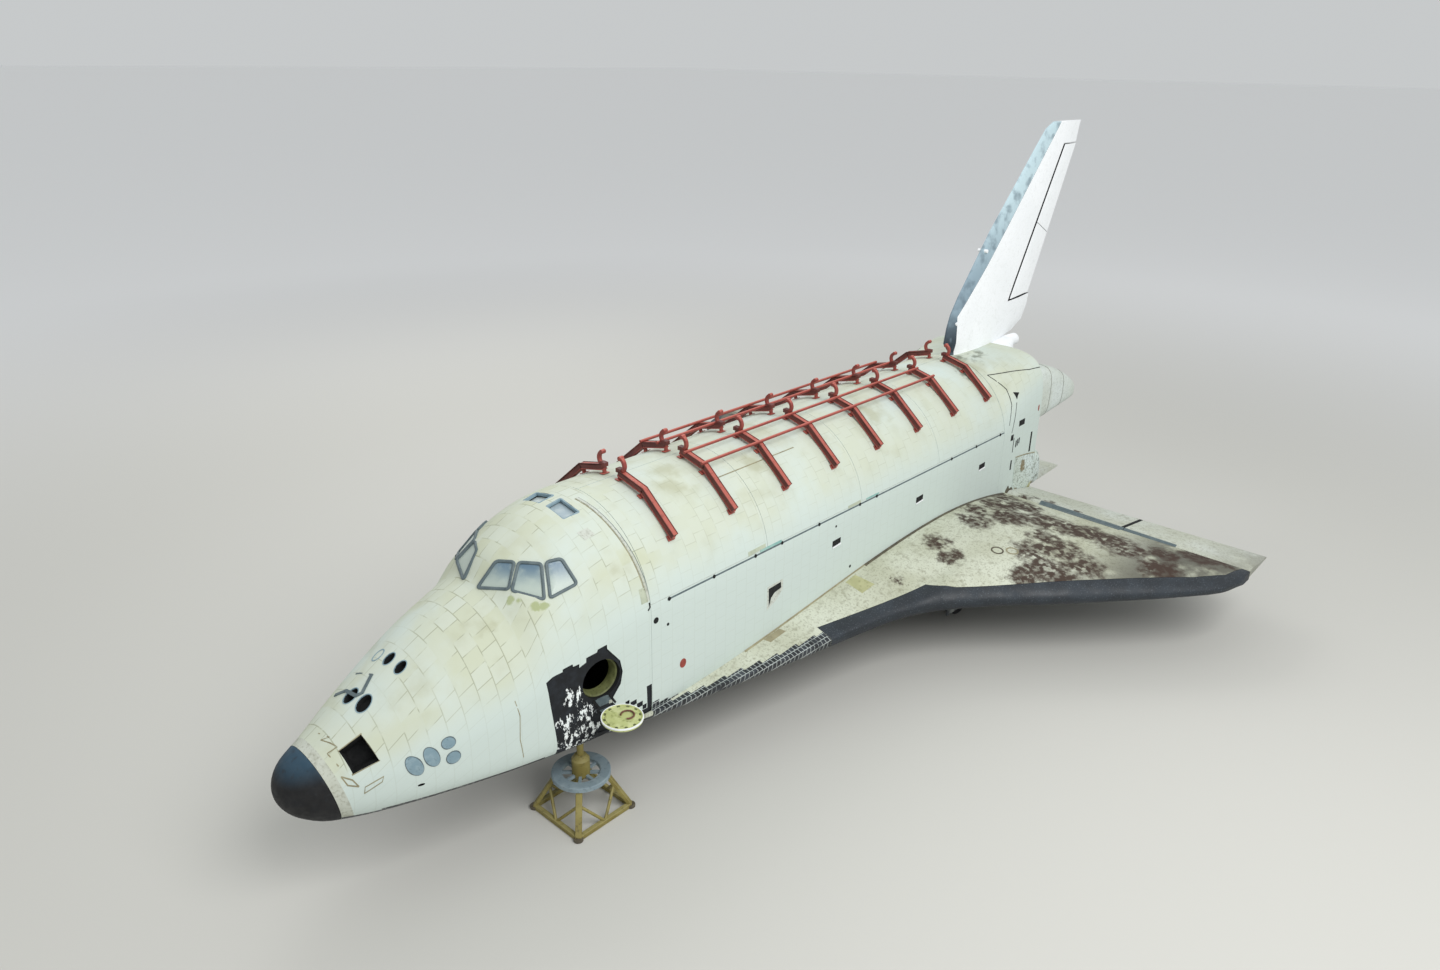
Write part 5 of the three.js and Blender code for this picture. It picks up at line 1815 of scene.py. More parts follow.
    def fit_patches(self) -> None:
        """Lays the odd tiles that stand out by their colour, and the seams round the cabin's rear."""
        pale = on_chart([(7.78, 1.30, 5.43), (8.09, 1.35, 5.48), (8.17, 1.57, 5.34), (7.84, 1.55, 5.28)])
        green = on_wall([(8.62, 4.19), (8.84, 4.19), (8.84, 3.70), (8.62, 3.70)])
        parts = [
            plug("pale_tile", self.paint.elevon, pale, -0.02, 0.006, 0.12),
            plug("sage_tile", self.paint.sage, green, -0.02, 0.004, 0.12),
        ]
        panel = [(7.2, 1.16), (7.62, 1.16), (7.48, 1.41), (7.1, 1.41)]
        parts.append(plug("hinge_panel", self.paint.frame, on_wall(panel), -0.05, -0.018))
        plate = [(7.5, 1.14), (7.6, 1.14), (7.6, 1.24), (7.5, 1.24)]
        parts.append(plug("hinge_plate", self.paint.elevon, on_wall(plate), -0.05, -0.01))
        for stay in (((7.03, 1.42), (7.19, 1.16)), ((7.52, 1.4), (7.69, 1.1))):
            parts.append(ribbon("hinge_stay", self.paint.dark, on_wall(stay), 0.05, -0.05, 0.002))
        hand_over(joined("odd_tiles", parts), "root", "white_tile")
        line = (
            (8.55, 0.4, 5.85), (8.62, 0.97, 5.71), (8.70, 1.69, 5.32), (8.78, 2.27, 4.72),
            (8.82, 2.57, 4.21),
            (8.85, 2.74, 3.65),
        )
        seam = []
        for shift, finish, width, lift in (
            (-0.055, self.paint.rust, 0.025, 0.004), (0.0, self.paint.elevon, 0.07, 0.02),
            (0.05, self.paint.frame, 0.03, 0.004),
        ):
            path = [
                (HULL.arc_of(station, y, height), min(station + shift, 8.87)) for station, y, height in line
            ]
            seam.append(ribbon("cabin_seam", finish, path, width, -0.01, lift))
        hook = on_wall([(8.86, 3.66), (8.87, 3.5), (8.8, 3.42)])
        seam.append(ribbon("seam_hook", self.paint.dark, hook, 0.035, -0.01, 0.012))
        crack = on_wall([(4.95, 2.5), (5.02, 1.9), (4.98, 1.2), (5.05, 0.5)])
        seam.append(ribbon("wall_seam", self.paint.rust, crack, 0.018, *LOW_MARK))
        hand_over(joined("cabin_seams", seam), "root", "dark_interior")

    def hang_hatch(self) -> None:
        """Makes the collar in the opening and the round hatch hung open below it."""
        place = self.at_hatch()
        centre, outward = place @ Vector(), place.to_3x3() @ Vector((0, 1, 0))
        collar = [
            (0.5555, -0.42), (0.5555, -0.15), (0.53, -0.13), (0.5, -0.15), (0.4705, -0.24), (0.4705, -0.42)
        ]
        ring = turned("hatch_collar", self.paint.primer, collar, centre, outward)
        hand_over(ring, "root", "primer", "hatch_ring")
        hinge = Vector((0, self.hatch_out, -self.hatch_reach))
        middle = place @ (hinge + Vector((0, self.hatch_reach, self.hatch_rise)))
        disc_profile = [
            (0.0005, -0.055), (0.49, -0.055), (0.525, -0.02), (0.53, 0.03), (0.525, 0.055), (0.49, 0.055),
            (0.48, 0.035), (0.43, 0.03), (0.42, 0.05), (0.0005, 0.05),
        ]
        parts = [turned("hatch_disc", self.paint.hatch, disc_profile, middle, UP)]
        rim_profile = [(0.514, 0.02), (0.534, 0.02), (0.534, 0.062), (0.514, 0.062)]
        parts.append(turned("hatch_rim", self.paint.fin, rim_profile, middle, UP))
        bars = [("hinge_panel", self.paint.frame, (-0.2, 0.12, -0.8), (0.2, 0.46, -0.775))]
        for x in self.hatch_arms:
            bars.append(("hatch_arm", self.paint.dark, (x - 0.03, 0.07, -0.815), (x + 0.03, 0.77, -0.755)))
            bars.append(("hatch_arm", self.paint.dark, (x - 0.03, 0.52, -0.775), (x + 0.03, 0.82, -0.715)))
        for name, finish, low, high in bars:
            bar = box(name, finish, Vector(low), Vector(high), 0.005)
            bar.data.transform(place)
            parts.append(bar)
        for x in self.hatch_arms:
            ends = (place @ Vector((x - 0.03, 0.07, -0.8)), place @ Vector((x + 0.03, 0.07, -0.8)))
            parts.append(tube("hatch_boss", self.paint.metal, ends, 0.045, 20))
        for index in range(self.hatch_latches):
            angle = 2 * math.pi * index / self.hatch_latches
            spot = middle + Vector((math.cos(angle), math.sin(angle), 0)) * self.latch_circle
            parts.append(tube("hatch_latch", self.paint.primer, (spot, spot + UP * 0.05), 0.042, 12))
        handle = []
        for step in range(13):
            angle = math.radians(40 + 280 * step / 12)
            across, along = math.cos(angle) * self.handle_circle, math.sin(angle) * self.handle_circle
            handle.append(middle + Vector((across - 0.12, along + 0.06, 0.085)))
        for first, second in zip(handle, handle[1:]):
            parts.append(tube("hatch_handle", self.paint.handle, (first, second), 0.022, 10))
        hand_over(joined("round_hatch", parts), "hatch", "primer", "hatch_door")


@dataclass
class PayloadBay:
    """The trough under the doors, lined and ribbed, and a door of four panels on each side."""

    paint: Palette
    front: float = 8.9
    rear: float = 27.442
    sill: float = 3.5
    gap: float = 0.008
    end_wall: float = 0.25
    radius: float = 2.35
    centre: float = 3.1
    skin_radius: float = 2.8
    thickness: float = 0.15
    crown_gap: float = 0.02
    panels: int = 4
    panel_gap: float = 0.006
    bays: int = 15
    rib_half: float = 0.04
    rib_depth: float = 0.07
    rib_sunk: float = 0.01
    nose_well: tuple[float, float, float, float] = NOSE_WELL

    def build(self) -> None:
        """Makes the trough, its ribs and the doors."""
        self.build_trough()
        for side in Side:
            self.build_door(side)
        self.mark_walls()

    def build_trough(self) -> None:
        """Makes the trough by cutting the lid and the bay out of the hull."""
        trough = hull_plug("bay_trough", self.paint.hull, stretch(self.front, self.rear, 1.2))
        coat_where(trough, self.paint.belly, faces_down)
        lid = box(
            "bay_lid", self.paint.liner, at(self.front - 0.1, -4, self.sill - self.gap), at(
                self.rear + 0.1, 4, 7
            )
        )
        carve(trough, lid)
        inset = self.thickness + self.gap + 0.06
        for station in (self.front, self.rear - self.end_wall):
            wall = hull_plug(
                "bay_wall", self.paint.liner, stretch(station, station + self.end_wall, 0.3), inset
            )
            carve(trough, wall, "UNION")
        ends = (
            at(self.front + self.end_wall, 0, self.centre),
            at(self.rear - self.end_wall, 0, self.centre),
        )
        carve(trough, tube("bay_room", self.paint.liner, ends, self.radius, 96))
        front, rear, half, depth = self.nose_well
        # The well's walls keep the cutter's near black, painted shade inside the nose wheel well.
        carve(trough, box("nose_gear_room", self.paint.dark, at(front, -half, -0.1), at(rear, half, depth)))
        hand_over(shade(trough), "root", "white_tile", "mid_fuselage")
        ribs = []
        length = self.rear - self.front - 2 * self.end_wall
        for index in range(1, self.bays):
            ribs.append(self.rib(self.front + self.end_wall + length * index / self.bays))
        hand_over(joined("bay_ribs", ribs), "root", "white_tile")

    def rib(self, station: float) -> Mesh:
        """One rib round the bay's lower half.

        Args:
            station: Where it is.

        Returns:
            The rib.
        """
        outer, inner, half = self.radius + self.rib_sunk, self.radius - self.rib_depth, self.rib_half
        low = math.asin((self.sill - self.centre - 0.05) / self.radius)
        rows = []
        for step in range(33):
            angle = -math.pi - low + (math.pi + 2 * low) * step / 32
            row = []
            for radius, shift in (
                (outer, -half), (inner, -half), (inner, half), (outer, half), (outer, -half)
            ):
                y, height = radius * math.cos(angle), self.centre + radius * math.sin(angle)
                row.append(tuple(at(station + shift, y, height)))
            rows.append(row)
        return wrapped("bay_rib", np.array(rows), self.paint.liner)

    def build_door(self, side: Side) -> None:
        """Makes one door from its panels.

        Args:
            side: Which side.
        """
        first, last = self.front + self.gap, self.rear - 2 * self.gap
        length = (last - first) / self.panels
        parts = []
        for index in range(self.panels):
            start_gap = self.panel_gap if index else 0.0
            end_gap = self.panel_gap if index + 1 < self.panels else 0.0
            stations = stretch(
                first + index * length + start_gap, first + (index + 1) * length - end_gap, 0.6
            )
            parts.append(self.panel(stations, side))
        door = joined(f"{side.label}_door_panels", parts)
        coat_where(door, self.paint.liner, self.faces_bay)
        hand_over(shade(door), f"{side.label}_door", "white_tile", f"{side.label}_bay_door")

    def faces_bay(self, centre: Vector, normal: Vector) -> bool:
        """Whether a door's face looks into the bay."""
        middle = Vector((centre.x, 0, BELLY + self.centre))
        return normal.dot(centre - middle) < -0.5

    def panel(self, stations: Sequence[float], side: Side) -> Mesh:
        """One door panel.

        Args:
            stations: Where its rings are.
            side: Which side it is on.

        Returns:
            The panel.
        """
        inner = self.skin_radius - self.thickness
        steps = 26
        rows, chart = [], []
        for station in stations:
            row, places = [], []
            for radius, order in ((self.skin_radius, 1), (inner, -1)):
                low = math.asin((self.sill - self.centre) / radius)
                high = math.acos(self.crown_gap / 2 / radius)
                angles = np.linspace(low, high, steps + 1)[::order]
                for angle in angles:
                    y = side.value * radius * math.cos(angle)
                    row.append(tuple(at(station, y, self.centre + radius * math.sin(angle))))
                    places.append((side.value * self.skin_radius * (math.pi / 2 - angle), station))
            rows.append([*row, row[0]])
            chart.append([*places, places[0]])
        return wrapped("door_panel", np.array(rows), self.paint.hull, np.array(chart))

    def mark_walls(self) -> None:
        """Lays the vents, the spots, the hinge strip and the odd patches on the side walls."""
        dark, rust = self.paint.dark, self.paint.rust
        for side in Side:
            wall = side.value * WALL_Y
            parts = []
            for station in (16.865, 21.63, 25.9):
                rows = [
                    (station - 0.2, 2.37), (station + 0.22, 2.4), (station + 0.22, 2.62),
                    (station - 0.2, 2.6),
                ]
                parts.append(plug("wall_vent", dark, on_wall(rows, side), *MARK))
                lip = on_wall([(station - 0.2, 2.37), (station + 0.22, 2.4)], side)
                parts.append(ribbon("vent_lip", self.paint.fin, lip, 0.04, -0.01, 0.03))
            for station, height, radius in (
                (16.8, 3.08, 0.04), (17.71, 1.36, 0.05), (9.06, 2.99, 0.09), (9.49, 2.7, 0.045)
            ):
                outline = oval(HULL.arc_of(station, wall, height), station, radius, radius, 12)
                parts.append(plug("wall_spot", dark, outline, *MARK))
            red = oval(HULL.arc_of(10.05, wall, 1.24), 10.05, 0.14, 0.12, 20)
            parts.append(plug("red_spot", self.paint.signal, red, *MARK))
            hinge = self.sill - 0.03
            line = [(HULL.arc_of(station, wall, hinge), station) for station in stretch(9.5, 27.42, 1.2)]
            parts.append(ribbon("hinge_strip", self.paint.frame, line, 0.045, -0.02, 0.008))
            for station in (9.56, 11.27, 12.99, 14.17, 15.94, 18.05, 18.98, 23.61, 25.34, 27.12):
                outline = oval(HULL.arc_of(station, wall, self.sill - 0.03), station, 0.055, 0.055, 12)
                parts.append(plug("hinge_spot", dark, outline, -0.02, 0.012))
            if side is Side.PORT:
                lost = [
                    (13.61, 2.12), (14.17, 2.15), (14.19, 1.95), (13.88, 1.90), (13.74, 1.79), (13.64, 1.52)
                ]
                parts.append(plug("lost_tiles", dark, on_wall(lost), *MARK))
                glue = [(13.55, 2.2), (14.26, 2.22), (14.28, 1.88), (13.98, 1.6), (13.55, 1.42)]
                parts.append(plug("glue_patch", self.paint.elevon, on_wall(glue), -0.02, 0.003))
                foot = [
                    (8.91, 0.06), (9.9, 0.06), (9.9, 0.24), (9.5, 0.24), (9.5, 0.36), (9.15, 0.36),
                    (9.15, 0.5), (8.91, 0.5),
                ]
                parts.append(plug("border_foot", self.paint.border, on_wall(foot), -0.02, 0.004))
            hand_over(joined(f"{side.label}_wall_marks", parts), "root", "dark_interior")
            stations = (12.7, 13.6, 14.9, 16.2)
            path = [(HULL.arc_of(station, side.value * 1.45, 5.49), station) for station in stations]
            parts = [ribbon("door_line", rust, path, 0.03, -0.01, 0.004)]
            if side is Side.PORT:
                for rows in (
                    ((12.7, 3.57), (13.45, 3.6), (13.45, 3.74), (12.7, 3.72)),
                    ((17.43, 3.53), (18.1, 3.53), (18.1, 3.63), (17.43, 3.62)),
                ):
                    parts.append(plug("sage_patch", self.paint.sage, on_wall(rows), -0.02, 0.008))
                for first, last, width in ((13.2, 14.15, 0.07), (18.4, 19.1, 0.05)):
                    path = on_wall([(first, 3.56), (last, 3.56)])
                    parts.append(ribbon("teal_line", self.paint.teal, path, width, -0.01, 0.01))
            hand_over(joined(f"{side.label}_door_marks", parts), f"{side.label}_door", "white_tile")


@dataclass
class GroundBeams:
    """The red box beams that brace the doors from outside while the craft stands on the ground."""

    paint: Palette
    first: float = 10.142
    spacing: float = 2.357
    count: int = 8
    width: float = 0.19
    depth: float = 0.17
    line: tuple[tuple[float, float], ...] = ((2.37, 4.9), (1.25, 5.86), (0.33, 6.09))
    hook_radius: float = 0.21
    hook_section: float = 0.095
    tie_radius: float = 0.045

    def build(self) -> None:
        """Makes both sides' beams."""
        for side in Side:
            body = f"{side.label}_door"
            for where, index in (("front", 0), ("rear", self.count - 1)):
                whole = joined(f"{side.label}_{where}_box_beam", self.beam(index, side))
                hand_over(whole, body, "red_paint", f"{side.label}_{where}_beam")
            parts = [part for index in range(1, self.count - 1) for part in self.beam(index, side)]
            for y, height in ((1.25, 5.99), (0.56, 6.13)):
                ends = (
                    at(self.station(1) - 0.15, side.value * y, height),
                    at(self.station(self.count - 2) + 0.15, side.value * y, height),
                )
                parts.append(tube("tie_tube", self.paint.red, ends, self.tie_radius, 16))
            tied = joined(f"{side.label}_tied_box_beams", parts)
            hand_over(tied, body, "red_paint", f"{side.label}_tied_beams")

    def station(self, index: int) -> float:
        """The station of a beam by its number."""
        return self.first + index * self.spacing

    def beam(self, index: int, side: Side) -> list[Mesh]:
        """One beam: two box lengths, their stand-offs, knee plates and hook.

        Args:
            index: Its number from the front.
            side: Which side it is on.

        Returns:
            Its parts.
        """
        station = self.station(index)
        points = [at(station, side.value * y, height) for y, height in self.line]
        crown = at(station, 0, 3.1)
        parts = []
        for first, second in zip(points, points[1:]):
            along = (second - first).normalized()
            out = (first + second) / 2 - crown
            ends = (first - along * 0.02, second + along * 0.02)
            web = (self.width - 0.03, self.depth - 0.03)
            # The web between the flanges is painted shade, in dark red-brown.
            parts.append(beam_box("beam_web", self.paint.brown, ends, web, out, 0.006))
            lift = out.normalized() * (self.depth / 2 - 0.012)
            for shift in (lift, -lift):
                flange = (ends[0] + shift, ends[1] + shift)
                parts.append(
                    beam_box("beam_flange", self.paint.red, flange, (self.width, 0.024), out, 0.005)
                )
            for edge in (-1, 1):
                shift = lift * 1.1 + Vector((edge * (self.width / 2 - 0.012), 0, 0))
                lip = (ends[0] + shift, ends[1] + shift)
                # The lips along the flange edges are painted shade as well.
                parts.append(beam_box("beam_lip", self.paint.brown, lip, (0.024, 0.04), out, 0.004))
        for point in points:
            out = (point - crown).normalized()
            skin = crown + out * 2.825
            parts.append(tube("stand_off", self.paint.red, (skin, point), 0.06, 12))
            ends = (skin - Vector((0.12, 0, 0)), skin + Vector((0.12, 0, 0)))
            parts.append(beam_box("foot_plate", self.paint.red, ends, (0.16, 0.02), out, 0.004))
        parts += self.hook(points[-1], side)
        return parts

    def hook(self, inner: Vector, side: Side) -> list[Mesh]:
        """The curved lug at a beam's inner end, with a knob at its tip and a gusset at its foot.

        Args:
            inner: The beam's inner end.
            side: Which side it is on.

        Returns:
            Its parts.
        """
        middle = inner + Vector((0, 0, 0.23))
        middle.y = side.value * 0.3
        rows = []
        for step in range(15):
            angle = math.radians(-90 + 165 * step / 14)
            row = []
            for shift, reach in ((-1, -1), (-1, 1), (1, 1), (1, -1), (-1, -1)):
                radius = self.hook_radius + reach * self.hook_section / 2
                y = side.value * radius * math.cos(angle)
                row.append(tuple(middle + Vector((shift * 0.055, y, radius * math.sin(angle)))))
            rows.append(row)
        curve = soften(wrapped("beam_hook", np.array(rows), self.paint.red), 0.008, 1)
        tip = math.radians(72)
        knob = middle + Vector(
            (0, side.value * self.hook_radius * math.cos(tip), self.hook_radius * math.sin(tip))
        )
        ends = (knob - Vector((0.075, 0, 0)), knob + Vector((0.075, 0, 0)))
        gusset = (inner + Vector((0, 0, 0.02)), inner + Vector((0, 0, 0.14)))
        return [
            curve,
            tube("hook_knob", self.paint.red, ends, 0.065, 20, None, 0.012),
            # The gusset is painted shade, in dark red-brown.
            beam_box("hook_gusset", self.paint.brown, gusset, (0.17, 0.2), Vector((0, 1, 0)), 0.01),
        ]


class WingRow(NamedTuple):
    """One section of the wing: its leading edge, crest, heights and the radius at its hinge."""

    y: float
    edge: float
    crest: float
    crest_height: float
    edge_height: float
    underside: float
    radius: float
    roundness: float


WING_ROWS = (
    WingRow(2.45, 7.4, 22.9, 1.37, 0.26, 0.0, 0.375, 0.0),
    WingRow(2.79, 8.75, 22.9, 1.37, 0.26, 0.0, 0.37, 0.0),
    WingRow(3.67, 12.83, 23.0, 1.34, 0.28, 0.0, 0.35, 0.1),
    WingRow(4.71, 17.77, 23.2, 1.3, 0.32, 0.01, 0.33, 0.5),
    WingRow(5.3, 18.95, 23.5, 1.25, 0.35, 0.02, 0.315, 0.9),
    WingRow(8.4, 22.5, 25.0, 1.02, 0.4, 0.09, 0.24, 1.0),
    WingRow(11.0, 25.55, 26.9, 0.75, 0.43, 0.16, 0.185, 1.0),
    WingRow(11.65, 26.45, 27.5, 0.65, 0.44, 0.2, 0.17, 1.0),
    WingRow(11.96, 27.4, 28.0, 0.56, 0.44, 0.26, 0.15, 1.0),
)


@dataclass
class Wings:
    """Both wings with their dark leading edges and two elevons a side."""

    paint: Palette
    hinge: float = 28.45
    hinge_height: float = 0.4
    trailing: float = 30.3
    trailing_height: float = 0.33
    trailing_thickness: float = 0.05
    gap: float = 0.02
    nose_run: float = 0.6
    seam: float = 0.008
    elevon_root: float = 2.84
    split: float = 7.5
    end_gap: float = 0.12
    tip: float = 11.96
    edge_line: tuple[tuple[float, float], ...] = (
        (15.1, 3.56), (16.7, 3.99), (19.33, 4.69), (19.52, 5.09), (19.85, 5.5), (23.3, 8.48), (26.1, 10.82),
        (27.15, 11.5), (28.23, 11.7),
    )
    border_steps: tuple[tuple[float, float], ...] = (
        (9.6, 2.72), (10.2, 2.85), (10.7, 2.97), (11.44, 3.08), (12.05, 3.18), (12.67, 3.31), (13.3, 3.45),
        (14.05, 3.56),
        (14.77, 3.68), (15.084, 3.77),
    )
    border_front: float = 8.9
    sill_span: tuple[float, float] = (4.2, 9.3)
    wheel_well: tuple[float, float, float, float, float] = MAIN_WELL

    def __post_init__(self) -> None:
        """Keeps the table as a curve."""
        self.curve = Curve([row.y for row in WING_ROWS], [row[1:] for row in WING_ROWS])

    def ring(self, y: float) -> Profile:
        """The wing's outline at one y, from the nose over the top and back below.

        Args:
            y: Where the section is.

        Returns:
            Rows of station and height, the first repeated at the end.
        """
        edge, crest, crest_height, edge_height, underside, radius, roundness = self.curve(y)
        rear = self.hinge - radius - self.gap
        top = min(crest, rear - 0.04)
        ring = []
        for step in range(25):
            share = (step / 24) ** 2
            smooth = share * share * (3 - 2 * share)
            lift = smooth + (math.sqrt(1 - (1 - share) ** 2) - smooth) * roundness
            ring.append((edge + share * (top - edge), edge_height + lift * (crest_height - edge_height)))
        rear_top = self.hinge_height + radius
        for step in range(1, 9):
            share = step / 8
            ring.append((top + share * (rear - top), crest_height + share**2 * (rear_top - crest_height)))
        run = min(self.nose_run, (rear - edge) / 2)
        low = self.hinge_height - radius
        for step in range(7):
            share = step / 6
            ring.append((rear + share * (edge + run - rear), low + share * (underside - low)))
        for step in range(1, 9):
            share = (1 - step / 8) ** 2
            drop = math.sqrt(max(0.0, 1 - (1 - share) ** 2))
            ring.append((edge + share * run, edge_height + drop * (underside - edge_height)))
        return ring

    def build(self) -> None:
        """Makes the port wing, its mirror image and the elevons."""
        spans = stretch(2.45, 4.4, 0.2) + stretch(4.5, 5.7, 0.1)
        spans += stretch(5.9, 11.6, 0.25) + stretch(11.68, 11.96, 0.05)
        rows = [[tuple(at(station, y, height)) for station, height in self.ring(y)] for y in spans]
        whole = wrapped("port_wing_panel", np.array(rows), self.paint.wing)
        room = hull_plug("hull_room", self.paint.wing, stretch(6.0, 30.3, 1.0), -0.0005)
        carve(whole, room)
        edge = copied(whole, "port_edge_panels")
        edge.data.materials[0] = self.paint.edge
        ahead = ((28.23, 13.5), (15.1, 13.5))
        carve(edge, self.plan_prism([*self.edge_line, *ahead], self.paint.edge), "INTERSECT")
        gap_line = [(station + self.seam, y - self.seam) for station, y in self.edge_line]
        clear = self.plan_prism(
            [*gap_line, (28.238, 13.6), (15.092, 13.6), (15.092, 3.552)], self.paint.dark
        )
        carve(whole, clear)
        border = copied(whole, "port_glove_border")
        border.data.materials[0] = self.paint.border
        carve(border, self.plan_prism(self.border_outline(0.0), self.paint.border), "INTERSECT")
        carve(whole, self.plan_prism(self.border_outline(0.004), self.paint.dark))
        front, rear, inner, outer, depth = self.wheel_well
        # The well's walls keep the cutter's near black, painted shade inside the wheel well.
        carve(whole, box("main_gear_room", self.paint.dark, at(front, inner, -0.1), at(rear, outer, depth)))
        coat_where(whole, self.paint.belly, underside)
        shade(whole, 50)
        shade(edge, 50)
        shade(border, 50)
        marks = self.top_marks()
        elevons = {
            "inner": self.elevon("port_inner_elevon_panel", self.elevon_root, self.split - self.gap / 2),
            "outer": self.elevon("port_outer_elevon_panel", self.split + self.gap / 2, self.tip - 0.04),
        }
        for side in reversed(Side):
            label = side.label
            wing = on_side(whole, side, f"{label}_wing_panel")
            hand_over(wing, "root", "white_tile", f"{label}_wing")
            dark = on_side(edge, side, f"{label}_edge_panels")
            hand_over(dark, "root", "dark_edge", f"{label}_leading_edge")
            hand_over(on_side(border, side, f"{label}_glove_border"), "root", "black_tile")
            hand_over(on_side(marks, side, f"{label}_wing_marks"), "root", "white_tile")
            for where, panel in elevons.items():
                twin = on_side(panel, side, f"{label}_{where}_elevon_panel")
                hand_over(twin, f"{label}_{where}_elevon_body", "white_tile", f"{label}_{where}_elevon")

    def plan_prism(self, outline: Outline, finish: Finish) -> Mesh:
        """A tall body over an outline in station and y."""
        points = [at(station, y, -1.5) for station, y in outline]
        return prism("plan_prism", finish, points, Vector((0, 0, 4.5)))

    def border_outline(self, grow: float) -> Profile:
        """The stepped outline of the black tiles along the front of the wing's root.

        Args:
            grow: How far it is drawn outwards to leave a joint.

        Returns:
            Rows of station and y, going round.
        """
        outline = [(self.border_front - grow, 6.0)]
        station = self.border_front - grow
        for last, y in self.border_steps:
            outline += [(station, y - grow), (last + grow, y - grow)]
            station = last + grow
        return [*outline, (station, 6.0)]

    def top(self, station: float, y: float) -> float:
        """The height of the wing's upper skin."""
        upper = self.ring(y)[:33]
        return float(np.interp(station, [row[0] for row in upper], [row[1] for row in upper]))

    def laid(self, name: str, finish: Finish, places: Sequence[Outline], lift: float) -> Mesh:
        """A thin sheet laid on the wing's upper skin.

        Args:
            name: Its name.
            finish: Its material.
            places: Rows and columns of station and y.
            lift: How thick it is over the skin.

        Returns:
            The sheet.
        """
        rows = [[tuple(at(s, y, self.top(s, y) + lift)) for s, y in row] for row in places]
        sheet = wrapped(name, np.array(rows), finish, closed=False, ends=False)
        with editing(sheet):
            sweep_all((0, 0, -lift - self.gap))
        return sheet

    def quad(self, corners: Outline, steps: int) -> list[Profile]:
        """Places spread evenly over a quad in plan.

        Args:
            corners: Its four corners, going round.
            steps: How many steps each edge has.

        Returns:
            Rows and columns of station and y.
        """
        first, second, third, last = (np.array(corner) for corner in corners)
        rows = []
        for across in np.linspace(0, 1, steps + 1):
            near, far = first + (last - first) * across, second + (third - second) * across
            rows.append([tuple(near + (far - near) * along) for along in np.linspace(0, 1, steps + 1)])
        return rows

    def top_marks(self) -> Mesh:
        """Lays the odd patches, the rings, the root line and the hinge covers on the port wing.

        Returns:
            The marks as one piece.
        """
        olive, rust, soot = self.paint.olive, self.paint.rust, self.paint.soot
        parts = [
            self.laid(
                "glove_patch", olive,
                self.quad(((17.33, 2.94), (17.85, 2.92), (18.0, 3.6), (17.36, 3.58)), 4), 0.006,
            ),
            self.laid(
                "front_patch", rust,
                self.quad(((13.4, 2.86), (14.1, 2.86), (14.2, 3.05), (13.5, 3.05)), 4), 0.006,
            ),
        ]
        strip = self.quad(((27.95, 4.3), (28.12, 4.3), (28.2, 7.45), (28.03, 7.45)), 8)
        parts.append(self.laid("hinge_strip", self.paint.frame, strip, 0.012))
        for station, y, finish in ((22.42, 5.52, soot), (22.77, 5.89, rust)):
            turns = [2 * math.pi * step / 28 for step in range(29)]
            rows = [
                [(station + reach * math.cos(turn), y + reach * math.sin(turn)) for turn in turns]
                for reach in (0.165, 0.215)
            ]
            parts.append(self.laid("wing_ring", finish, rows, 0.012))
        for first, last, width, finish in ((12.6, 18.5, 0.05, rust), (18.5, 27.9, 0.1, soot)):
            marks = stretch(first, last, 0.4)
            rows = [[(station, 2.79) for station in marks], [(station, 2.8 + width) for station in marks]]
            parts.append(self.laid("root_line", finish, rows, 0.008))
        return joined("port_wing_marks", parts)

    def elevon(self, name: str, inner: float, outer: float) -> Mesh:
        """One elevon: round at its hinge and thin at its rear.

        Args:
            name: Its name.
            inner: Its inner y.
            outer: Its outer y.

        Returns:
            The elevon.
        """
        rows = []
        for y in [*stretch(inner, outer - self.end_gap, 0.5), outer]:
            radius = between([(row.y, row.radius) for row in WING_ROWS], y, 1)
            low = self.trailing_height - self.trailing_thickness / 2
            section = half_round((self.hinge, self.hinge_height), radius)
            section += [(self.trailing, low), (self.trailing, low + self.trailing_thickness), section[0]]
            rows.append([tuple(at(station, y, height)) for station, height in section])
        panel = wrapped(name, np.array(rows), self.paint.elevon)
        coat_where(panel, self.paint.belly, underside)
        # The inner elevon's outer end is near black: painted shadow in the gap between the elevons.
        coat_where(
            panel, self.paint.dark, lambda centre, _: outer < self.split and centre.y > outer - self.end_gap
        )
        front = NOSE_X - self.hinge - self.gap
        first, last = self.sill_span
        coat_where(
            panel, self.paint.frame,
            lambda centre, normal: centre.x > front and normal.z > 0 and first < centre.y < last,
        )
        return shade(panel, 30)


class FinRow(NamedTuple):
    """One section of the fin: its leading edge, its rear edge and half its thickness."""

    height: float
    edge: float
    rear: float
    half: float


FIN_ROWS = (
    FinRow(5.5, 27.48, 31.6, 0.33),
    FinRow(5.9, 27.48, 31.78, 0.325),
    FinRow(6.05, 27.48, 32.45, 0.32),
    FinRow(6.4, 27.1, 33.23, 0.312),
    FinRow(7.0, 27.2, 33.56, 0.3),
    FinRow(7.5, 27.38, 33.64, 0.285),
    FinRow(8.11, 27.8, 33.8, 0.26),
    FinRow(10.38, 29.7, 34.82, 0.21),
    FinRow(13.36, 32.66, 36.16, 0.14),
    FinRow(14.0, 33.32, 36.28, 0.125),
    FinRow(14.25, 33.9, 36.37, 0.11),
)


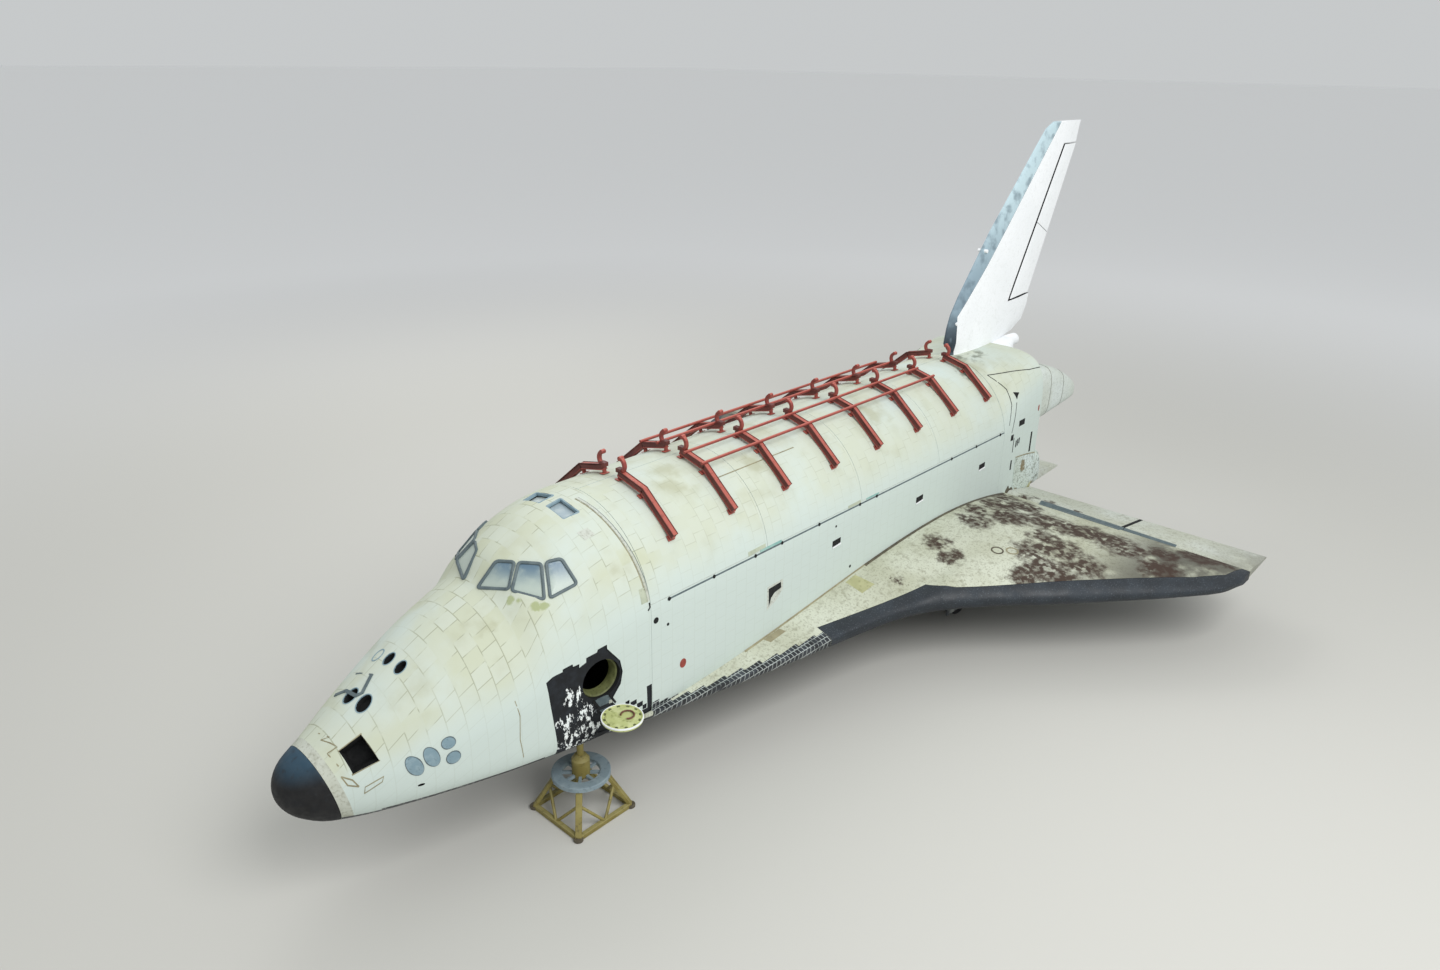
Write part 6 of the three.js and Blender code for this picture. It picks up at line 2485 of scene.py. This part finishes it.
@dataclass
class Fin:
    """The fin with its dark leading edge, and the rudder in an upper and a lower half."""

    paint: Palette
    rudder_bottom: float = 7.5
    rudder_split: float = 10.37
    split_slope: float = 0.345
    rudder_top: float = 13.35
    rudder_gap: float = 0.06
    gap: float = 0.02
    seam: float = 0.008
    hinge: tuple[tuple[float, float], ...] = ((7.0, 31.43), (14.25, 35.53))
    rear: tuple[tuple[float, float], ...] = ((7.0, 33.3), (13.35, 36.15))
    edge_line: tuple[tuple[float, float], ...] = (
        (5.4, 27.65), (7.4, 27.65), (9.15, 29.5), (13.9, 34.05), (14.4, 34.55)
    )
    profile: tuple[tuple[float, float], ...] = (
        (0, 0.12), (0.04, 0.45), (0.15, 0.8), (0.4, 1), (0.75, 0.75), (1, 0.1)
    )

    def side_prism(self, name: str, outline: Outline, finish: Finish) -> Mesh:
        """A body as wide as the fin and more, over an outline in height and station."""
        points = [at(station, -0.9, height) for height, station in outline]
        return prism(name, finish, points, Vector((0, 1.8, 0)))

    def build(self) -> None:
        """Makes the fin, its leading edge and both halves of the rudder."""
        curve = Curve([share for share, _ in self.profile], [[width] for _, width in self.profile])
        shares = [0, 0.006, 0.02, 0.04, 0.08, 0.13, 0.2, 0.3, 0.4, 0.5, 0.6, 0.7, 0.8, 0.9, 1.0]
        rows = []
        for height in sorted({*stretch(5.5, 14.25, 0.3), *(row.height for row in FIN_ROWS)}):
            edge, rear, half = (between(FIN_ROWS, height, column) for column in (1, 2, 3))
            port = [(edge + share * (rear - edge), float(curve(share)[0]) * half) for share in shares]
            port[0] = (edge, 0.02)
            whole = port + [(station, -y) for station, y in reversed(port)]
            row = [tuple(at(station, y, height)) for station, y in whole]
            rows.append([*row, row[0]])
        fin = wrapped("fin_panel", np.array(rows), self.paint.fin)
        room = hull_plug("crown_room", self.paint.fin, stretch(27.0, 30.3, 1.0) + [32.9], -0.0005)
        carve(fin, room)
        edge = copied(fin, "fin_edge_panels")
        edge.data.materials[0] = self.paint.fin_edge
        front = [(14.6, 26.0), (5.4, 26.0)]
        carve(
            edge, self.side_prism("edge_prism", [*self.edge_line, *front], self.paint.fin_edge), "INTERSECT"
        )
        behind = [(height, station + self.seam) for height, station in self.edge_line]
        carve(fin, self.side_prism("clear_prism", [*behind, *front], self.paint.dark))
        room = [
            (self.rudder_bottom - self.rudder_gap, between(self.hinge, self.rudder_bottom, 1) - 0.32),
            (self.rudder_top + self.rudder_gap, between(self.hinge, self.rudder_top, 1) - 0.17),
            (self.rudder_top + self.rudder_gap, 37.5),
            (self.rudder_bottom - self.rudder_gap, 37.5),
        ]
        # The walls of the rudder's room keep the cutter's near black, painted shadow in the gap.
        carve(fin, self.side_prism("rudder_room", room, self.paint.dark))
        hand_over(shade(fin), "root", "white_tile", "tail_fin")
        hand_over(shade(edge), "root", "dark_edge", "fin_leading_edge")
        hand_over(self.studs(), "root", "white_tile")
        low = (self.rudder_bottom, 0.0)
        split = self.rudder_split - self.gap / 2
        hand_over(
            self.rudder("lower_rudder_panel", low, (split, self.split_slope)), "rudder", "white_tile",
            "lower_rudder",
        )
        high = (self.rudder_top, 0.0)
        upper = self.rudder("upper_rudder_panel", (split + self.gap, self.split_slope), high)
        hand_over(upper, "rudder", "white_tile", "upper_rudder")

    def rudder(self, name: str, low: tuple[float, float], high: tuple[float, float]) -> Mesh:
        """Half of the rudder.

        Args:
            name: Its name.
            low: The height of its lower end at the hinge, and how steeply that end falls aft.
            high: The same of its upper end.

        Returns:
            The rudder half.
        """
        rows = []
        for share in np.linspace(0, 1, 8):
            height, slope = (first + (last - first) * share for first, last in zip(low, high))
            radius = 0.03 + 0.7 * between(FIN_ROWS, height, 3)
            hinge = between(self.hinge, height, 1)
            drop = slope * (between(self.rear, height, 1) - hinge)
            rear = between(self.rear, height - drop, 1)
            row = [tuple(at(station, y, height)) for station, y in half_round((hinge, 0.0), radius)]
            row += [tuple(at(rear, -0.03, height - drop)), tuple(at(rear, 0.03, height - drop))]
            rows.append([*row, row[0]])
        half = wrapped(name, np.array(rows), self.paint.fin)
        # The rudder's front and its ends are near black: painted shadow in the gaps round it.
        coat_where(half, self.paint.dark, lambda _, normal: normal.x > 0.3 or abs(normal.z) > 0.8)
        return shade(half)

    def studs(self) -> Mesh:
        """The white discs on the dark edge, port and starboard.

        Returns:
            The discs as one piece.
        """
        parts = []
        for station, height in ((27.62, 7.13), (29.33, 9.69)):
            ends = (at(station, -0.2, height), at(station, 0.2, height))
            parts.append(tube("edge_stud", self.paint.fin, ends, 0.07, 20, None, 0.01))
        return joined("fin_edge_studs", parts)


@dataclass
class RearEnd:
    """Aft body with its skirt, side pods, small engines, parachute housing and body flap."""

    paint: Palette
    front: float = 27.45
    rear: float = 30.3
    chute_height: float = 5.58
    nozzle_y: float = 0.62
    nozzle_height: float = 3.7
    flap_hinge: float = 31.75
    flap_rear: float = 33.6
    flap_half: float = 2.45
    flap_height: float = 0.33
    flap_radius: float = 0.2
    bell: tuple[tuple[float, float], ...] = (
        (0.15, 0.2), (0.19, 0.42), (0.26, 0.68), (0.34, 0.93), (0.4, 1.15), (0.385, 1.15), (0.32, 0.93),
        (0.23, 0.68), (0.15, 0.5), (0.02, 0.45), (0.02, 0.2),
    )
    skirt_rows: tuple[tuple[float, ...], ...] = (
        (30.1, -2.65, 2.65, 0.03, 2.0), (31.05, -2.68, 2.68, 0.035, 1.85), (31.53, -2.55, 2.55, 0.06, 1.15),
    )
    spine_rows: tuple[tuple[float, ...], ...] = (
        (29.7, -0.9, 0.9, 4.2, 5.915), (31.0, -0.85, 0.85, 4.3, 5.93), (31.8, -0.55, 0.55, 5.0, 5.91),
    )
    pod_rows: tuple[tuple[float, ...], ...] = (
        (30.32, 1.25, 2.74, 3.0, 5.35), (31.3, 1.3, 2.74, 3.08, 5.2), (32.3, 1.4, 2.72, 3.2, 4.85),
        (33.1, 1.5, 2.7, 3.3, 4.45), (33.6, 1.65, 2.65, 3.4, 4.1), (33.76, 1.85, 2.5, 3.52, 3.9),
    )

    def rounded_body(
        self, name: str, finish: Finish, rows: Sequence[Sequence[float]], power: float, step: float = 0.25
    ) -> Mesh:
        """A body with rounded corners along X.

        Args:
            name: Its name.
            finish: Its material.
            rows: Rows of station, inner y, outer y, low and high.
            power: How square its corners are.
            step: The space between its rings.

        Returns:
            The body.
        """
        curve = Curve([row[0] for row in rows], [row[1:] for row in rows])
        marks = sorted({*stretch(rows[0][0], rows[-1][0], step), *(row[0] for row in rows)})
        rings = []
        for station in marks:
            inner, outer, low, high = curve(station)
            ring = []
            for turn in range(49):
                angle = 2 * math.pi * turn / 48
                across, up = math.cos(angle), math.sin(angle)
                y = (inner + outer) / 2 + (outer - inner) / 2 * math.copysign(
                    abs(across) ** (2 / power), across
                )
                height = (low + high) / 2 + (high - low) / 2 * math.copysign(abs(up) ** (2 / power), up)
                ring.append(tuple(at(station, y, height)))
            rings.append(ring)
        return wrapped(name, np.array(rings), finish)

    def build(self) -> None:
        """Makes the aft body and all that is behind it."""
        body = hull_plug("aft_body", self.paint.hull, stretch(self.front, self.rear, 0.3))
        carve(body, self.rounded_body("aft_skirt", self.paint.rough, self.skirt_rows, 6), "UNION")
        carve(body, self.rounded_body("aft_spine", self.paint.fin, self.spine_rows, 4), "UNION")
        coat_where(body, self.paint.belly, faces_down)
        hand_over(shade(body), "root", "white_tile", "aft_fuselage")
        parts = [shade(self.rounded_body("pod_shell", self.paint.pod, self.pod_rows, 3.5, 0.12))]
        form = Curve([row[0] for row in self.pod_rows], [row[1:] for row in self.pod_rows])
        for station in (31.1, 32.3):
            inner, outer, low, high = form(station)
            band = (inner - 0.004, outer + 0.004, low - 0.004, high + 0.004)
            rows = [(station - 0.012, *band), (station + 0.012, *band)]
            parts.append(self.rounded_body("pod_seam", self.paint.soot, rows, 3.5))
        pod = joined("port_pod_shell", parts)
        for side in reversed(Side):
            twin = on_side(pod, side, f"{side.label}_pod_shell")
            hand_over(twin, "root", "white_tile", f"{side.label}_engine_pod")
        self.build_engines()
        self.build_flap()
        self.mark_sides()

    def build_engines(self) -> None:
        """Makes the engine plate with its two bells, and the parachute housing."""
        low, high = at(30.56, -1.15, 3.25), at(30.3005, 1.15, 4.15)
        parts = [box("engine_plate", self.paint.metal, low, high, 0.03)]
        for side in Side:
            base = at(30.3, side.value * self.nozzle_y, self.nozzle_height)
            parts.append(turned("engine_bell", self.paint.metal, self.bell, base, Vector((-1, 0, 0))))
        hand_over(joined("engine_bells", parts), "root", "gear_metal", "engine_block")
        ends = (at(31.808, 0, self.chute_height), at(32.9, 0, self.chute_height))
        chute = tube("chute_cone", self.paint.fin, ends, 0.27, 48, 0.24, 0.03)
        hand_over(chute, "root", "white_tile", "parachute_housing")

    def build_flap(self) -> None:
        """Makes the body flap."""
        rows = []
        section = half_round((self.flap_hinge, self.flap_height), self.flap_radius)
        section += [
            (self.flap_rear, self.flap_height - 0.11), (self.flap_rear, self.flap_height - 0.05), section[0]
        ]
        for y in stretch(-self.flap_half, self.flap_half, 0.4):
            rows.append([tuple(at(station, y, height)) for station, height in section])
        flap = wrapped("body_flap_panel", np.array(rows), self.paint.elevon)
        coat_where(flap, self.paint.belly, underside)
        hand_over(shade(flap), "flap", "black_tile", "body_flap")

    def mark_sides(self) -> None:
        """Lays the seams, slots and dark covers on the aft body's sides."""
        for side in Side:
            parts = []
            seams = (
                ((27.69, 1.63, 5.37), (28.06, 2.20, 4.83), (28.08, 2.51, 4.32), (27.81, 2.75, 3.61)),
                ((27.69, 1.63, 5.37), (28.39, 1.9, 5.3), (29.62, 2.35, 5.35), (30.28, 2.55, 5.4)),
                ((28.38, 2.5, 4.34), (28.2, 2.7, 3.8), (28.03, 2.79, 3.26)),
            )
            for seam in seams:
                path = on_chart([(station, side.value * y, height) for station, y, height in seam])
                parts.append(ribbon("aft_seam", self.paint.dark, path, 0.03, -0.01, 0.005))
            covers = (
                (28.79, 3.52, 0.22, 0.12), (28.11, 3.05, 0.1, 0.12), (29.77, 2.46, 0.06, 0.42),
                (28.3, 1.86, 0.05, 0.2),
                (28.5, 2.7, 0.035, 0.14), (28.62, 2.74, 0.035, 0.14), (28.74, 2.78, 0.035, 0.12),
                (28.28, 2.7, 0.02, 0.3),
            )
            for station, height, half, tall in covers:
                corners = ((-half, -tall), (half, -tall), (half, tall), (-half, tall))
                rows = [(station + along, height + up) for along, up in corners]
                parts.append(plug("aft_slot", self.paint.dark, on_wall(rows, side), *MARK))
            mark = oval(HULL.arc_of(30.1, side.value * 2.78, 3.8), 30.1, 0.13, 0.05, 12)
            parts.append(plug("aft_red_mark", self.paint.signal, mark, -0.02, 0.008))
            notch = [(28.3, 4.78), (28.62, 4.72), (28.5, 4.62), (28.42, 4.5), (28.36, 4.66)]
            path = [(HULL.arc_at(station, height) * side.value, station) for station, height in notch]
            parts.append(plug("aft_notch", self.paint.dark, path, -0.02, 0.008, 0.12))
            rows = [(28.66, 0.1), (30.28, 0.1), (30.28, 1.85), (28.62, 2.08)]
            parts.append(plug("rough_tiles", self.paint.rough, on_wall(rows, side), -0.02, 0.02))
            path = on_wall([(28.64, 2.1), (30.28, 1.87)], side)
            parts.append(ribbon("rough_edge", self.paint.rust, path, 0.03, -0.01, 0.026))
            rows = [
                (28.05, 0.6), (28.5, 0.55), (28.75, 0.66), (28.6, 0.84), (28.4, 0.8), (28.3, 0.98),
                (28.15, 0.82),
            ]
            parts.append(plug("aft_dirt", self.paint.soot, on_wall(rows, side), -0.02, 0.03, 0.12))
            rows = [(29.9, 0.25), (30.28, 0.3), (30.28, 0.62), (30.1, 0.5)]
            parts.append(plug("aft_moss", self.paint.olive, on_wall(rows, side), -0.02, 0.026, 0.12))
            hand_over(joined(f"{side.label}_aft_marks", parts), "root", "dark_interior")


class Wheel(NamedTuple):
    """Sizes of one twin wheel."""

    radius: float
    width: float
    rim: float
    spread: float
    axle: float


class Rod(NamedTuple):
    """One bar of a leg: both ends by their distance aft of the leg, y and height, and its radius."""

    name: str
    first: tuple[float, float, float]
    second: tuple[float, float, float]
    radius: float


@dataclass
class LandingGear:
    """The steered nose gear and the two main legs, with their wheels and doors."""

    paint: Palette
    nose_wheel: Wheel = Wheel(0.47, 0.29, 0.25, 0.27, 0.055)
    main_wheel: Wheel = Wheel(0.64, 0.43, 0.33, 0.37, 0.09)
    nose_station: float = 10.1
    main_station: float = 23.05
    main_y: float = 3.5
    nose_well: tuple[float, float, float, float] = NOSE_WELL
    main_well: tuple[float, float, float, float, float] = MAIN_WELL

    def build(self) -> None:
        """Makes all three gears."""
        self.build_nose()
        for side in Side:
            self.build_main(side)

    def rod(self, name: str, ends: tuple[Vector, Vector], radius: float, soft: float = 0.01) -> Mesh:
        """A steel bar with softened rims."""
        return tube(name, self.paint.metal, ends, radius, 32, None, soft)

    def rods(self, name: str, station: float, y: float, rows: Sequence[Rod]) -> Mesh:
        """Several bars of one leg as one piece.

        Args:
            name: The piece's name.
            station: The leg's station.
            y: The leg's y.
            rows: The bars.

        Returns:
            The piece.
        """
        parts = []
        for part, first, second, radius in rows:
            ends = [at(station + aft, y + across, height) for aft, across, height in (first, second)]
            parts.append(self.rod(part, (ends[0], ends[1]), radius))
        return joined(name, parts)

    def wheels(self, name: str, station: float, y: float, wheel: Wheel, body: str) -> None:
        """Twin wheels on one axle.

        Args:
            name: The nodes' first words.
            station: Their station.
            y: The y of the space between them.
            wheel: Their sizes.
            body: The body that they turn with.
        """
        centre = at(station, y, wheel.radius - BELLY)
        axis = Vector((0, 1, 0))
        disc = wheel.width * 0.38
        half = [
            (0.0005, wheel.spread + disc + 0.03), (wheel.axle, wheel.spread + disc + 0.03),
            (wheel.axle, wheel.spread + disc * 0.4), (wheel.rim * 0.5, wheel.spread + disc * 0.55),
            (wheel.rim * 0.8, wheel.spread + disc * 0.4), (wheel.rim * 0.88, wheel.spread + disc * 0.95),
            (wheel.rim - 0.001, wheel.spread + disc), (wheel.rim - 0.001, wheel.spread - disc),
            (wheel.axle, wheel.spread - disc),
        ]
        outline = half + [(radius, -along) for radius, along in reversed(half)]
        parts = [turned("wheel_hub", self.paint.metal, outline, centre, axis, 48)]
        for side in Side:
            for index in range(8):
                angle = 2 * math.pi * index / 8
                way = Vector((math.cos(angle), 0, math.sin(angle))) * wheel.rim * 0.66
                spot = centre + way + axis * side.value * (wheel.spread + disc * 0.45)
                ends = (spot, spot + axis * side.value * 0.03)
                parts.append(self.rod("wheel_bolt", ends, wheel.rim * 0.07, 0.004))
        hand_over(joined(f"{name}_wheel_hubs", parts), body, "gear_metal", f"{name}_hubs")
        for side in Side:
            tyre = turned(
                f"{name}_{side.label}_grooved_tyre", self.paint.rubber, self.tyre(wheel),
                centre + axis * side.value * wheel.spread, axis, 72,
            )
            hand_over(tyre, body, "tyre_rubber", f"{name}_{side.label}_tyre")

    def tyre(self, wheel: Wheel) -> Profile:
        """A tyre's section: bead, rounded shoulders and a tread with grooves.

        Args:
            wheel: Its sizes.

        Returns:
            Rows of radius and distance along the axle.
        """
        half = wheel.width / 2
        flank = []
        for step in range(9):
            angle = math.radians(-60 + 140 * step / 8)
            rise = (wheel.radius - wheel.rim) * (0.5 + 0.5 * math.sin(angle))
            flank.append((wheel.rim + rise, half * (0.62 + 0.38 * math.cos(angle))))
        tread = []
        for share in (0.48, 0.2, -0.2, -0.48):
            middle, groove = half * share, 0.012
            tread += [(wheel.radius, middle + groove), (wheel.radius - 0.012, middle + groove * 0.7)]
            tread += [(wheel.radius - 0.012, middle - groove * 0.7), (wheel.radius, middle - groove)]
        left = [(radius, -along) for radius, along in reversed(flank)]
        return [(wheel.rim, half * 0.6), *flank, *tread, *left, (wheel.rim, -half * 0.6)]

    def build_nose(self) -> None:
        """Makes the nose leg, its steered piston, wheels and doors."""
        station, wheel = self.nose_station, self.nose_wheel
        front, rear, half, depth = self.nose_well
        axle, top = wheel.radius - BELLY, depth - 0.0005
        leg = (
            Rod("nose_sleeve", (0, 0, -0.65), (0, 0, top), 0.13),
            Rod("nose_head", (0, -0.56, 0.43), (0, 0.56, 0.43), 0.075),
            Rod("nose_brace", (1.3, 0, 0.47), (0.06, 0, -0.42), 0.06),
            Rod("nose_brace_head", (1.3, -0.42, 0.47), (1.3, 0.42, 0.47), 0.06),
        )
        hand_over(self.rods("nose_gear_leg", station, 0, leg), "root", "gear_metal", "nose_leg")
        fork = (
            Rod("nose_piston", (0, 0, axle), (0, 0, -0.67), 0.085),
            Rod("nose_boss", (0, -0.1, axle), (0, 0.1, axle), wheel.axle + 0.06),
            Rod("nose_collar", (0, 0, -0.83), (0, 0, -0.67), 0.12),
            Rod("nose_link_top", (0, 0, -0.76), (0.33, 0, -0.96), 0.04),
            Rod("nose_link_low", (0.33, 0, -0.96), (0, 0, axle + 0.33), 0.04),
        )
        whole = self.rods("nose_gear_fork", station, 0, fork)
        hand_over(whole, "nose_steering", "gear_metal", "nose_fork")
        self.wheels("nose", station, 0, wheel, "nose_wheels")
        for side in Side:
            y = side.value * (half + 0.04)
            low, high = at(rear - 0.06, y, -0.78), at(front + 0.06, y + side.value * 0.05, -0.0005)
            door = box(f"{side.label}_nose_door_panel", self.paint.belly, low, high, 0.015)
            hand_over(door, "root", "black_tile", f"{side.label}_nose_gear_door")

    def build_main(self, side: Side) -> None:
        """Makes one main leg, its wheels and its door.

        Args:
            side: Which side.
        """
        station, wheel, y = self.main_station, self.main_wheel, side.value * self.main_y
        front, rear, _, outer, depth = self.main_well
        axle, top = wheel.radius - BELLY, depth - 0.0005
        leg = (
            Rod("main_sleeve", (0, 0, -0.5), (0, 0, top), 0.165),
            Rod("main_piston", (0, 0, axle), (0, 0, -0.48), 0.115),
            Rod("main_boss", (0, -0.14, axle), (0, 0.14, axle), wheel.axle + 0.08),
            Rod("main_brace", (-1.35, 0, 0.6), (-0.06, 0, -0.35), 0.075),
            Rod("main_brace_head", (-1.35, -0.42, 0.6), (-1.35, 0.42, 0.6), 0.07),
            Rod("main_brace_top", (-1.35, 0, 0.6), (-1.35, 0, top), 0.06),
            Rod("main_link_top", (0, 0, -0.42), (0.42, 0, -0.76), 0.05),
            Rod("main_link_low", (0.42, 0, -0.76), (0, 0, axle + 0.33), 0.05),
        )
        whole = self.rods(f"{side.label}_main_gear_leg", station, y, leg)
        hand_over(whole, "root", "gear_metal", f"{side.label}_main_leg")
        self.wheels(f"{side.label}_main", station, y, wheel, f"{side.label}_main_wheels")
        inner_face = side.value * (outer + 0.03)
        low, high = at(rear - 0.06, inner_face, -1.35), at(
            front + 0.06, inner_face + side.value * 0.05, -0.03
        )
        door = box(f"{side.label}_main_door_panel", self.paint.belly, low, high, 0.015)
        hand_over(door, "root", "black_tile", f"{side.label}_main_gear_door")


@dataclass
class JackStand:
    """The yellow stand under the cabin: splayed legs on a square base, a round deck and a jack."""

    paint: Palette
    station: float = 6.9
    y: float = 2.15
    half_base: float = 0.9
    leg_top: float = 0.45
    deck_height: float = 1.1
    bar: float = 0.07
    spokes: int = 8
    ring: tuple[tuple[float, float], ...] = (
        (0.5, 1.1), (0.5, 1.215), (0.52, 1.23), (0.76, 1.23), (0.78, 1.215), (0.78, 1.1),
    )
    column: tuple[tuple[float, float], ...] = (
        (0.0005, 1.12), (0.24, 1.12), (0.24, 1.6), (0.2, 1.64), (0.16, 1.72), (0.09, 1.73), (0.09, 2.06),
        (0.11, 2.07), (0.11, 2.0995), (0.0005, 2.0995),
    )

    def corner(self, index: float, reach: float, height: float) -> Vector:
        """A point on a diagonal of the base.

        Args:
            index: Which diagonal.
            reach: Half the side of the square that it is a corner of.
            height: Its height above the belly.

        Returns:
            The point.
        """
        angle = math.pi / 4 + index * math.pi / 2
        spread = reach * math.sqrt(2)
        return at(self.station + spread * math.cos(angle), self.y + spread * math.sin(angle), height)

    def build(self) -> None:
        """Makes the stand."""
        floor, paint = -BELLY, self.paint.yellow
        deck = floor + self.deck_height
        parts = []
        for index in range(4):
            foot = self.corner(index, self.half_base, floor + self.bar)
            following = self.corner(index + 1, self.half_base, floor + self.bar)
            parts.append(beam_box("base_bar", paint, (foot, following), (0.13, 0.13), UP, 0.01))
            top = self.corner(index, self.leg_top, deck + 0.02)
            parts.append(beam_box("splayed_leg", paint, (foot, top), (0.17, 0.1), UP, 0.01))
            pad = (
                self.corner(index, self.half_base, floor), self.corner(index, self.half_base, floor + 0.09)
            )
            parts.append(tube("foot_pad", self.paint.soot, pad, 0.13, 32, None, 0.015))
            middle = (foot + following) / 2
            for diagonal in (index, index + 1):
                knee = self.corner(diagonal, 0.6, floor + 0.75)
                parts.append(tube("base_brace", paint, (middle, knee), self.bar * 0.6, 16))
        centre = Vector((NOSE_X - self.station, self.y, 0))
        parts.append(turned("round_deck", self.paint.deck, self.ring, centre, UP))
        for index in range(self.spokes):
            angle = 2 * math.pi * index / self.spokes
            way = Vector((math.cos(angle), math.sin(angle), 0))
            ends = (centre + way * 0.2 + UP * 1.15, centre + way * 0.6 + UP * 1.15)
            parts.append(beam_box("deck_spoke", self.paint.deck, ends, (0.08, 0.08), UP, 0.005))
        parts.append(turned("jack_column", paint, self.column, centre, UP, 48))
        hand_over(joined("yellow_jack_stand", parts), "root", "yellow_paint", "nose_stand")


@dataclass
class Studio:
    """Pale floor, soft light and the camera that stands where the photographer stood."""

    eye: tuple[float, float, float] = (24.873, 19.347, 18.559)
    aim: tuple[float, float, float] = (2.185, -1.376, 5.567)
    roll: float = 0.016
    lens: float = 25.355
    sensor: float = 36.0
    farthest: float = 3000.0
    floor_size: float = 2400.0
    floor_drop: float = 0.002
    floor_colours: tuple[str, str] = ("#c9c8c2", "#fafafa")
    floor_paling: tuple[float, float] = (25.0, 75.0)
    sky_colour: str = "#e2e5e6"
    sky_strength: float = 0.75
    lamp_size: float = 30.0
    lamp_aim: tuple[float, float, float] = (0.0, 0.0, 3.0)

    def build(self) -> None:
        """Makes the floor, the lights and the camera, and shows colours as they are."""
        bpy.context.scene.view_settings.view_transform = "Standard"
        self.build_camera()
        self.build_floor()
        self.build_lights()

    def build_camera(self) -> None:
        """Places the camera and sets it as the scene's."""
        data = bpy.data.cameras.new("view")
        data.lens = self.lens
        data.sensor_width = self.sensor
        data.clip_end = self.farthest
        camera = bpy.data.objects.new("view", data)
        bpy.context.collection.objects.link(camera)
        forward = (Vector(self.aim) - Vector(self.eye)).normalized()
        right = forward.cross(UP).normalized()
        up = right.cross(forward)
        rolled_right = right * math.cos(self.roll) + up * math.sin(self.roll)
        rolled_up = up * math.cos(self.roll) - right * math.sin(self.roll)
        turn = Matrix((rolled_right, rolled_up, -forward)).transposed().to_4x4()
        camera.matrix_world = Matrix.Translation(Vector(self.eye)) @ turn
        bpy.context.scene.camera = camera

    def build_floor(self) -> None:
        """Lays the plain floor."""
        mixer = Mixer("studio_floor")
        away = mixer.add("VectorMath", {0: mixer.body}, operation="LENGTH").outputs["Value"]
        near, far = self.floor_colours
        mixer.coat(near, (mixer.fade(away, *self.floor_paling), far))
        mixer.values(Roughness=0.9)
        place = (0, 0, -self.floor_drop)
        floor = start("plane", "studio_ground", mixer.finish, size=self.floor_size, location=place)
        settle(floor)

    def build_lights(self) -> None:
        """Hangs one broad key light, a fill light and an even sky."""
        world = bpy.data.worlds.new("studio_sky")
        bpy.context.scene.world = world
        world.use_nodes = True
        sky = world.node_tree.nodes["Background"]
        sky.inputs[0].default_value = linear(self.sky_colour)
        sky.inputs[1].default_value = self.sky_strength
        for name, place, power in (("key_light", (10, 34, 40), 16000), ("fill_light", (-10, -30, 34), 6000)):
            data = bpy.data.lights.new(name, "AREA")
            data.size = self.lamp_size
            data.energy = power
            lamp = bpy.data.objects.new(name, data)
            bpy.context.collection.objects.link(lamp)
            turn = (Vector(self.lamp_aim) - Vector(place)).to_track_quat("-Z", "Y").to_matrix().to_4x4()
            lamp.matrix_world = Matrix.Translation(Vector(place)) @ turn


def main() -> None:
    """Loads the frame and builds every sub-assembly in order."""
    logging.basicConfig(level=logging.INFO, format="%(name)s: %(message)s")
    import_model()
    paint = Palette()
    Studio().build()
    NoseAndCabin(paint).build()
    PayloadBay(paint).build()
    GroundBeams(paint).build()
    Wings(paint).build()
    Fin(paint).build()
    RearEnd(paint).build()
    LandingGear(paint).build()
    JackStand(paint).build()
    # The flight deck inside is given near black, painted shade.
    deck = bpy.data.objects["flight_deck"]
    deck.data.materials.clear()
    deck.data.materials.append(paint.dark)


if __name__ == "__main__":
    main()
